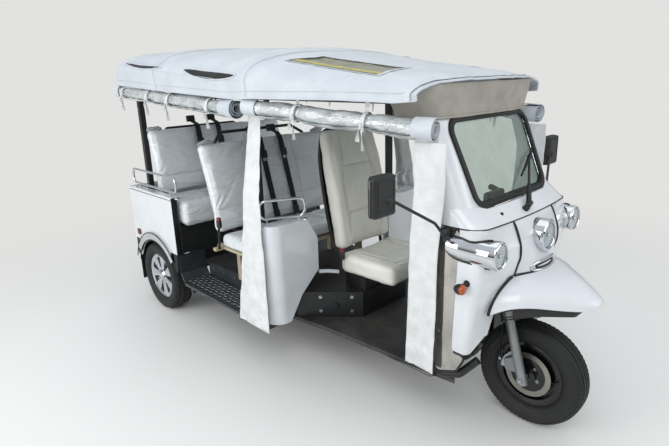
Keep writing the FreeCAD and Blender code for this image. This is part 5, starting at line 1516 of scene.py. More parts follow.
@dataclass
class Seats:
    """The driver's seat and the two passenger benches."""

    middle_lean: tuple = (15.0, (-0.505, -0.100, 0.793))
    rear_lean: tuple = (10.0, (-1.390, 0.0, 0.933))
    driver_lean: tuple = (10.0, (0.205, 0.0, 0.7263))

    def pads(self) -> list:
        """Every pad with its grooves."""
        edge = ((0.150, 0.10), (0.150, 0.44), (0.125, 0.53), (0.10, 0.745))
        driver_back = (("x", tuple((-y, z) for y, z in edge)), ("x", edge),
                       ("x", ((-0.148, 0.23), (0.148, 0.23))), ("x", ((-0.123, 0.53), (0.123, 0.53))))
        driver_base = (("z", ((0.300, -0.155), (0.660, -0.135))), ("z", ((0.300, 0.155), (0.660, 0.135))),
                       ("z", ((0.640, -0.145), (0.640, 0.145))))
        middle_back = tuple(("x", ((y, 0.05), (y, 0.60))) for y in (-0.19, 0.19)) + (
            ("x", ((-0.56, 0.16), (0.56, 0.16))),)
        rear_back = tuple(("x", ((y, 0.05), (y, 0.50))) for y in (-0.215, 0.215)) + (
            ("x", ((-0.63, 0.14), (0.63, 0.14))),)
        return [
            Pad("driver_seat_pad", "driver_cushion", (0.262, -0.250, 0.602), (0.700, 0.250, 0.742), 0.034,
                driver_base, voxel=0.008, swell=0.007, shape=bucket_seat),
            Pad("driver_back_pad", "driver_backrest", (0.0, -0.250, 0.0), (0.125, 0.250, 0.770), 0.040,
                driver_back, self.driver_lean[0], self.driver_lean[1], 0.008, 0.008, shape=high_back),
            Pad("middle_seat_pad", "middle_cushion", (-0.440, -0.680, 0.715), (-0.070, 0.480, 0.815), 0.030,
                (("z", ((-0.430, -0.295), (-0.085, -0.295))), ("z", ((-0.430, 0.095), (-0.085, 0.095)))),
                swell=0.009, finish=WRAPPED_VINYL),
            Pad("middle_back_pad", "middle_backrest", (0.0, -0.575, 0.0), (0.100, 0.575, 0.620), 0.034,
                middle_back, self.middle_lean[0], self.middle_lean[1], swell=0.009, shape=bench_back,
                finish=WRAPPED_VINYL),
            Pad("rear_seat_pad", "rear_cushion", (-1.330, -0.675, 0.7603), (-0.900, 0.675, 0.950), 0.036,
                (("z", ((-1.320, -0.225), (-0.915, -0.225))), ("z", ((-1.320, 0.225), (-0.915, 0.225)))),
                swell=0.009, voxel=0.011, finish=WRAPPED_VINYL),
            Pad("rear_back_pad", "rear_backrest", (0.0, -0.645, 0.0), (0.110, 0.645, 0.520), 0.036,
                rear_back, self.rear_lean[0], self.rear_lean[1], swell=0.009, voxel=0.011, shape=bench_back,
                finish=WRAPPED_VINYL)]

    def shell(self) -> Object:
        """The black moulded edge behind the driver's backrest and under the cushion."""
        half = [(0.205, 0.02), (0.246, 0.15), (0.250, 0.50), (0.225, 0.66), (0.165, 0.765)]
        count, middle = 80, 0.35
        ring = spline([(-y, z) for y, z in half] + [(0.0, 0.778)] + half[::-1], count)
        back = [np.stack([np.full(count, x), ring[:, 0] * k, ring[:, 1] * k + (1 - k) * middle], -1)
                for x, k in ((0.018, 0.985), (0.010, 1.004), (-0.004, 1.0), (-0.012, 0.96), (-0.014, 0.6),
                             (-0.014, 0.02))]
        return sheet_piece("seat_back_shell", leaned(np.stack(back, 0), *self.driver_lean), SEAT_SHELL, 0.003)

    def bench_belts(self, place: tuple, thick: float, height: float, low: float, ys: Sequence[float]) -> list:
        """One bench's shoulder belts with their guides and tongues.

        Args:
            place: the backrest's lean and foot.
            thick: the backrest's thickness.
            height: the backrest's height.
            low: where the straps end above the backrest's foot.
            ys: the straps' places across the bench.

        Returns:
            The straps, clips and tongues.
        """
        parts = []

        def block(name: str, near: tuple, far: tuple, radius: float, finish: Finish) -> None:
            piece = soft_box(name, near, far, radius, finish)
            move_to(piece.data, leaned(vectors(piece.data), *place))
            parts.append(piece)

        count, on_pad = 60, thick + 0.0035
        for k, y in enumerate(ys):
            line = spline([(0.018, 0, height + 0.062), (0.036, 0, height + 0.030), (thick - 0.026, 0, height + 0.006),
                           (thick - 0.008, 0, height - 0.014), (on_pad, 0, height - 0.050), (on_pad, 0, height * 0.6),
                           (thick + 0.004, 0, low + 0.10), (thick + 0.0045, 0, low)], count)
            wave = 0.002 * np.sin(np.linspace(0, 7, count) + k)
            grid = np.stack([line + np.stack([np.zeros(count), np.full(count, y + off) + wave, np.zeros(count)], -1)
                             for off in STRAP], 1)
            parts.append(sheet_piece(f"belt{place[0]}{k}", leaned(grid, *place), WEBBING, STRAP_WALL))
            for (x1, x2), wide, (z1, z2) in (((0.0, 0.030), 0.034, (height + 0.030, height + 0.080)),
                                             ((thick + 0.003, thick + 0.013), 0.030, (height - 0.17, height - 0.115)),
                                             ((thick + 0.003, thick + 0.012), 0.028, (low - 0.055, low + 0.008))):
                block("clip", (x1, y - wide, z1), (x2, y + wide, z2), 0.006, PLASTIC)
                if z1 < height - 0.05:
                    block("tongue", (x1 + 0.002, y - 0.013, z1 - 0.022), (x1 + 0.005, y + 0.013, z1 + 0.004), 0.001,
                          BRIGHT_STEEL)
        return parts

    def belts(self) -> Object:
        """Bench belts over the backrests, and the buckles with their red buttons."""
        parts = self.bench_belts(self.middle_lean, 0.100, 0.620, 0.060, (-0.100, 0.080))
        parts += self.bench_belts(self.rear_lean, 0.110, 0.520, 0.070, (-0.230, -0.040))
        red = []
        for x, y, foot_z, top, lean_x in ((-0.420, -0.692, 0.716, 0.940, 0.025),
                                          (0.300, -0.266, 0.600, 0.775, 0.012)):
            stalk = spline([(x, y, foot_z), (x + lean_x * 0.5, y, (foot_z + top) / 2), (x + lean_x, y, top - 0.045)],
                           10)
            parts.append(bar_piece(f"stalk{x}", stalk, 0.010, PLASTIC, 10, flat=0.45))
            parts.append(soft_box(f"buckle{x}", (x + lean_x - 0.019, y - 0.012, top - 0.072),
                                  (x + lean_x + 0.019, y + 0.012, top - 0.020), 0.007, PLASTIC))
            red.append(soft_box(f"button{x}", (x + lean_x - 0.016, y - 0.011, top - 0.034),
                                (x + lean_x + 0.016, y + 0.011, top), 0.006, RED))
        return joined("seat_belt_set", parts + red)

    def driver_belt(self) -> Object:
        """The driver's belt: its shoulder guide, and the strap down behind the backrest's left side."""
        parts = [soft_box("guide", (0.076, 0.176, 1.282), (0.112, 0.232, 1.322), 0.010, PLASTIC)]
        line = spline([(0.098, 0.206, 1.300), (0.104, 0.240, 1.235), (0.098, 0.276, 1.150), (0.104, 0.292, 1.02),
                       (0.120, 0.296, 0.86), (0.150, 0.290, 0.66), (0.190, 0.280, 0.50)], 50)
        across = unit(np.cross(unit(np.gradient(line, axis=0)), [0.35, 1.0, 0.1]))
        grid = np.stack([line + across * off for off in STRAP], 1)
        parts.append(sheet_piece("strap", grid, WEBBING, STRAP_WALL))
        parts.append(bar_piece("pillar",
                               spline([(0.060, 0.200, 1.27), (0.052, 0.200, 1.30), (0.090, 0.202, 1.306)], 8),
                               0.008, PLASTIC, 10))
        return joined("driver_belt", parts)

    def build(self) -> None:
        """Makes every pad, its stitches and covers, and the belts."""
        rows, ends = [], []
        for pad in self.pads():
            piece = dress(pad.cover(), replaces=[pad.node])
            rows += pad.seam_lines()
            if pad.name in ("middle_back_pad", "rear_back_pad"):
                ends += pad.bunches()
        dress(joined("wrapping_ends", ends))
        dress(stitches("seat_stitches", rows))
        dress(self.shell())
        dress(self.belts(), replaces=["seat_belts"])
        dress(self.driver_belt())


# Wheels and fork

@dataclass
class Wheel:
    """A tyre with its bead lines and tread, and the fittings on its rim.

    centre is the wheel's middle, width the tyre's, rim the lip radius and outer the sign
    of Y on which its outside lies.
    """

    name: str
    body: str
    centre: tuple
    width: float
    rim: float
    outer: int
    radius: float = 0.280
    lugs: int = 72
    steps: int = 128

    def profile(self) -> list:
        """The tyre's section from one bead round the tread to the other: radius and width."""
        h, r = self.width / 2, self.radius
        side = [(self.rim + 0.001, h - 0.022), (self.rim + 0.006, h - 0.013), (self.rim + 0.011, h - 0.009),
                (self.rim + 0.013, h - 0.0112), (self.rim + 0.017, h - 0.007), (self.rim + 0.030, h - 0.002),
                (self.rim + 0.033, h - 0.0032), (self.rim + 0.036, h - 0.0012), (r - 0.052, h - 0.0002),
                (r - 0.040, h - 0.0002), (r - 0.037, h - 0.0022), (r - 0.034, h - 0.0012), (r - 0.024, h - 0.004),
                (r - 0.015, h - 0.009), (r - 0.009, h - 0.016), (r - 0.0065, h - 0.024)]
        tread = []
        for edge, floor in ((h - 0.030, False), (h - 0.031, True), (h - 0.037, True), (h - 0.038, False),
                            (0.0125, False), (0.0115, True), (0.0065, True), (0.0055, False)):
            crown = r - 0.0005 - 0.006 * (edge / h) ** 2
            tread.append((crown - (0.0065 if floor else 0.0), edge))
        right = side + tread
        return right + [(a, -b) for a, b in reversed(right)] + [
            (self.rim + 0.001, -h + 0.030), (self.rim + 0.001, h - 0.030)]

    def tyre(self) -> Object:
        """The tyre's turned carcass and its shoulder lugs."""
        carcass = turned_piece(self.name + "_carcass", self.profile(), self.centre, (0, 1, 0), TYRE, self.steps, True,
                               28.0)
        h, r = self.width / 2, self.radius
        pieces = []
        for side in SIDES:
            lug = [(r - 0.022, side * (h - 0.0048), -0.0045), (r - 0.0115, side * (h - 0.0130), -0.0052),
                   (r - 0.0052, side * (h - 0.0275), -0.0030)]
            points = [(z, y, x) for x, y, z in lug] + [(0.0030 - z, y, x) for x, y, z in lug]
            lift = [(x, y + side * 0.0018, z + 0.0016) for x, y, z in points]
            faces = [(0, 1, 4, 3), (1, 2, 5, 4), (6, 9, 10, 7), (7, 10, 11, 8), (0, 6, 7, 1), (1, 7, 8, 2),
                     (3, 4, 10, 9), (4, 5, 11, 10), (0, 3, 9, 6), (2, 8, 11, 5)]
            seed = outward(mesh_piece("lug", np.array(points + lift), faces, TYRE, 30))
            mesh = seed.data
            bpy.data.objects.remove(seed)
            ring = grow(f"{self.name}_lugs{side}", round_tree, mesh, TYRE, Count=self.lugs)
            ring.data.transform(Matrix.Translation(self.centre))
            pieces.append(ring)
        return joined(self.name, [carcass] + pieces)

    def bolts(self, circle: float, count: int, y: float, radius: float, finish: Finish, height: float) -> Object:
        """A circle of bolt heads on the outside of the rim."""
        x0, y0, z0 = self.centre
        spots = [(p, (0, self.outer, 0)) for p in ring_spots((x0, y0 + y * self.outer, z0), circle, count)]
        return fasteners(self.name + "_bolts", spots, finish, radius, height)

    def valve(self, y: float) -> Object:
        """The valve stem with its cap."""
        x, yc, z = self.centre
        foot = Vector((x + (self.rim - 0.030), yc + y * self.outer, z + 0.012))
        tip = foot + Vector((-0.006, 0.030 * self.outer, 0.0))
        return bar_piece(self.name + "_valve", spline([foot, (foot + tip) / 2, tip], 6),
                         [0.0045, 0.004, 0.0035, 0.0035, 0.0045, 0.0045], RUBBER, 10)


@dataclass
class RunningGear:
    """All three wheels, the front fork's fittings and the brake."""

    front: Wheel = field(default_factory=lambda: Wheel(
        "front_tyre_tread", "front_wheel", (1.448, 0.0, 0.280), 0.134, 0.174, -1))
    rear: tuple = (Wheel("rear_tyre_tread_right", "rear_wheel_right", (-1.348, -0.648, 0.280), 0.160, 0.182, -1),
                   Wheel("rear_tyre_tread_left", "rear_wheel_left", (-1.348, 0.648, 0.280), 0.160, 0.182, 1))
    rake: float = math.radians(16.0)

    def on_leg(self, height: float, y: float, forward: float = 0.0) -> Vector:
        """A point by a fork leg: up the leg from the axle, across and forward."""
        up = Vector((-math.sin(self.rake), 0, math.cos(self.rake)))
        ahead = Vector((math.cos(self.rake), 0, math.sin(self.rake)))
        return Vector(self.front.centre) + up * height + ahead * forward + Vector((0, y, 0))

    def front_wheel(self) -> None:
        """The front tyre, the rim's pressed beads, its bolts and the hub."""
        wheel, across, parts = self.front, (0, -1, 0), []
        dress(wheel.tyre(), wheel.body, ["front_tyre"])
        x, _, z = wheel.centre
        for k, (r, a, side) in enumerate(((0.104, 0.0105, -1), (0.122, 0.0106, -1),
                                          (0.104, -0.0105, 1), (0.122, -0.0106, 1))):
            bead = [(r - 0.004, a), (r - 0.002, a - side * 0.0032), (r + 0.002, a - side * 0.0032), (r + 0.004, a)]
            parts.append(turned_piece(f"bead{k}", bead, wheel.centre, across, GLOSS_BLACK, 72))
        for s in SIDES:
            hub = [(0.0102, s * 0.066), (0.020, s * 0.066), (0.026, s * 0.0615), (0.044, s * 0.0600),
                   (0.0452, s * 0.0560), (0.0452, s * 0.012)]
            parts.append(turned_piece(f"hub{s}", hub, wheel.centre, across, GLOSS_BLACK, 48))
        dress(joined("front_rim_pressings", parts), wheel.body)
        spots = [((a, side * 0.0125, c), (0, side, 0)) for a, _, c in ring_spots(wheel.centre, 0.066, 5, 0.3)
                 for side in SIDES]
        nuts = fasteners("front_wheel_nuts", spots, BRIGHT_STEEL, 0.0085, 0.010)
        heads = fasteners("disc_bolts", [(p, across) for p in ring_spots((x, -0.0500, z), 0.056, 5, 0.9)],
                          BRIGHT_STEEL, 0.006, 0.006)
        dish = [(0.041, -0.0470), (0.041, -0.0500), (0.062, -0.0505), (0.090, -0.0500), (0.0925, -0.0488),
                (0.0925, -0.0470)]
        dress(turned_piece("disc_carrier", dish, wheel.centre, (0, 1, 0), GLOSS_BLACK, 72, True), wheel.body)
        dress(joined("front_wheel_fasteners", [nuts, heads, wheel.valve(0.030)]), wheel.body)

    def rear_wheels(self) -> None:
        """The rear tyres and their alloy rims' nuts and caps."""
        for wheel in self.rear:
            dress(wheel.tyre(), wheel.body, ["rear_" + wheel.body.replace("rear_wheel", "tyre")])
            h, rim, out = wheel.width / 2 - 0.022, wheel.rim, (0, wheel.outer, 0)
            face = h + 0.004
            cap = [(0.0, face + 0.006), (0.018, face + 0.0055), (0.026, face + 0.003), (0.030, face + 0.0006),
                   (0.030, face - 0.004), (0.0, face - 0.004)]
            lip = [(rim - 0.003, h + 0.0015), (rim - 0.0065, h + 0.0030), (rim - 0.010, h + 0.0008),
                   (rim - 0.020, h - 0.0030), (rim - 0.020, h - 0.006), (rim - 0.003, h - 0.003)]
            dress(joined(wheel.name + "_trim", [
                turned_piece(wheel.name + "_cap", cap, wheel.centre, out, ALLOY, 40),
                turned_piece(wheel.name + "_lip", lip, wheel.centre, out, ALLOY, 96, True),
                wheel.bolts(0.044, 5, h + 0.0035, 0.0075, BRIGHT_STEEL, 0.012), wheel.valve(h - 0.020)]),
                wheel.body)

    def fork(self) -> None:
        """Rings on the dust boots, axle nuts, caliper bolts and the brake pipe."""
        rings, bright, r = [], [], 0.0345
        bead = [(r - 0.004, -0.0028), (r, -0.0024), (r + 0.0014, 0), (r, 0.0024), (r - 0.004, 0.0028)]
        nut = [(0.0, 0.0092), (0.010, 0.0092), (0.0125, 0.007), (0.0125, 0.0), (0.0175, 0.0), (0.0175, -0.002)]
        up = self.on_leg(1, 0) - self.on_leg(0, 0)
        for side in SIDES:
            y, out = side * 0.112, (0, side, 0)
            for h in (0.332, 0.345, 0.377, 0.390):
                rings.append(turned_piece("ring", bead, self.on_leg(h, y), up, GASKET, 36))
            bright.append(turned_piece("cap", nut, self.on_leg(0, y + side * 0.0245), out, BRIGHT_STEEL, 24))
            for h in (0.440, 0.562):
                bright.append(fasteners("clamp_bolt", [
                    (self.on_leg(h + 0.013, y + side * 0.0302, ahead), out) for ahead in (-0.03, 0.012)],
                    BRIGHT_STEEL, 0.0065, 0.007))
        dress(joined("fork_boot_rings", rings), "steering")
        x, _, z = self.front.centre
        for degrees in (136, 151, 166):
            spot = ring_spots((x, -0.0702, z), 0.112, 1, math.radians(degrees))[0]
            bright.append(fasteners("caliper_bolt", [(spot, (0, -1, 0))], BRIGHT_STEEL, 0.0065, 0.006))
        dress(joined("fork_fasteners", bright), "steering")
        line = [self.on_leg(*spot) for spot in (
            (0.085, -0.064, -0.128), (0.17, -0.070, -0.112), (0.27, -0.092, -0.062), (0.36, -0.100, -0.048),
            (0.436, -0.098, -0.040))]
        hose = bar_piece("brake_pipe", spline(line, 26), 0.0045, RUBBER, 8)
        banjo = turned_piece("banjo", [(0.0, 0.010), (0.008, 0.010), (0.009, 0.008), (0.009, -0.004), (0.0, -0.004)],
                             line[0], (0, -1, 0), BRIGHT_STEEL, 20)
        on_pipe, half = self.on_leg(0.30, -0.097, -0.058), Vector((0.007, 0.007, 0.005))
        clip = soft_box("clip", on_pipe - half, on_pipe + half, 0.002, BRIGHT_STEEL)
        dress(joined("brake_pipe_set", [hose, banjo, clip]), "steering")

    def handlebar(self) -> None:
        """Grips, levers and the small display between them."""
        parts = []
        top = self.on_leg(0.900, 0, -0.045) + (self.on_leg(1, 0) - self.on_leg(0, 0)) * 0.0123
        count = 30
        for side in SIDES:
            a = Vector((top.x - 0.150, 0.270 * side, top.z + 0.020))
            b = Vector((top.x - 0.050, 0.190 * side, top.z + 0.020))
            grip = [a + (b - a) * t for t in np.linspace(-0.02, 0.72, count)]
            radii = [0.0165 + 0.0012 * math.sin(k * 1.9) for k in range(count)]
            parts.append(bar_piece("grip", grip, radii, RUBBER, 14))
            lever = spline([b + Vector((0.002, 0, -0.010)), b + Vector((0.012, 0.012 * side, -0.016)),
                            a + Vector((0.022, 0.004 * side, -0.018)), a + Vector((0.018, 0.010 * side, -0.018))], 18)
            parts.append(bar_piece("lever", lever, np.linspace(0.0065, 0.0045, 18), BLACK_STEEL, 8))
            parts.append(soft_box("switches", b - Vector((0.022, 0.016, 0.018)), b + Vector((0.012, 0.014, 0.018)),
                                  0.007, PLASTIC))
        for name, low, high, radius, finish in (
                ("display", (0.000, -0.085, 0.006), (0.034, 0.085, 0.070), 0.012, PLASTIC),
                ("face", (-0.003, -0.070, 0.016), (0.003, 0.070, 0.062), 0.002, MIRROR_GLASS)):
            parts.append(soft_box(name, top + Vector(low), top + Vector(high), radius, finish))
        dress(joined("handlebar_fittings", parts), "steering")

    def build(self) -> None:
        """Makes everything that rolls or steers."""
        self.front_wheel()
        self.rear_wheels()
        self.fork()
        self.handlebar()


# Front body

SHIELD_Y = 0.4606


def upright(x: float, y: float, half: float, low: float, high: float, extra: float = 0.0) -> list:
    """The corners of a rectangle that faces along X, grown by extra on every edge."""
    return [(x, y - half - extra, low - extra), (x, y + half + extra, low - extra),
            (x, y + half + extra, high + extra), (x, y - half - extra, high + extra)]


def side_box(name: str, a: Point, b: Point, radius: float, finish: Finish) -> Object:
    """A soft box between two corners whose Y may come in either order."""
    near, far = sorted((a[1], b[1]))
    return soft_box(name, (a[0], near, a[2]), (b[0], far, b[2]), radius, finish)


@dataclass
class FrontBody:
    """Gaskets, lamps, trims and screws of the front body.

    nose holds the height, the edge's x and the middle's x of the nose panel; fender holds
    x, crown, fullness, half width and low edge; teardrop holds x, y, z and radius.
    """

    nose: tuple = ((0.874, 1.407, 1.480), (0.925, 1.419, 1.468), (0.965, 1.430, 1.452), (1.025, 1.428, 1.436),
                   (1.096, 1.404, 1.414), (1.1337, 1.384, 1.391))
    fender: tuple = ((1.372, 0.889, 2.30, 0.362, 0.706), (1.432, 0.884, 2.25, 0.330, 0.740),
                     (1.482, 0.873, 2.20, 0.297, 0.756), (1.540, 0.858, 2.15, 0.240, 0.755),
                     (1.600, 0.840, 2.10, 0.188, 0.748), (1.655, 0.818, 2.05, 0.137, 0.741),
                     (1.705, 0.794, 2.00, 0.088, 0.738), (1.736, 0.774, 2.00, 0.050, 0.742))
    lamp_z: float = 1.036
    teardrop: tuple = ((1.2050, -0.4520, 1.050, 0.008), (1.2065, -0.4515, 1.050, 0.032),
                       (1.2130, -0.4500, 1.049, 0.0445), (1.2350, -0.4440, 1.045, 0.0535),
                       (1.2800, -0.4300, 1.039, 0.0600), (1.3400, -0.4140, 1.032, 0.0640),
                       (1.4000, -0.4040, 1.028, 0.0655), (1.4360, -0.4020, 1.028, 0.0665))

    def fender_at(self, x: float) -> tuple:
        """Crown, fullness, half width and low edge of the fender at a station."""
        xs = [row[0] for row in self.fender]
        return tuple(float(np.interp(x, xs, [row[k] for row in self.fender])) for k in range(1, 5))

    def fender_point(self, x: float, t: float) -> np.ndarray:
        """A point on the fender's right side: t is 0 at the crown and 1 at the low edge."""
        crown, power, half, low = self.fender_at(x)
        a = t * math.pi / 2
        y = half * max(math.sin(a), 0.0) ** (2 / power)
        return np.array([x, -y, low + (crown - low) * max(math.cos(a), 0.0) ** (2 / power)])

    def fender_skin(self) -> Object:
        """The front mudguard: smooth along its length, soft along its shoulders, closed at the tip."""
        stations = [row[0] for row in self.fender]
        rails = []
        for t in np.linspace(-1, 1, 73):
            run = np.array([self.fender_point(x, abs(t)) for x in stations])
            run[:, 1] *= -1.0 if t > 0 else 1.0
            rails.append(spline(run, 70))
        grid = np.stack(rails, 1)
        for _ in range(3):
            grid[:, 1:-1] = grid[:, 1:-1] * 0.5 + (grid[:, :-2] + grid[:, 2:]) * 0.25
        tip, heart = grid[-1], grid[-1].mean(0)
        cap = [heart + (tip - heart) * math.cos(a) + np.array([0.007 * math.sin(a), 0, 0])
               for a in np.linspace(0.3, 1.5, 5)]
        return sheet_piece("fender_skin", np.concatenate([grid, np.stack(cap)]), WHITE_PANEL, 0.0035)

    def liner(self) -> Object:
        """The black inner guard: a shallow trough that hugs the mudguard from below."""
        rows = []
        for x in np.linspace(1.455, 1.695, 40):
            _, _, half, low = self.fender_at(x)
            half = half * 0.93 - 0.004
            drop = float(np.interp(x, (1.455, 1.51, 1.60, 1.67, 1.695), (0.075, 0.060, 0.046, 0.036, 0.004)))
            section = [(-half, low + 0.020), (-half * 0.985, low - drop * 0.5), (-half * 0.93, low - drop),
                       (-half * 0.6, low - drop + 0.004), (0.0, low - drop + 0.010)]
            rows.append([(x, y, z) for y, z in section] + [(x, -y, z) for y, z in section[-2::-1]])
        return sheet_piece("fender_trough", np.array(rows), PLASTIC, 0.003)

    def gaskets(self) -> Object:
        """Black rubber in the joints between the moulded panels."""
        parts, edge = [], 0.2
        for side in SIDES:
            seam = [(x + 0.0015, side * edge, z) for z, x, _ in self.nose]
            parts.append(bar_piece("nose_seam", spline(seam, 40), 0.0055, GASKET, 8))
            skin = [self.fender_point(float(np.interp(t, (0.38, 1.0), (1.404, 1.374))), t)
                    for t in np.linspace(0.38, 1.0, 26)]
            parts.append(bar_piece("fender_side_seam", [(x, -side * y * 1.006, z + 0.002) for x, y, z in skin],
                                   0.0075, GASKET, 8))
        around = []
        for y in np.linspace(-edge, edge, 50):
            x = 1.407 + 0.073 * (1 - (y / edge) ** 2) + 0.002
            crown, power, half, low = self.fender_at(x)
            around.append((x, y, low + (crown - low) * (1 - abs(y / half) ** power) ** (1 / power) + 0.003))
        parts.append(bar_piece("nose_fender_seam", around, 0.0056, GASKET, 8))
        plan = [plan_point(float(a), 1.1338, 1.3905, 0.4605, 0.096, 1.150, 0.020) for a in np.linspace(-1, 1, 120)]
        parts.append(bar_piece("cowl_seam", plan, 0.0032, GASKET, 8))
        return joined("body_gaskets", parts)

    def lamp(self, name: str, centre: Point, radius: float, depth: float = 0.009) -> list:
        """A headlamp's fluted reflector, bulb shield, domed glass and bezel ring."""
        x, y, z = centre
        steps, rings, ahead = 96, 9, (1, 0, 0)
        grid = np.zeros((steps, rings, 3))
        for i in range(steps):
            a = TURN * i / steps
            flute = 0.0016 * (i % 4 in (0, 1))
            for j, r in enumerate(np.linspace(radius * 0.16, radius * 0.98, rings)):
                back = 0.0045 + flute * (0.3 + 0.7 * j / rings) - 0.003 * (1 - (r / radius) ** 2)
                grid[i, j] = (x + back, y + r * math.cos(a), z + r * math.sin(a))
        bowl = mesh_piece(name + "_bowl", grid.reshape(-1, 3), grid_faces(steps, rings, True), CHROME, 12)
        bulb = turned_piece(name + "_bulb", [(0.0, 0.014), (0.007, 0.0125), (0.0105, 0.009), (0.011, 0.004),
                                             (0.0, 0.003)], centre, ahead, CHROME, 28)
        dome = [(radius * math.sin(t), 0.0075 + depth * math.cos(t)) for t in np.linspace(0, math.pi / 2, 12)]
        inner = [(r * 0.965, a - 0.0022) for r, a in dome][::-1]
        glass = turned_piece(name + "_glass", dome + inner, centre, ahead, LAMP_GLASS, 64)
        ring = turned_piece(name + "_bezel", [
            (radius - 0.0025, 0.0060), (radius - 0.0015, 0.0125), (radius + 0.002, 0.0150), (radius + 0.0055, 0.0130),
            (radius + 0.007, 0.0060), (radius + 0.004, 0.0020)], centre, ahead, CHROME, 72, True)
        return [bowl, bulb, glass, ring]

    def lamps(self) -> None:
        """All three headlamps and the oval trims."""
        glass, metal = [], []
        for name, centre, radius in (("centre", (1.4623, 0, self.lamp_z), 0.0640),
                                     ("right", (1.4283, -0.402, 1.028), 0.0555),
                                     ("left", (1.4283, 0.402, 1.028), 0.0555)):
            bowl, bulb, dome, ring = self.lamp(name, centre, radius)
            glass.append(dome)
            metal += [bowl, bulb, ring]
        dress(joined("lamp_glasses", glass), replaces=["lamp_lenses"])
        for side in SIDES:
            rim = [self.lamp_skirt(a, side) for a in loop_angles(80)]
            metal.append(bar_piece("skirt", rim, 0.0042, GASKET, 8, True))
        levels = [row[0] for row in self.nose]
        for size, thick, finish in ((1.0, 0.0085, CHROME), (0.72, 0.0065, GASKET)):
            ring = []
            for a in loop_angles(64):
                y = -0.016 + 0.108 * size * bulge(math.cos(a), 0.6)
                z = 0.8990 + 0.020 * size * size * bulge(math.sin(a), 0.8)
                xs = [row[1] + (row[2] - row[1]) * (1 - (y / 0.2) ** 2) for row in self.nose]
                ring.append((float(np.interp(z, levels, xs)) + 0.002, y, z))
            metal.append(bar_piece("nose_trim", ring, thick, finish, 10, True))
        dress(joined("headlamp_metal", metal + self.housings()), replaces=["headlamp_housings"])

    def signals(self) -> None:
        """The front signals on their stalks and the round tail lamps."""
        amber, black = [], []
        glass = [(0.0, 0.030), (0.010, 0.0295), (0.018, 0.027), (0.0235, 0.021), (0.0245, 0.012), (0.0245, 0.002),
                 (0.0, 0.002)]
        cup = [(0.0, -0.026), (0.012, -0.024), (0.021, -0.014), (0.0258, 0.0), (0.0262, 0.010), (0.0248, 0.010),
               (0.0240, 0.0)]
        rim = [(0.0545, -0.018), (0.0575, -0.017), (0.0585, 0.004), (0.0545, 0.006), (0.053, 0.003)]
        ahead, back = (1, 0, 0), (-1, 0, 0)
        for side in SIDES:
            c, tail = (1.297, side * 0.495, 0.864), (-1.729, side * 0.600, 0.820)
            amber.append(turned_piece("amber", glass, c, ahead, AMBER, 36))
            black.append(turned_piece("cup", cup, c, ahead, PLASTIC, 36))
            black.append(bar_piece("stalk", spline([(1.312, side * SHIELD_Y, 0.884), (1.306, side * 0.478, 0.876),
                                                    (1.298, side * 0.492, 0.866)], 8), 0.0105, RUBBER, 14))
            black.append(turned_piece("base", [(0.0, 0.006), (0.013, 0.005), (0.0165, 0.0)],
                                      (1.312, side * 0.4604, 0.884), (0, side, 0), RUBBER, 24))
            for k, (r, finish) in enumerate(((0.052, RED), (0.034, AMBER), (0.016, RED))):
                out = 0.003 * k
                step = [(r, 0.0), (r, 0.008 + out), (r - 0.004, 0.011 + out), (0.0, 0.012 + out)]
                amber.append(turned_piece("tail", step, tail, back, finish, 48))
            black.append(turned_piece("tail_rim", rim, tail, back, CHROME, 56))
        dress(joined("signal_glasses", amber), replaces=["signal_lamps"])
        dress(joined("signal_cups", black))

    def housings(self) -> list:
        """The chrome shells: a barrel on the nose and a blunt teardrop on each leg shield."""
        barrel = [(0.030, -0.066), (0.0775, -0.066), (0.0780, -0.060), (0.0780, 0.006), (0.0765, 0.0125),
                  (0.0725, 0.0150), (0.0680, 0.0135), (0.0660, 0.0080), (0.0655, -0.004), (0.030, -0.004)]
        parts = [turned_piece("barrel", barrel, (1.4623, 0.0, self.lamp_z), (1, 0, 0), CHROME, 80, True)]
        mouth = ((1.4405, -0.402, 1.028, 0.0640), (1.4410, -0.402, 1.028, 0.0600), (1.4300, -0.402, 1.028, 0.0575))
        rows = self.teardrop + mouth
        for side in SIDES:
            grid = np.array([[(x, -side * (y + r * math.cos(a)), z + r * math.sin(a))
                              for a in loop_angles(64)] for x, y, z, r in rows])
            faces = grid_faces(len(rows), 64, False, True)
            parts.append(outward(mesh_piece("teardrop", grid.reshape(-1, 3), faces, CHROME, 50)))
        return parts

    def lamp_skirt(self, a: float, side: int) -> tuple:
        """A point on the rubber where the teardrop leaves the leg shield."""
        x = 1.3030 + 0.1000 * math.cos(a)
        rows = np.array(self.teardrop)
        y, z, radius = (float(np.interp(x, rows[:, 0], rows[:, k])) for k in (1, 2, 3))
        face = 0.4605 - 0.060 * max((x - 1.30) / 0.105, 0.0) ** 2
        off = min(max(face + y, -radius * 0.99), radius * 0.99)
        rise = math.sqrt(max(radius * radius - off * off, 0.0)) + 0.002
        share = max(-1.0, min(1.0, math.sin(a) / 0.25))
        return (x, side * (face + 0.0015), z + rise * share)

    def screen(self) -> Object:
        """The washer nozzle and the fold of rubber round the screen."""
        slope, square, half, tall, mid = -0.194 / 0.450, 0.24, 0.353, 0.1935, 1.4025
        loop = []
        for a in (TURN * k / 160 for k in range(160)):
            z = mid + tall * bulge(math.sin(a), square)
            y = half * bulge(math.cos(a), square) * (1 + 0.035 * (z - mid) / 0.19)
            loop.append((1.276 + slope * (z - 1.215) + 0.0085, y, z))
        fold = bar_piece("screen_rubber_fold", loop, 0.0052, GASKET, 8, True)
        nozzle = turned_piece("nozzle", [(0.0, 0.012), (0.005, 0.0115), (0.009, 0.006), (0.011, 0.0)],
                              (1.338, -0.230, 1.1640), (0.64, 0, 0.77), PLASTIC, 20)
        return joined("screen_trim", [fold, nozzle])

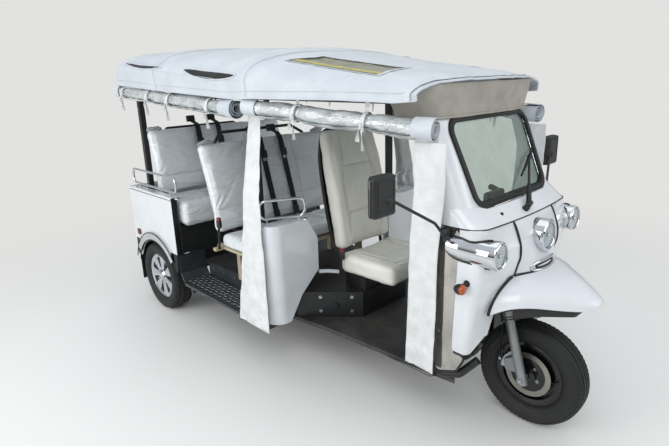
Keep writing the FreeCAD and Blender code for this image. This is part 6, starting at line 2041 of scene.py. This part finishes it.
    def wiper(self) -> Object:
        """The wiper: a hinge block, a spring cover, a flat arm and the blade on its yoke."""
        foot, knee = Vector((1.366, -0.042, 1.158)), Vector((1.362, -0.004, 1.176))
        tip = Vector((1.230, 0.245, 1.362))
        cover = knee + (tip - knee) * 0.42
        cap = [(0.0, 0.030), (0.010, 0.029), (0.015, 0.022), (0.0165, 0.010), (0.0165, -0.004), (0.0, -0.004)]
        hinge = [foot + Vector((0.008, 0.0, 0.012)), knee + Vector((0.006, 0.008, 0.006))]
        parts = [turned_piece("hinge_cap", cap, foot - Vector((0.006, 0, 0.004)), (0.637, 0, 0.771), PLASTIC, 24),
                 bar_piece("hinge_block", hinge, 0.0125, PLASTIC, 12),
                 bar_piece("spring_cover", [knee, knee + (cover - knee) * 0.5, cover], [0.0135, 0.0120, 0.0085],
                           PLASTIC, 12),
                 bar_piece("arm", [cover, tip], 0.0062, PLASTIC, 8)]
        low, high = Vector((1.257, 0.115, 1.284)), Vector((1.204, 0.325, 1.402))
        lift, half = Vector((0.006, 0.0, 0.004)), Vector((0.012, 0.012, 0.010))
        parts.append(bar_piece("blade", [low, high], 0.0052, GASKET, 8))
        yoke = [low + (high - low) * 0.18 + lift, tip + lift, low + (high - low) * 0.86 + lift]
        parts.append(bar_piece("yoke", yoke, 0.0052, PLASTIC, 8))
        parts.append(soft_box("clip", tip - Vector((0.008, 0.012, 0.010)), tip + half, 0.004, PLASTIC))
        return joined("wiper_set", parts)

    def fixings(self) -> list:
        """Screws along the steel strips and panels, and the rubber edge behind the strips."""
        spots, edges, sheets = [], [], []
        shape = ((1.107, 1.128), (1.264, 1.131), (1.243, 0.512), (1.325, 0.514), (1.276, 0.418), (1.164, 0.373),
                 (1.112, 0.470))
        for side in SIDES:
            for x, z in ((1.172, 1.100), (1.172, 0.850), (1.172, 0.600), (1.205, 0.420), (1.262, 0.440)):
                spots.append(((x, side * 0.4624, z), (0, side, 0)))
            outline = rounded_path([(x, side * SHIELD_Y, z) for x, z in shape], 0.030, True)
            sheets.append(slab_piece("strip", outline, (0, side * 0.0018, 0), MIRROR_SHEET))
            edges.append(bar_piece("strip_edge", [p for p in outline if p[2] < 0.52], 0.0060, GASKET, 8))
            edges.append(bar_piece("strip_side", [(1.107, side * 0.4630, z) for z in np.linspace(0.47, 1.125, 12)],
                                   0.0055, GASKET, 8))
            sill = rounded_path([(1.120, side * 0.440, 0.440), (1.164, side * 0.440, 0.352),
                                 (1.276, side * 0.430, 0.388), (1.345, side * 0.380, 0.470)], 0.04)
            edges.append(bar_piece("sill", sill, 0.020, PLASTIC, 12))
        heads = fasteners("strip_screws", spots, BRIGHT_STEEL, 0.0042, 0.0022, 10)
        return [joined("strip_edges", edges), heads, joined("strip_sheets", sheets)]

    def mirrors(self) -> list:
        """The mirror glasses, the ribbed rims of their housings and the arm's boots."""
        glass, rims = [], []
        for side in SIDES:
            y = side * 0.800
            glass.append(soft_box("face", (1.0838, y - 0.060, 1.247), (1.0862, y + 0.060, 1.398), 0.001,
                                  MIRROR_GLASS))
            for x, extra in ((1.088, 0.0020), (1.096, 0.0022), (1.104, 0.0018), (1.112, 0.0010)):
                corners = upright(x, y, 0.066, 1.237, 1.408, extra)
                rims.append(bar_piece("rib", rounded_path(corners, 0.022, True), 0.0024, PLASTIC, 6, True))
            inner = upright(1.1252, y, 0.050, 1.255, 1.390)
            rims.append(bar_piece("panel", rounded_path(inner, 0.02, True), 0.0022, PLASTIC, 6, True))
            rims.append(turned_piece("ball", [(0.0, 0.012), (0.010, 0.011), (0.016, 0.006), (0.020, 0.0)],
                                     (1.1245, side * 0.780, 1.300), (1, 0, 0), PLASTIC, 28))
            rims.append(side_box("arm_foot", (1.184, side * 0.4608, 1.062), (1.222, side * 0.487, 1.128), 0.008,
                                 PLASTIC))
        return [joined("mirror_glasses", glass), joined("mirror_housing_ribs", rims)]

    def build(self) -> None:
        """Makes the front body's fittings."""
        dress(self.gaskets())
        self.lamps()
        self.signals()
        dress(self.screen())
        dress(self.fender_skin(), replaces=["front_fender"])
        dress(self.liner(), replaces=["fender_liner"])
        dress(self.wiper(), replaces=["wiper"])
        edges, heads, sheets = self.fixings()
        dress(edges)
        dress(sheets, replaces=["kick_strips"])
        dress(heads)
        dress_all(self.mirrors(), ("polished", "black_plastic"))


# Rear body, steps and cabin

@dataclass
class RearBody:
    """Trims, fixings and skirts of the rear quarters, panel and bumper."""

    fold_x: float = -0.982
    side_y: float = 0.724
    axle: tuple = (-1.348, 0.280)
    panel_x: float = -1.7085

    def trims(self) -> list:
        """Rubber edges round the quarters' openings and the dark skirt under them."""
        rubber, skirt = [], []
        for side in SIDES:
            y = side * (self.side_y + 0.0012)
            middle, half = np.array([self.fold_x + 0.0010, side * 0.703, 0.694]), np.array([0.002, 0.0235, 0.290])
            rubber.append(soft_box("fold_band", middle - half, middle + half, 0.0015, GASKET))
            rubber.append(bar_piece("cap_line", [(x, y, 0.9655) for x in np.linspace(-1.698, -0.984, 14)], 0.0022,
                                    GASKET, 6))
            for edge in (0.3085, 0.3655):
                arc = [(self.axle[0] + edge * math.cos(a), side * 0.7375, self.axle[1] + edge * math.sin(a))
                       for a in np.linspace(math.radians(16), math.radians(164), 60)]
                rubber.append(bar_piece("arch_line", arc, 0.0042, GASKET, 8))
            for low, high in ((-1.690, -1.648), (-1.038, -0.990)):
                skirt.append(side_box("skirt", (low, y, 0.404), (high, y + side * 0.003, 0.545), 0.001, PLASTIC))
            skirt.append(side_box("marker", (-1.642, y, 0.586), (-1.594, y + side * 0.012, 0.634), 0.006, RED))
        return [joined("rear_edge_rubber", rubber), joined("rear_skirts", skirt)]

    def back(self) -> list:
        """The rear panel's pressings, the blank plate bracket, latches and the bumper's caps and bolts."""
        pressing = bar_piece("pressing",
                             rounded_path(upright(self.panel_x - 0.001, 0.0, 0.46, 0.54, 0.90), 0.05, True), 0.0045,
                             WHITE_PANEL, 8, True)
        plate = soft_box("plate", (-1.7145, -0.150, 0.600), (self.panel_x, 0.150, 0.710), 0.002, PLASTIC)
        latch = bar_piece("latch", spline([(-1.712, -0.045, 0.800), (-1.738, -0.040, 0.800), (-1.738, 0.040, 0.800),
                                           (-1.712, 0.045, 0.800)], 16), 0.0055, CHROME, 10)
        spots = [((x, y, z), (-1, 0, 0)) for x, z, ys in (
            (self.panel_x, 0.948, (-0.62, -0.31, 0.0, 0.31, 0.62)), (self.panel_x, 0.560, (-0.62, 0.62)),
            (-1.7402, 0.467, (-0.60, -0.36, 0.36, 0.60))) for y in ys]
        dark = []
        for side in SIDES:
            for z in (0.615 + 0.016 * k for k in range(6)):
                dark.append(soft_box("vent", (-1.7125, side * 0.36 - 0.07, z),
                                     (self.panel_x, side * 0.36 + 0.07, z + 0.008), 0.0015, PLASTIC))
            dark.append(side_box("cap", (-1.742, side * 0.694, 0.430), (-1.706, side * 0.706, 0.504), 0.004, RUBBER))
        return [joined("rear_panel_pressings", [pressing, plate]),
                joined("rear_fittings", [latch, fasteners("rear_bolts", spots, BRIGHT_STEEL, 0.0062, 0.004)]),
                joined("rear_vents", dark)]

    def flaps(self) -> Object:
        """Ribs on the mud flaps."""
        parts = []
        for side in SIDES:
            for k in range(7):
                z = 0.195 + 0.020 * k
                parts.append(bar_piece("flap_rib", [(-1.6842, side * (0.660 + 0.055 * t), z)
                                                             for t in (-1.0, 1.0)], 0.0024, RUBBER, 6))
        return joined("mud_flap_ribs", parts)

    def build(self) -> None:
        """Makes the rear body's fittings."""
        dress_all(self.trims(), ("rubber", "black_plastic"))
        dress_all(self.back(), ("white_panel", "silver_steel", "black_plastic"))
        dress(self.flaps())


@dataclass
class Cabin:
    """Steps' tread, floor mats, under-seat fixings, rails' bosses and other small cabin parts."""

    step_low: tuple = (-0.914, -0.712)
    step_high: tuple = (-0.088, -0.508)
    step_z: float = 0.3452
    pitch: float = 0.030

    def tread(self) -> Object:
        """Raised bars on the side steps' plates."""
        parts = []
        for side in SIDES:
            spots = []
            for x in np.arange(self.step_low[0], self.step_high[0], self.pitch):
                for y in np.arange(self.step_low[1], self.step_high[1], self.pitch):
                    spots.append((x, -side * y, self.step_z))
            mesh = bpy.data.meshes.new("spots")
            mesh.from_pydata([tuple(float(v) for v in p) for p in spots], [], [])
            parts.append(grow(f"tread{side}", plate_tree, mesh, ALLOY, Pitch=self.pitch, Bar_Length=0.0145,
                              Bar_Width=0.0048, Bar_Height=0.0024))
        return joined("step_tread_bars", parts)

    def step_edges(self) -> list:
        """Rubber nosing along the steps and bolts on their inner walls."""
        nosing, spots = [], []
        for side in SIDES:
            run = [(x, side * 0.7215, 0.3435) for x in np.linspace(-0.925, -0.078, 20)]
            nosing.append(bar_piece("nosing", run, 0.0080, GASKET, 10, flat=0.7))
            for x in np.linspace(-0.86, -0.14, 6):
                spots.append(((float(x), side * 0.5025, 0.408), (0, side, 0)))
            for x in (-0.86, -0.50, -0.14):
                spots.append(((x, side * 0.640, 0.3455), (0, 0, 1)))
        return [joined("step_nosing", nosing), fasteners("step_bolts", spots, BRIGHT_STEEL, 0.0058, 0.0032)]

    def floor(self) -> Object:
        """Ribbed mats on the driver's floor and the passengers' deck."""
        parts = []
        for name, half, z, ends in (("deck_rib", 0.46, 0.4508, (-0.425, 0.045)),
                                    ("floor_rib", 0.44, 0.3068, (0.455, 1.120))):
            for y in np.arange(-half, half + 0.001, 0.020):
                parts.append(bar_piece(name, [(x, y, z) for x in ends], 0.0022, FLOOR_MAT, 5))
        return joined("floor_mat_ribs", parts)

    def seat_box(self) -> list:
        """The driver's seat box: bolts, a knob and a small bracket."""
        spots = []
        for side in SIDES:
            for share in (0.35, 0.83):
                for z in (0.371, 0.466):
                    spots.append(((0.130 + 0.310 * share + 0.0005, side * (0.490 - 0.275 * share + 0.0005), z),
                                  (0.664, side * 0.748, 0)))
        silver = fasteners("seat_box_bolts", spots, BRIGHT_STEEL, 0.0078, 0.0050)
        knob = turned_piece("seat_box_knob",
                            [(0.0, 0.020), (0.010, 0.019), (0.014, 0.014), (0.015, 0.004), (0.011, 0.0)],
                            (0.3134, -0.3283, 0.412), (0.664, -0.748, 0), PLASTIC, 28)
        bracket = bar_piece("seat_bracket", [(0.184, -0.345, 0.612), (0.205, -0.295, 0.606),
                                                      (0.242, -0.232, 0.592)], 0.017, WHITE_PANEL, 12, flat=0.7)
        return [silver, knob, bracket]

    def bosses(self) -> Object:
        """Flanges where the grab rails and seat hoops meet the body."""
        flange = [(0.009, 0.010), (0.013, 0.008), (0.020, 0.003), (0.021, 0.0), (0.0, 0.0)]
        parts = [turned_piece("flange", flange, (x, side * y, z), (0, 0, 1), CHROME, 28)
                 for side in SIDES for x, y, z in ((-1.640, 0.700, 0.9856), (-0.930, 0.700, 0.9856),
                                                   (0.050, 0.680, 0.9755), (0.170, 0.430, 0.9755))]
        return joined("rail_flanges", parts)

    def dash(self) -> Object:
        """Switches, a round knob row and a tray lip on the dash."""
        parts = []
        for k in range(4):
            y = -0.300 + 0.050 * k
            parts.append(soft_box("switch", (1.1140, y - 0.016, 0.950), (1.1240, y + 0.016, 0.990), 0.003, PLASTIC))
        for k in range(2):
            parts.append(turned_piece("knob", [(0.0, 0.022), (0.012, 0.021), (0.016, 0.016), (0.017, 0.0)],
                                      (1.1235, 0.240 + 0.070 * k, 0.970), (-1, 0, 0), PLASTIC, 28))
        lip = [(1.1145, -0.42, 0.86), (1.1145, -0.16, 0.86), (1.1145, -0.16, 0.70), (1.1145, -0.42, 0.70)]
        for side in SIDES:
            parts.append(bar_piece("tray", rounded_path([(x, y * side, z) for x, y, z in lip], 0.03, True), 0.006,
                                   PLASTIC, 8, True))
        parts.append(bar_piece("pedal_arm", spline([(1.100, -0.105, 0.372), (1.040, -0.105, 0.345),
                                                    (0.990, -0.105, 0.3375)], 10), 0.006, BLACK_STEEL, 8))
        parts.append(soft_box("pedal", (0.930, -0.140, 0.3305), (1.010, -0.070, 0.3445), 0.004, RUBBER))
        return joined("dash_fittings", parts)

    def frame_bolts(self) -> Object:
        """Bolts where the posts are fixed."""
        spots = []
        for side in SIDES:
            for x in (-1.540, -0.040):
                for z in (1.02, 1.60):
                    spots.append(((x, side * 0.6305, z), (0, side, 0)))
        return fasteners("frame_bolts", spots, BRIGHT_STEEL, 0.0055, 0.0035)

    def build(self) -> None:
        """Makes the cabin's and steps' fittings."""
        dress(self.tread())
        dress_all(self.step_edges(), ("rubber", "silver_steel"))
        dress(self.floor())
        dress_all(self.seat_box(), ("silver_steel", "black_plastic", "white_panel"))
        dress(self.bosses())
        dress(self.dash())
        dress(self.frame_bolts())


# CAD nodes' finishes

NODE_FINISHES: dict = {
    "chassis_frame": BLACK_STEEL, "roof_frame": BLACK_STEEL, "belt_hoops": BLACK_STEEL, "drive_axle": BLACK_STEEL,
    "battery_pack": BATTERY_CASE, "floor_pan": FLOOR_MAT, "passenger_deck": FLOOR_MAT, "side_steps": TREAD_ALLOY,
    "rear_quarters": WHITE_PANEL, "rear_panel": WHITE_PANEL, "mid_pods": WHITE_PANEL, "upper_cowl": WHITE_PANEL,
    "leg_shields": WHITE_PANEL, "nose_panel": WHITE_PANEL,
    # The rear bench box gets black plastic as painted shade, for the deep shade under the rear seat.
    "rear_bench_box": PLASTIC, "arch_trims": CHROME, "mud_flaps": RUBBER,
    "windscreen_seal": RUBBER, "grab_rails": CHROME, "driver_seat_box": PLASTIC,
    "dash_panel": PLASTIC, "mirrors": PLASTIC, "rear_bumper": BLACK_STEEL,
    "middle_bench_frame": BENCH_STEEL, "windscreen": SCREEN_GLASS, "fork": GREY_STEEL, "handlebar": BLACK_STEEL,
    "brake_caliper": BRIGHT_STEEL, "brake_disc": DISC_STEEL, "front_rim": GLOSS_BLACK, "rear_rim_right": ALLOY,
    "rear_rim_left": ALLOY}


def paint_nodes() -> None:
    """Gives each CAD node that stays in view its finish."""
    for name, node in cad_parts.items():
        finish = NODE_FINISHES.get(name)
        if finish is None:
            continue
        node.data.materials.clear()
        node.data.materials.append(paint(finish))


# Studio

@dataclass(frozen=True)
class Studio:
    """A plain pale floor, soft lights and a camera at the photograph's angle.

    yaw, pitch and roll are radians, and the focal length is in pixels of a picture that
    is frame_px wide.
    """

    eye: tuple = (2.4350, -2.3515, 1.8054)
    yaw: float = 2.37833561
    pitch: float = 0.28283257
    roll: float = 0.03139742
    focal_px: float = 505.965
    frame_px: float = 669.0
    sensor: float = 36.0
    floor_half: float = 30.0
    fade: tuple = (1.3, 5.2)
    backdrop: str = "#e2e2e0"

    def floor(self) -> None:
        """A wide plain floor."""
        h = self.floor_half
        points = np.array([(-h, -h, 0.0), (h, -h, 0.0), (h, h, 0.0), (-h, h, 0.0)])
        mesh = bpy.data.meshes.new("floor")
        mesh.from_pydata([tuple(p) for p in points], [], [(0, 1, 2, 3)])
        piece = put("floor", mesh)
        material = bpy.data.materials.new("studio_floor")
        material.use_nodes = True
        tree = material.node_tree
        shader = tree.nodes["Principled BSDF"]
        shader.inputs["Base Color"].default_value = linear("#ebebe9")
        shader.inputs["Roughness"].default_value = 0.75
        where = add_node(tree, "ShaderNodeTexCoord")
        away = add_node(tree, "ShaderNodeVectorMath", {0: where.outputs["Object"]}, operation="LENGTH")
        far = add_node(tree, "ShaderNodeMapRange", {"Value": away.outputs["Value"], "From Min": self.fade[0],
                                                    "From Max": self.fade[1]}, interpolation_type="SMOOTHSTEP")
        plain = add_node(tree, "ShaderNodeEmission", {"Color": linear(self.backdrop)})
        blend = add_node(tree, "ShaderNodeMixShader", {0: far.outputs[0], 1: shader.outputs[0], 2: plain.outputs[0]})
        tree.links.new(blend.outputs[0], tree.nodes["Material Output"].inputs[0])
        piece.data.materials.append(material)

    def lamp(self, name: str, spot: Point, aim: Point, size: float, power: float) -> None:
        """A square soft light turned towards a point."""
        light = bpy.data.lights.new(name, "AREA")
        light.shape = "SQUARE"
        light.size = size
        light.energy = power
        lamp = bpy.data.objects.new(name, light)
        lamp.location = spot
        lamp.rotation_euler = (Vector(aim) - Vector(spot)).to_track_quat("-Z", "Y").to_euler()
        bpy.context.scene.collection.objects.link(lamp)

    def sky(self) -> None:
        """A graded surround: pale above, darker at the horizon for the metals, one flat tone to the camera."""
        world = bpy.data.worlds.new("studio")
        bpy.context.scene.world = world
        world.use_nodes = True
        tree = world.node_tree
        tree.nodes.clear()
        where = add_node(tree, "ShaderNodeTexCoord")
        height = add_node(tree, "ShaderNodeSeparateXYZ", {0: where.outputs["Generated"]})
        ramp = add_node(tree, "ShaderNodeValToRGB", {0: height.outputs["Z"]})
        stops = ramp.color_ramp
        stops.elements[0].position = 0.0
        stops.elements[0].color = linear("#3a3b3c")
        stops.elements[1].position = 1.0
        stops.elements[1].color = linear("#e9edf2")
        for at, code in ((0.10, "#6d6f70"), (0.22, "#b5b8ba"), (0.45, "#dfe3e7")):
            stops.elements.new(at).color = linear(code)
        lit = add_node(tree, "ShaderNodeBackground", {"Color": ramp.outputs[0], "Strength": 0.84})
        plain = add_node(tree, "ShaderNodeBackground", {"Color": linear(self.backdrop), "Strength": 1.0})
        rays = add_node(tree, "ShaderNodeLightPath")
        shown = add_node(tree, "ShaderNodeMath",
                         {0: rays.outputs["Is Camera Ray"], 1: rays.outputs["Is Transmission Ray"]},
                         operation="MAXIMUM")
        blend = add_node(tree, "ShaderNodeMixShader", {0: shown.outputs[0], 1: lit.outputs[0], 2: plain.outputs[0]})
        out = add_node(tree, "ShaderNodeOutputWorld", {0: blend.outputs[0]})
        out.is_active_output = True

    def camera(self) -> None:
        """The camera, at the photograph's place, turn and lens."""
        cp, sp = math.cos(self.pitch), math.sin(self.pitch)
        cy, sy = math.cos(self.yaw), math.sin(self.yaw)
        ahead = Vector((cp * cy, cp * sy, -sp))
        level = Vector((sy, -cy, 0.0))
        down = ahead.cross(level)
        right = level * math.cos(self.roll) + down * math.sin(self.roll)
        low = -level * math.sin(self.roll) + down * math.cos(self.roll)
        data = bpy.data.cameras.new("camera")
        data.sensor_width = self.sensor
        data.lens = self.focal_px * self.sensor / self.frame_px
        data.clip_end = 200.0
        camera = bpy.data.objects.new("camera", data)
        turn = Matrix((right, -low, -ahead)).transposed().to_4x4()
        camera.matrix_world = Matrix.Translation(self.eye) @ turn
        bpy.context.scene.collection.objects.link(camera)
        bpy.context.scene.camera = camera

    def build(self) -> None:
        """Sets up the studio."""
        self.floor()
        self.sky()
        self.lamp("key", (3.4, -3.6, 4.6), (0.0, 0.0, 0.9), 3.4, 88.0)
        self.lamp("side", (-1.2, -5.2, 2.3), (-0.2, 0.0, 0.9), 3.2, 120.0)
        self.lamp("front", (5.2, 1.6, 2.6), (1.0, 0.0, 0.8), 2.6, 40.0)
        self.lamp("top", (-0.4, 0.6, 5.4), (-0.4, 0.0, 1.0), 4.2, 34.0)
        bpy.context.scene.view_settings.view_transform = "Standard"
        self.camera()


def main() -> None:
    """Builds every piece and the studio."""
    logging.basicConfig(level=logging.INFO, format="%(message)s")
    paint_nodes()
    CanvasRoof().build()
    Curtains().build()
    PillarStrips().build()
    Seats().build()
    RunningGear().build()
    FrontBody().build()
    RearBody().build()
    Cabin().build()
    Studio().build()


if __name__ == "__main__":
    main()
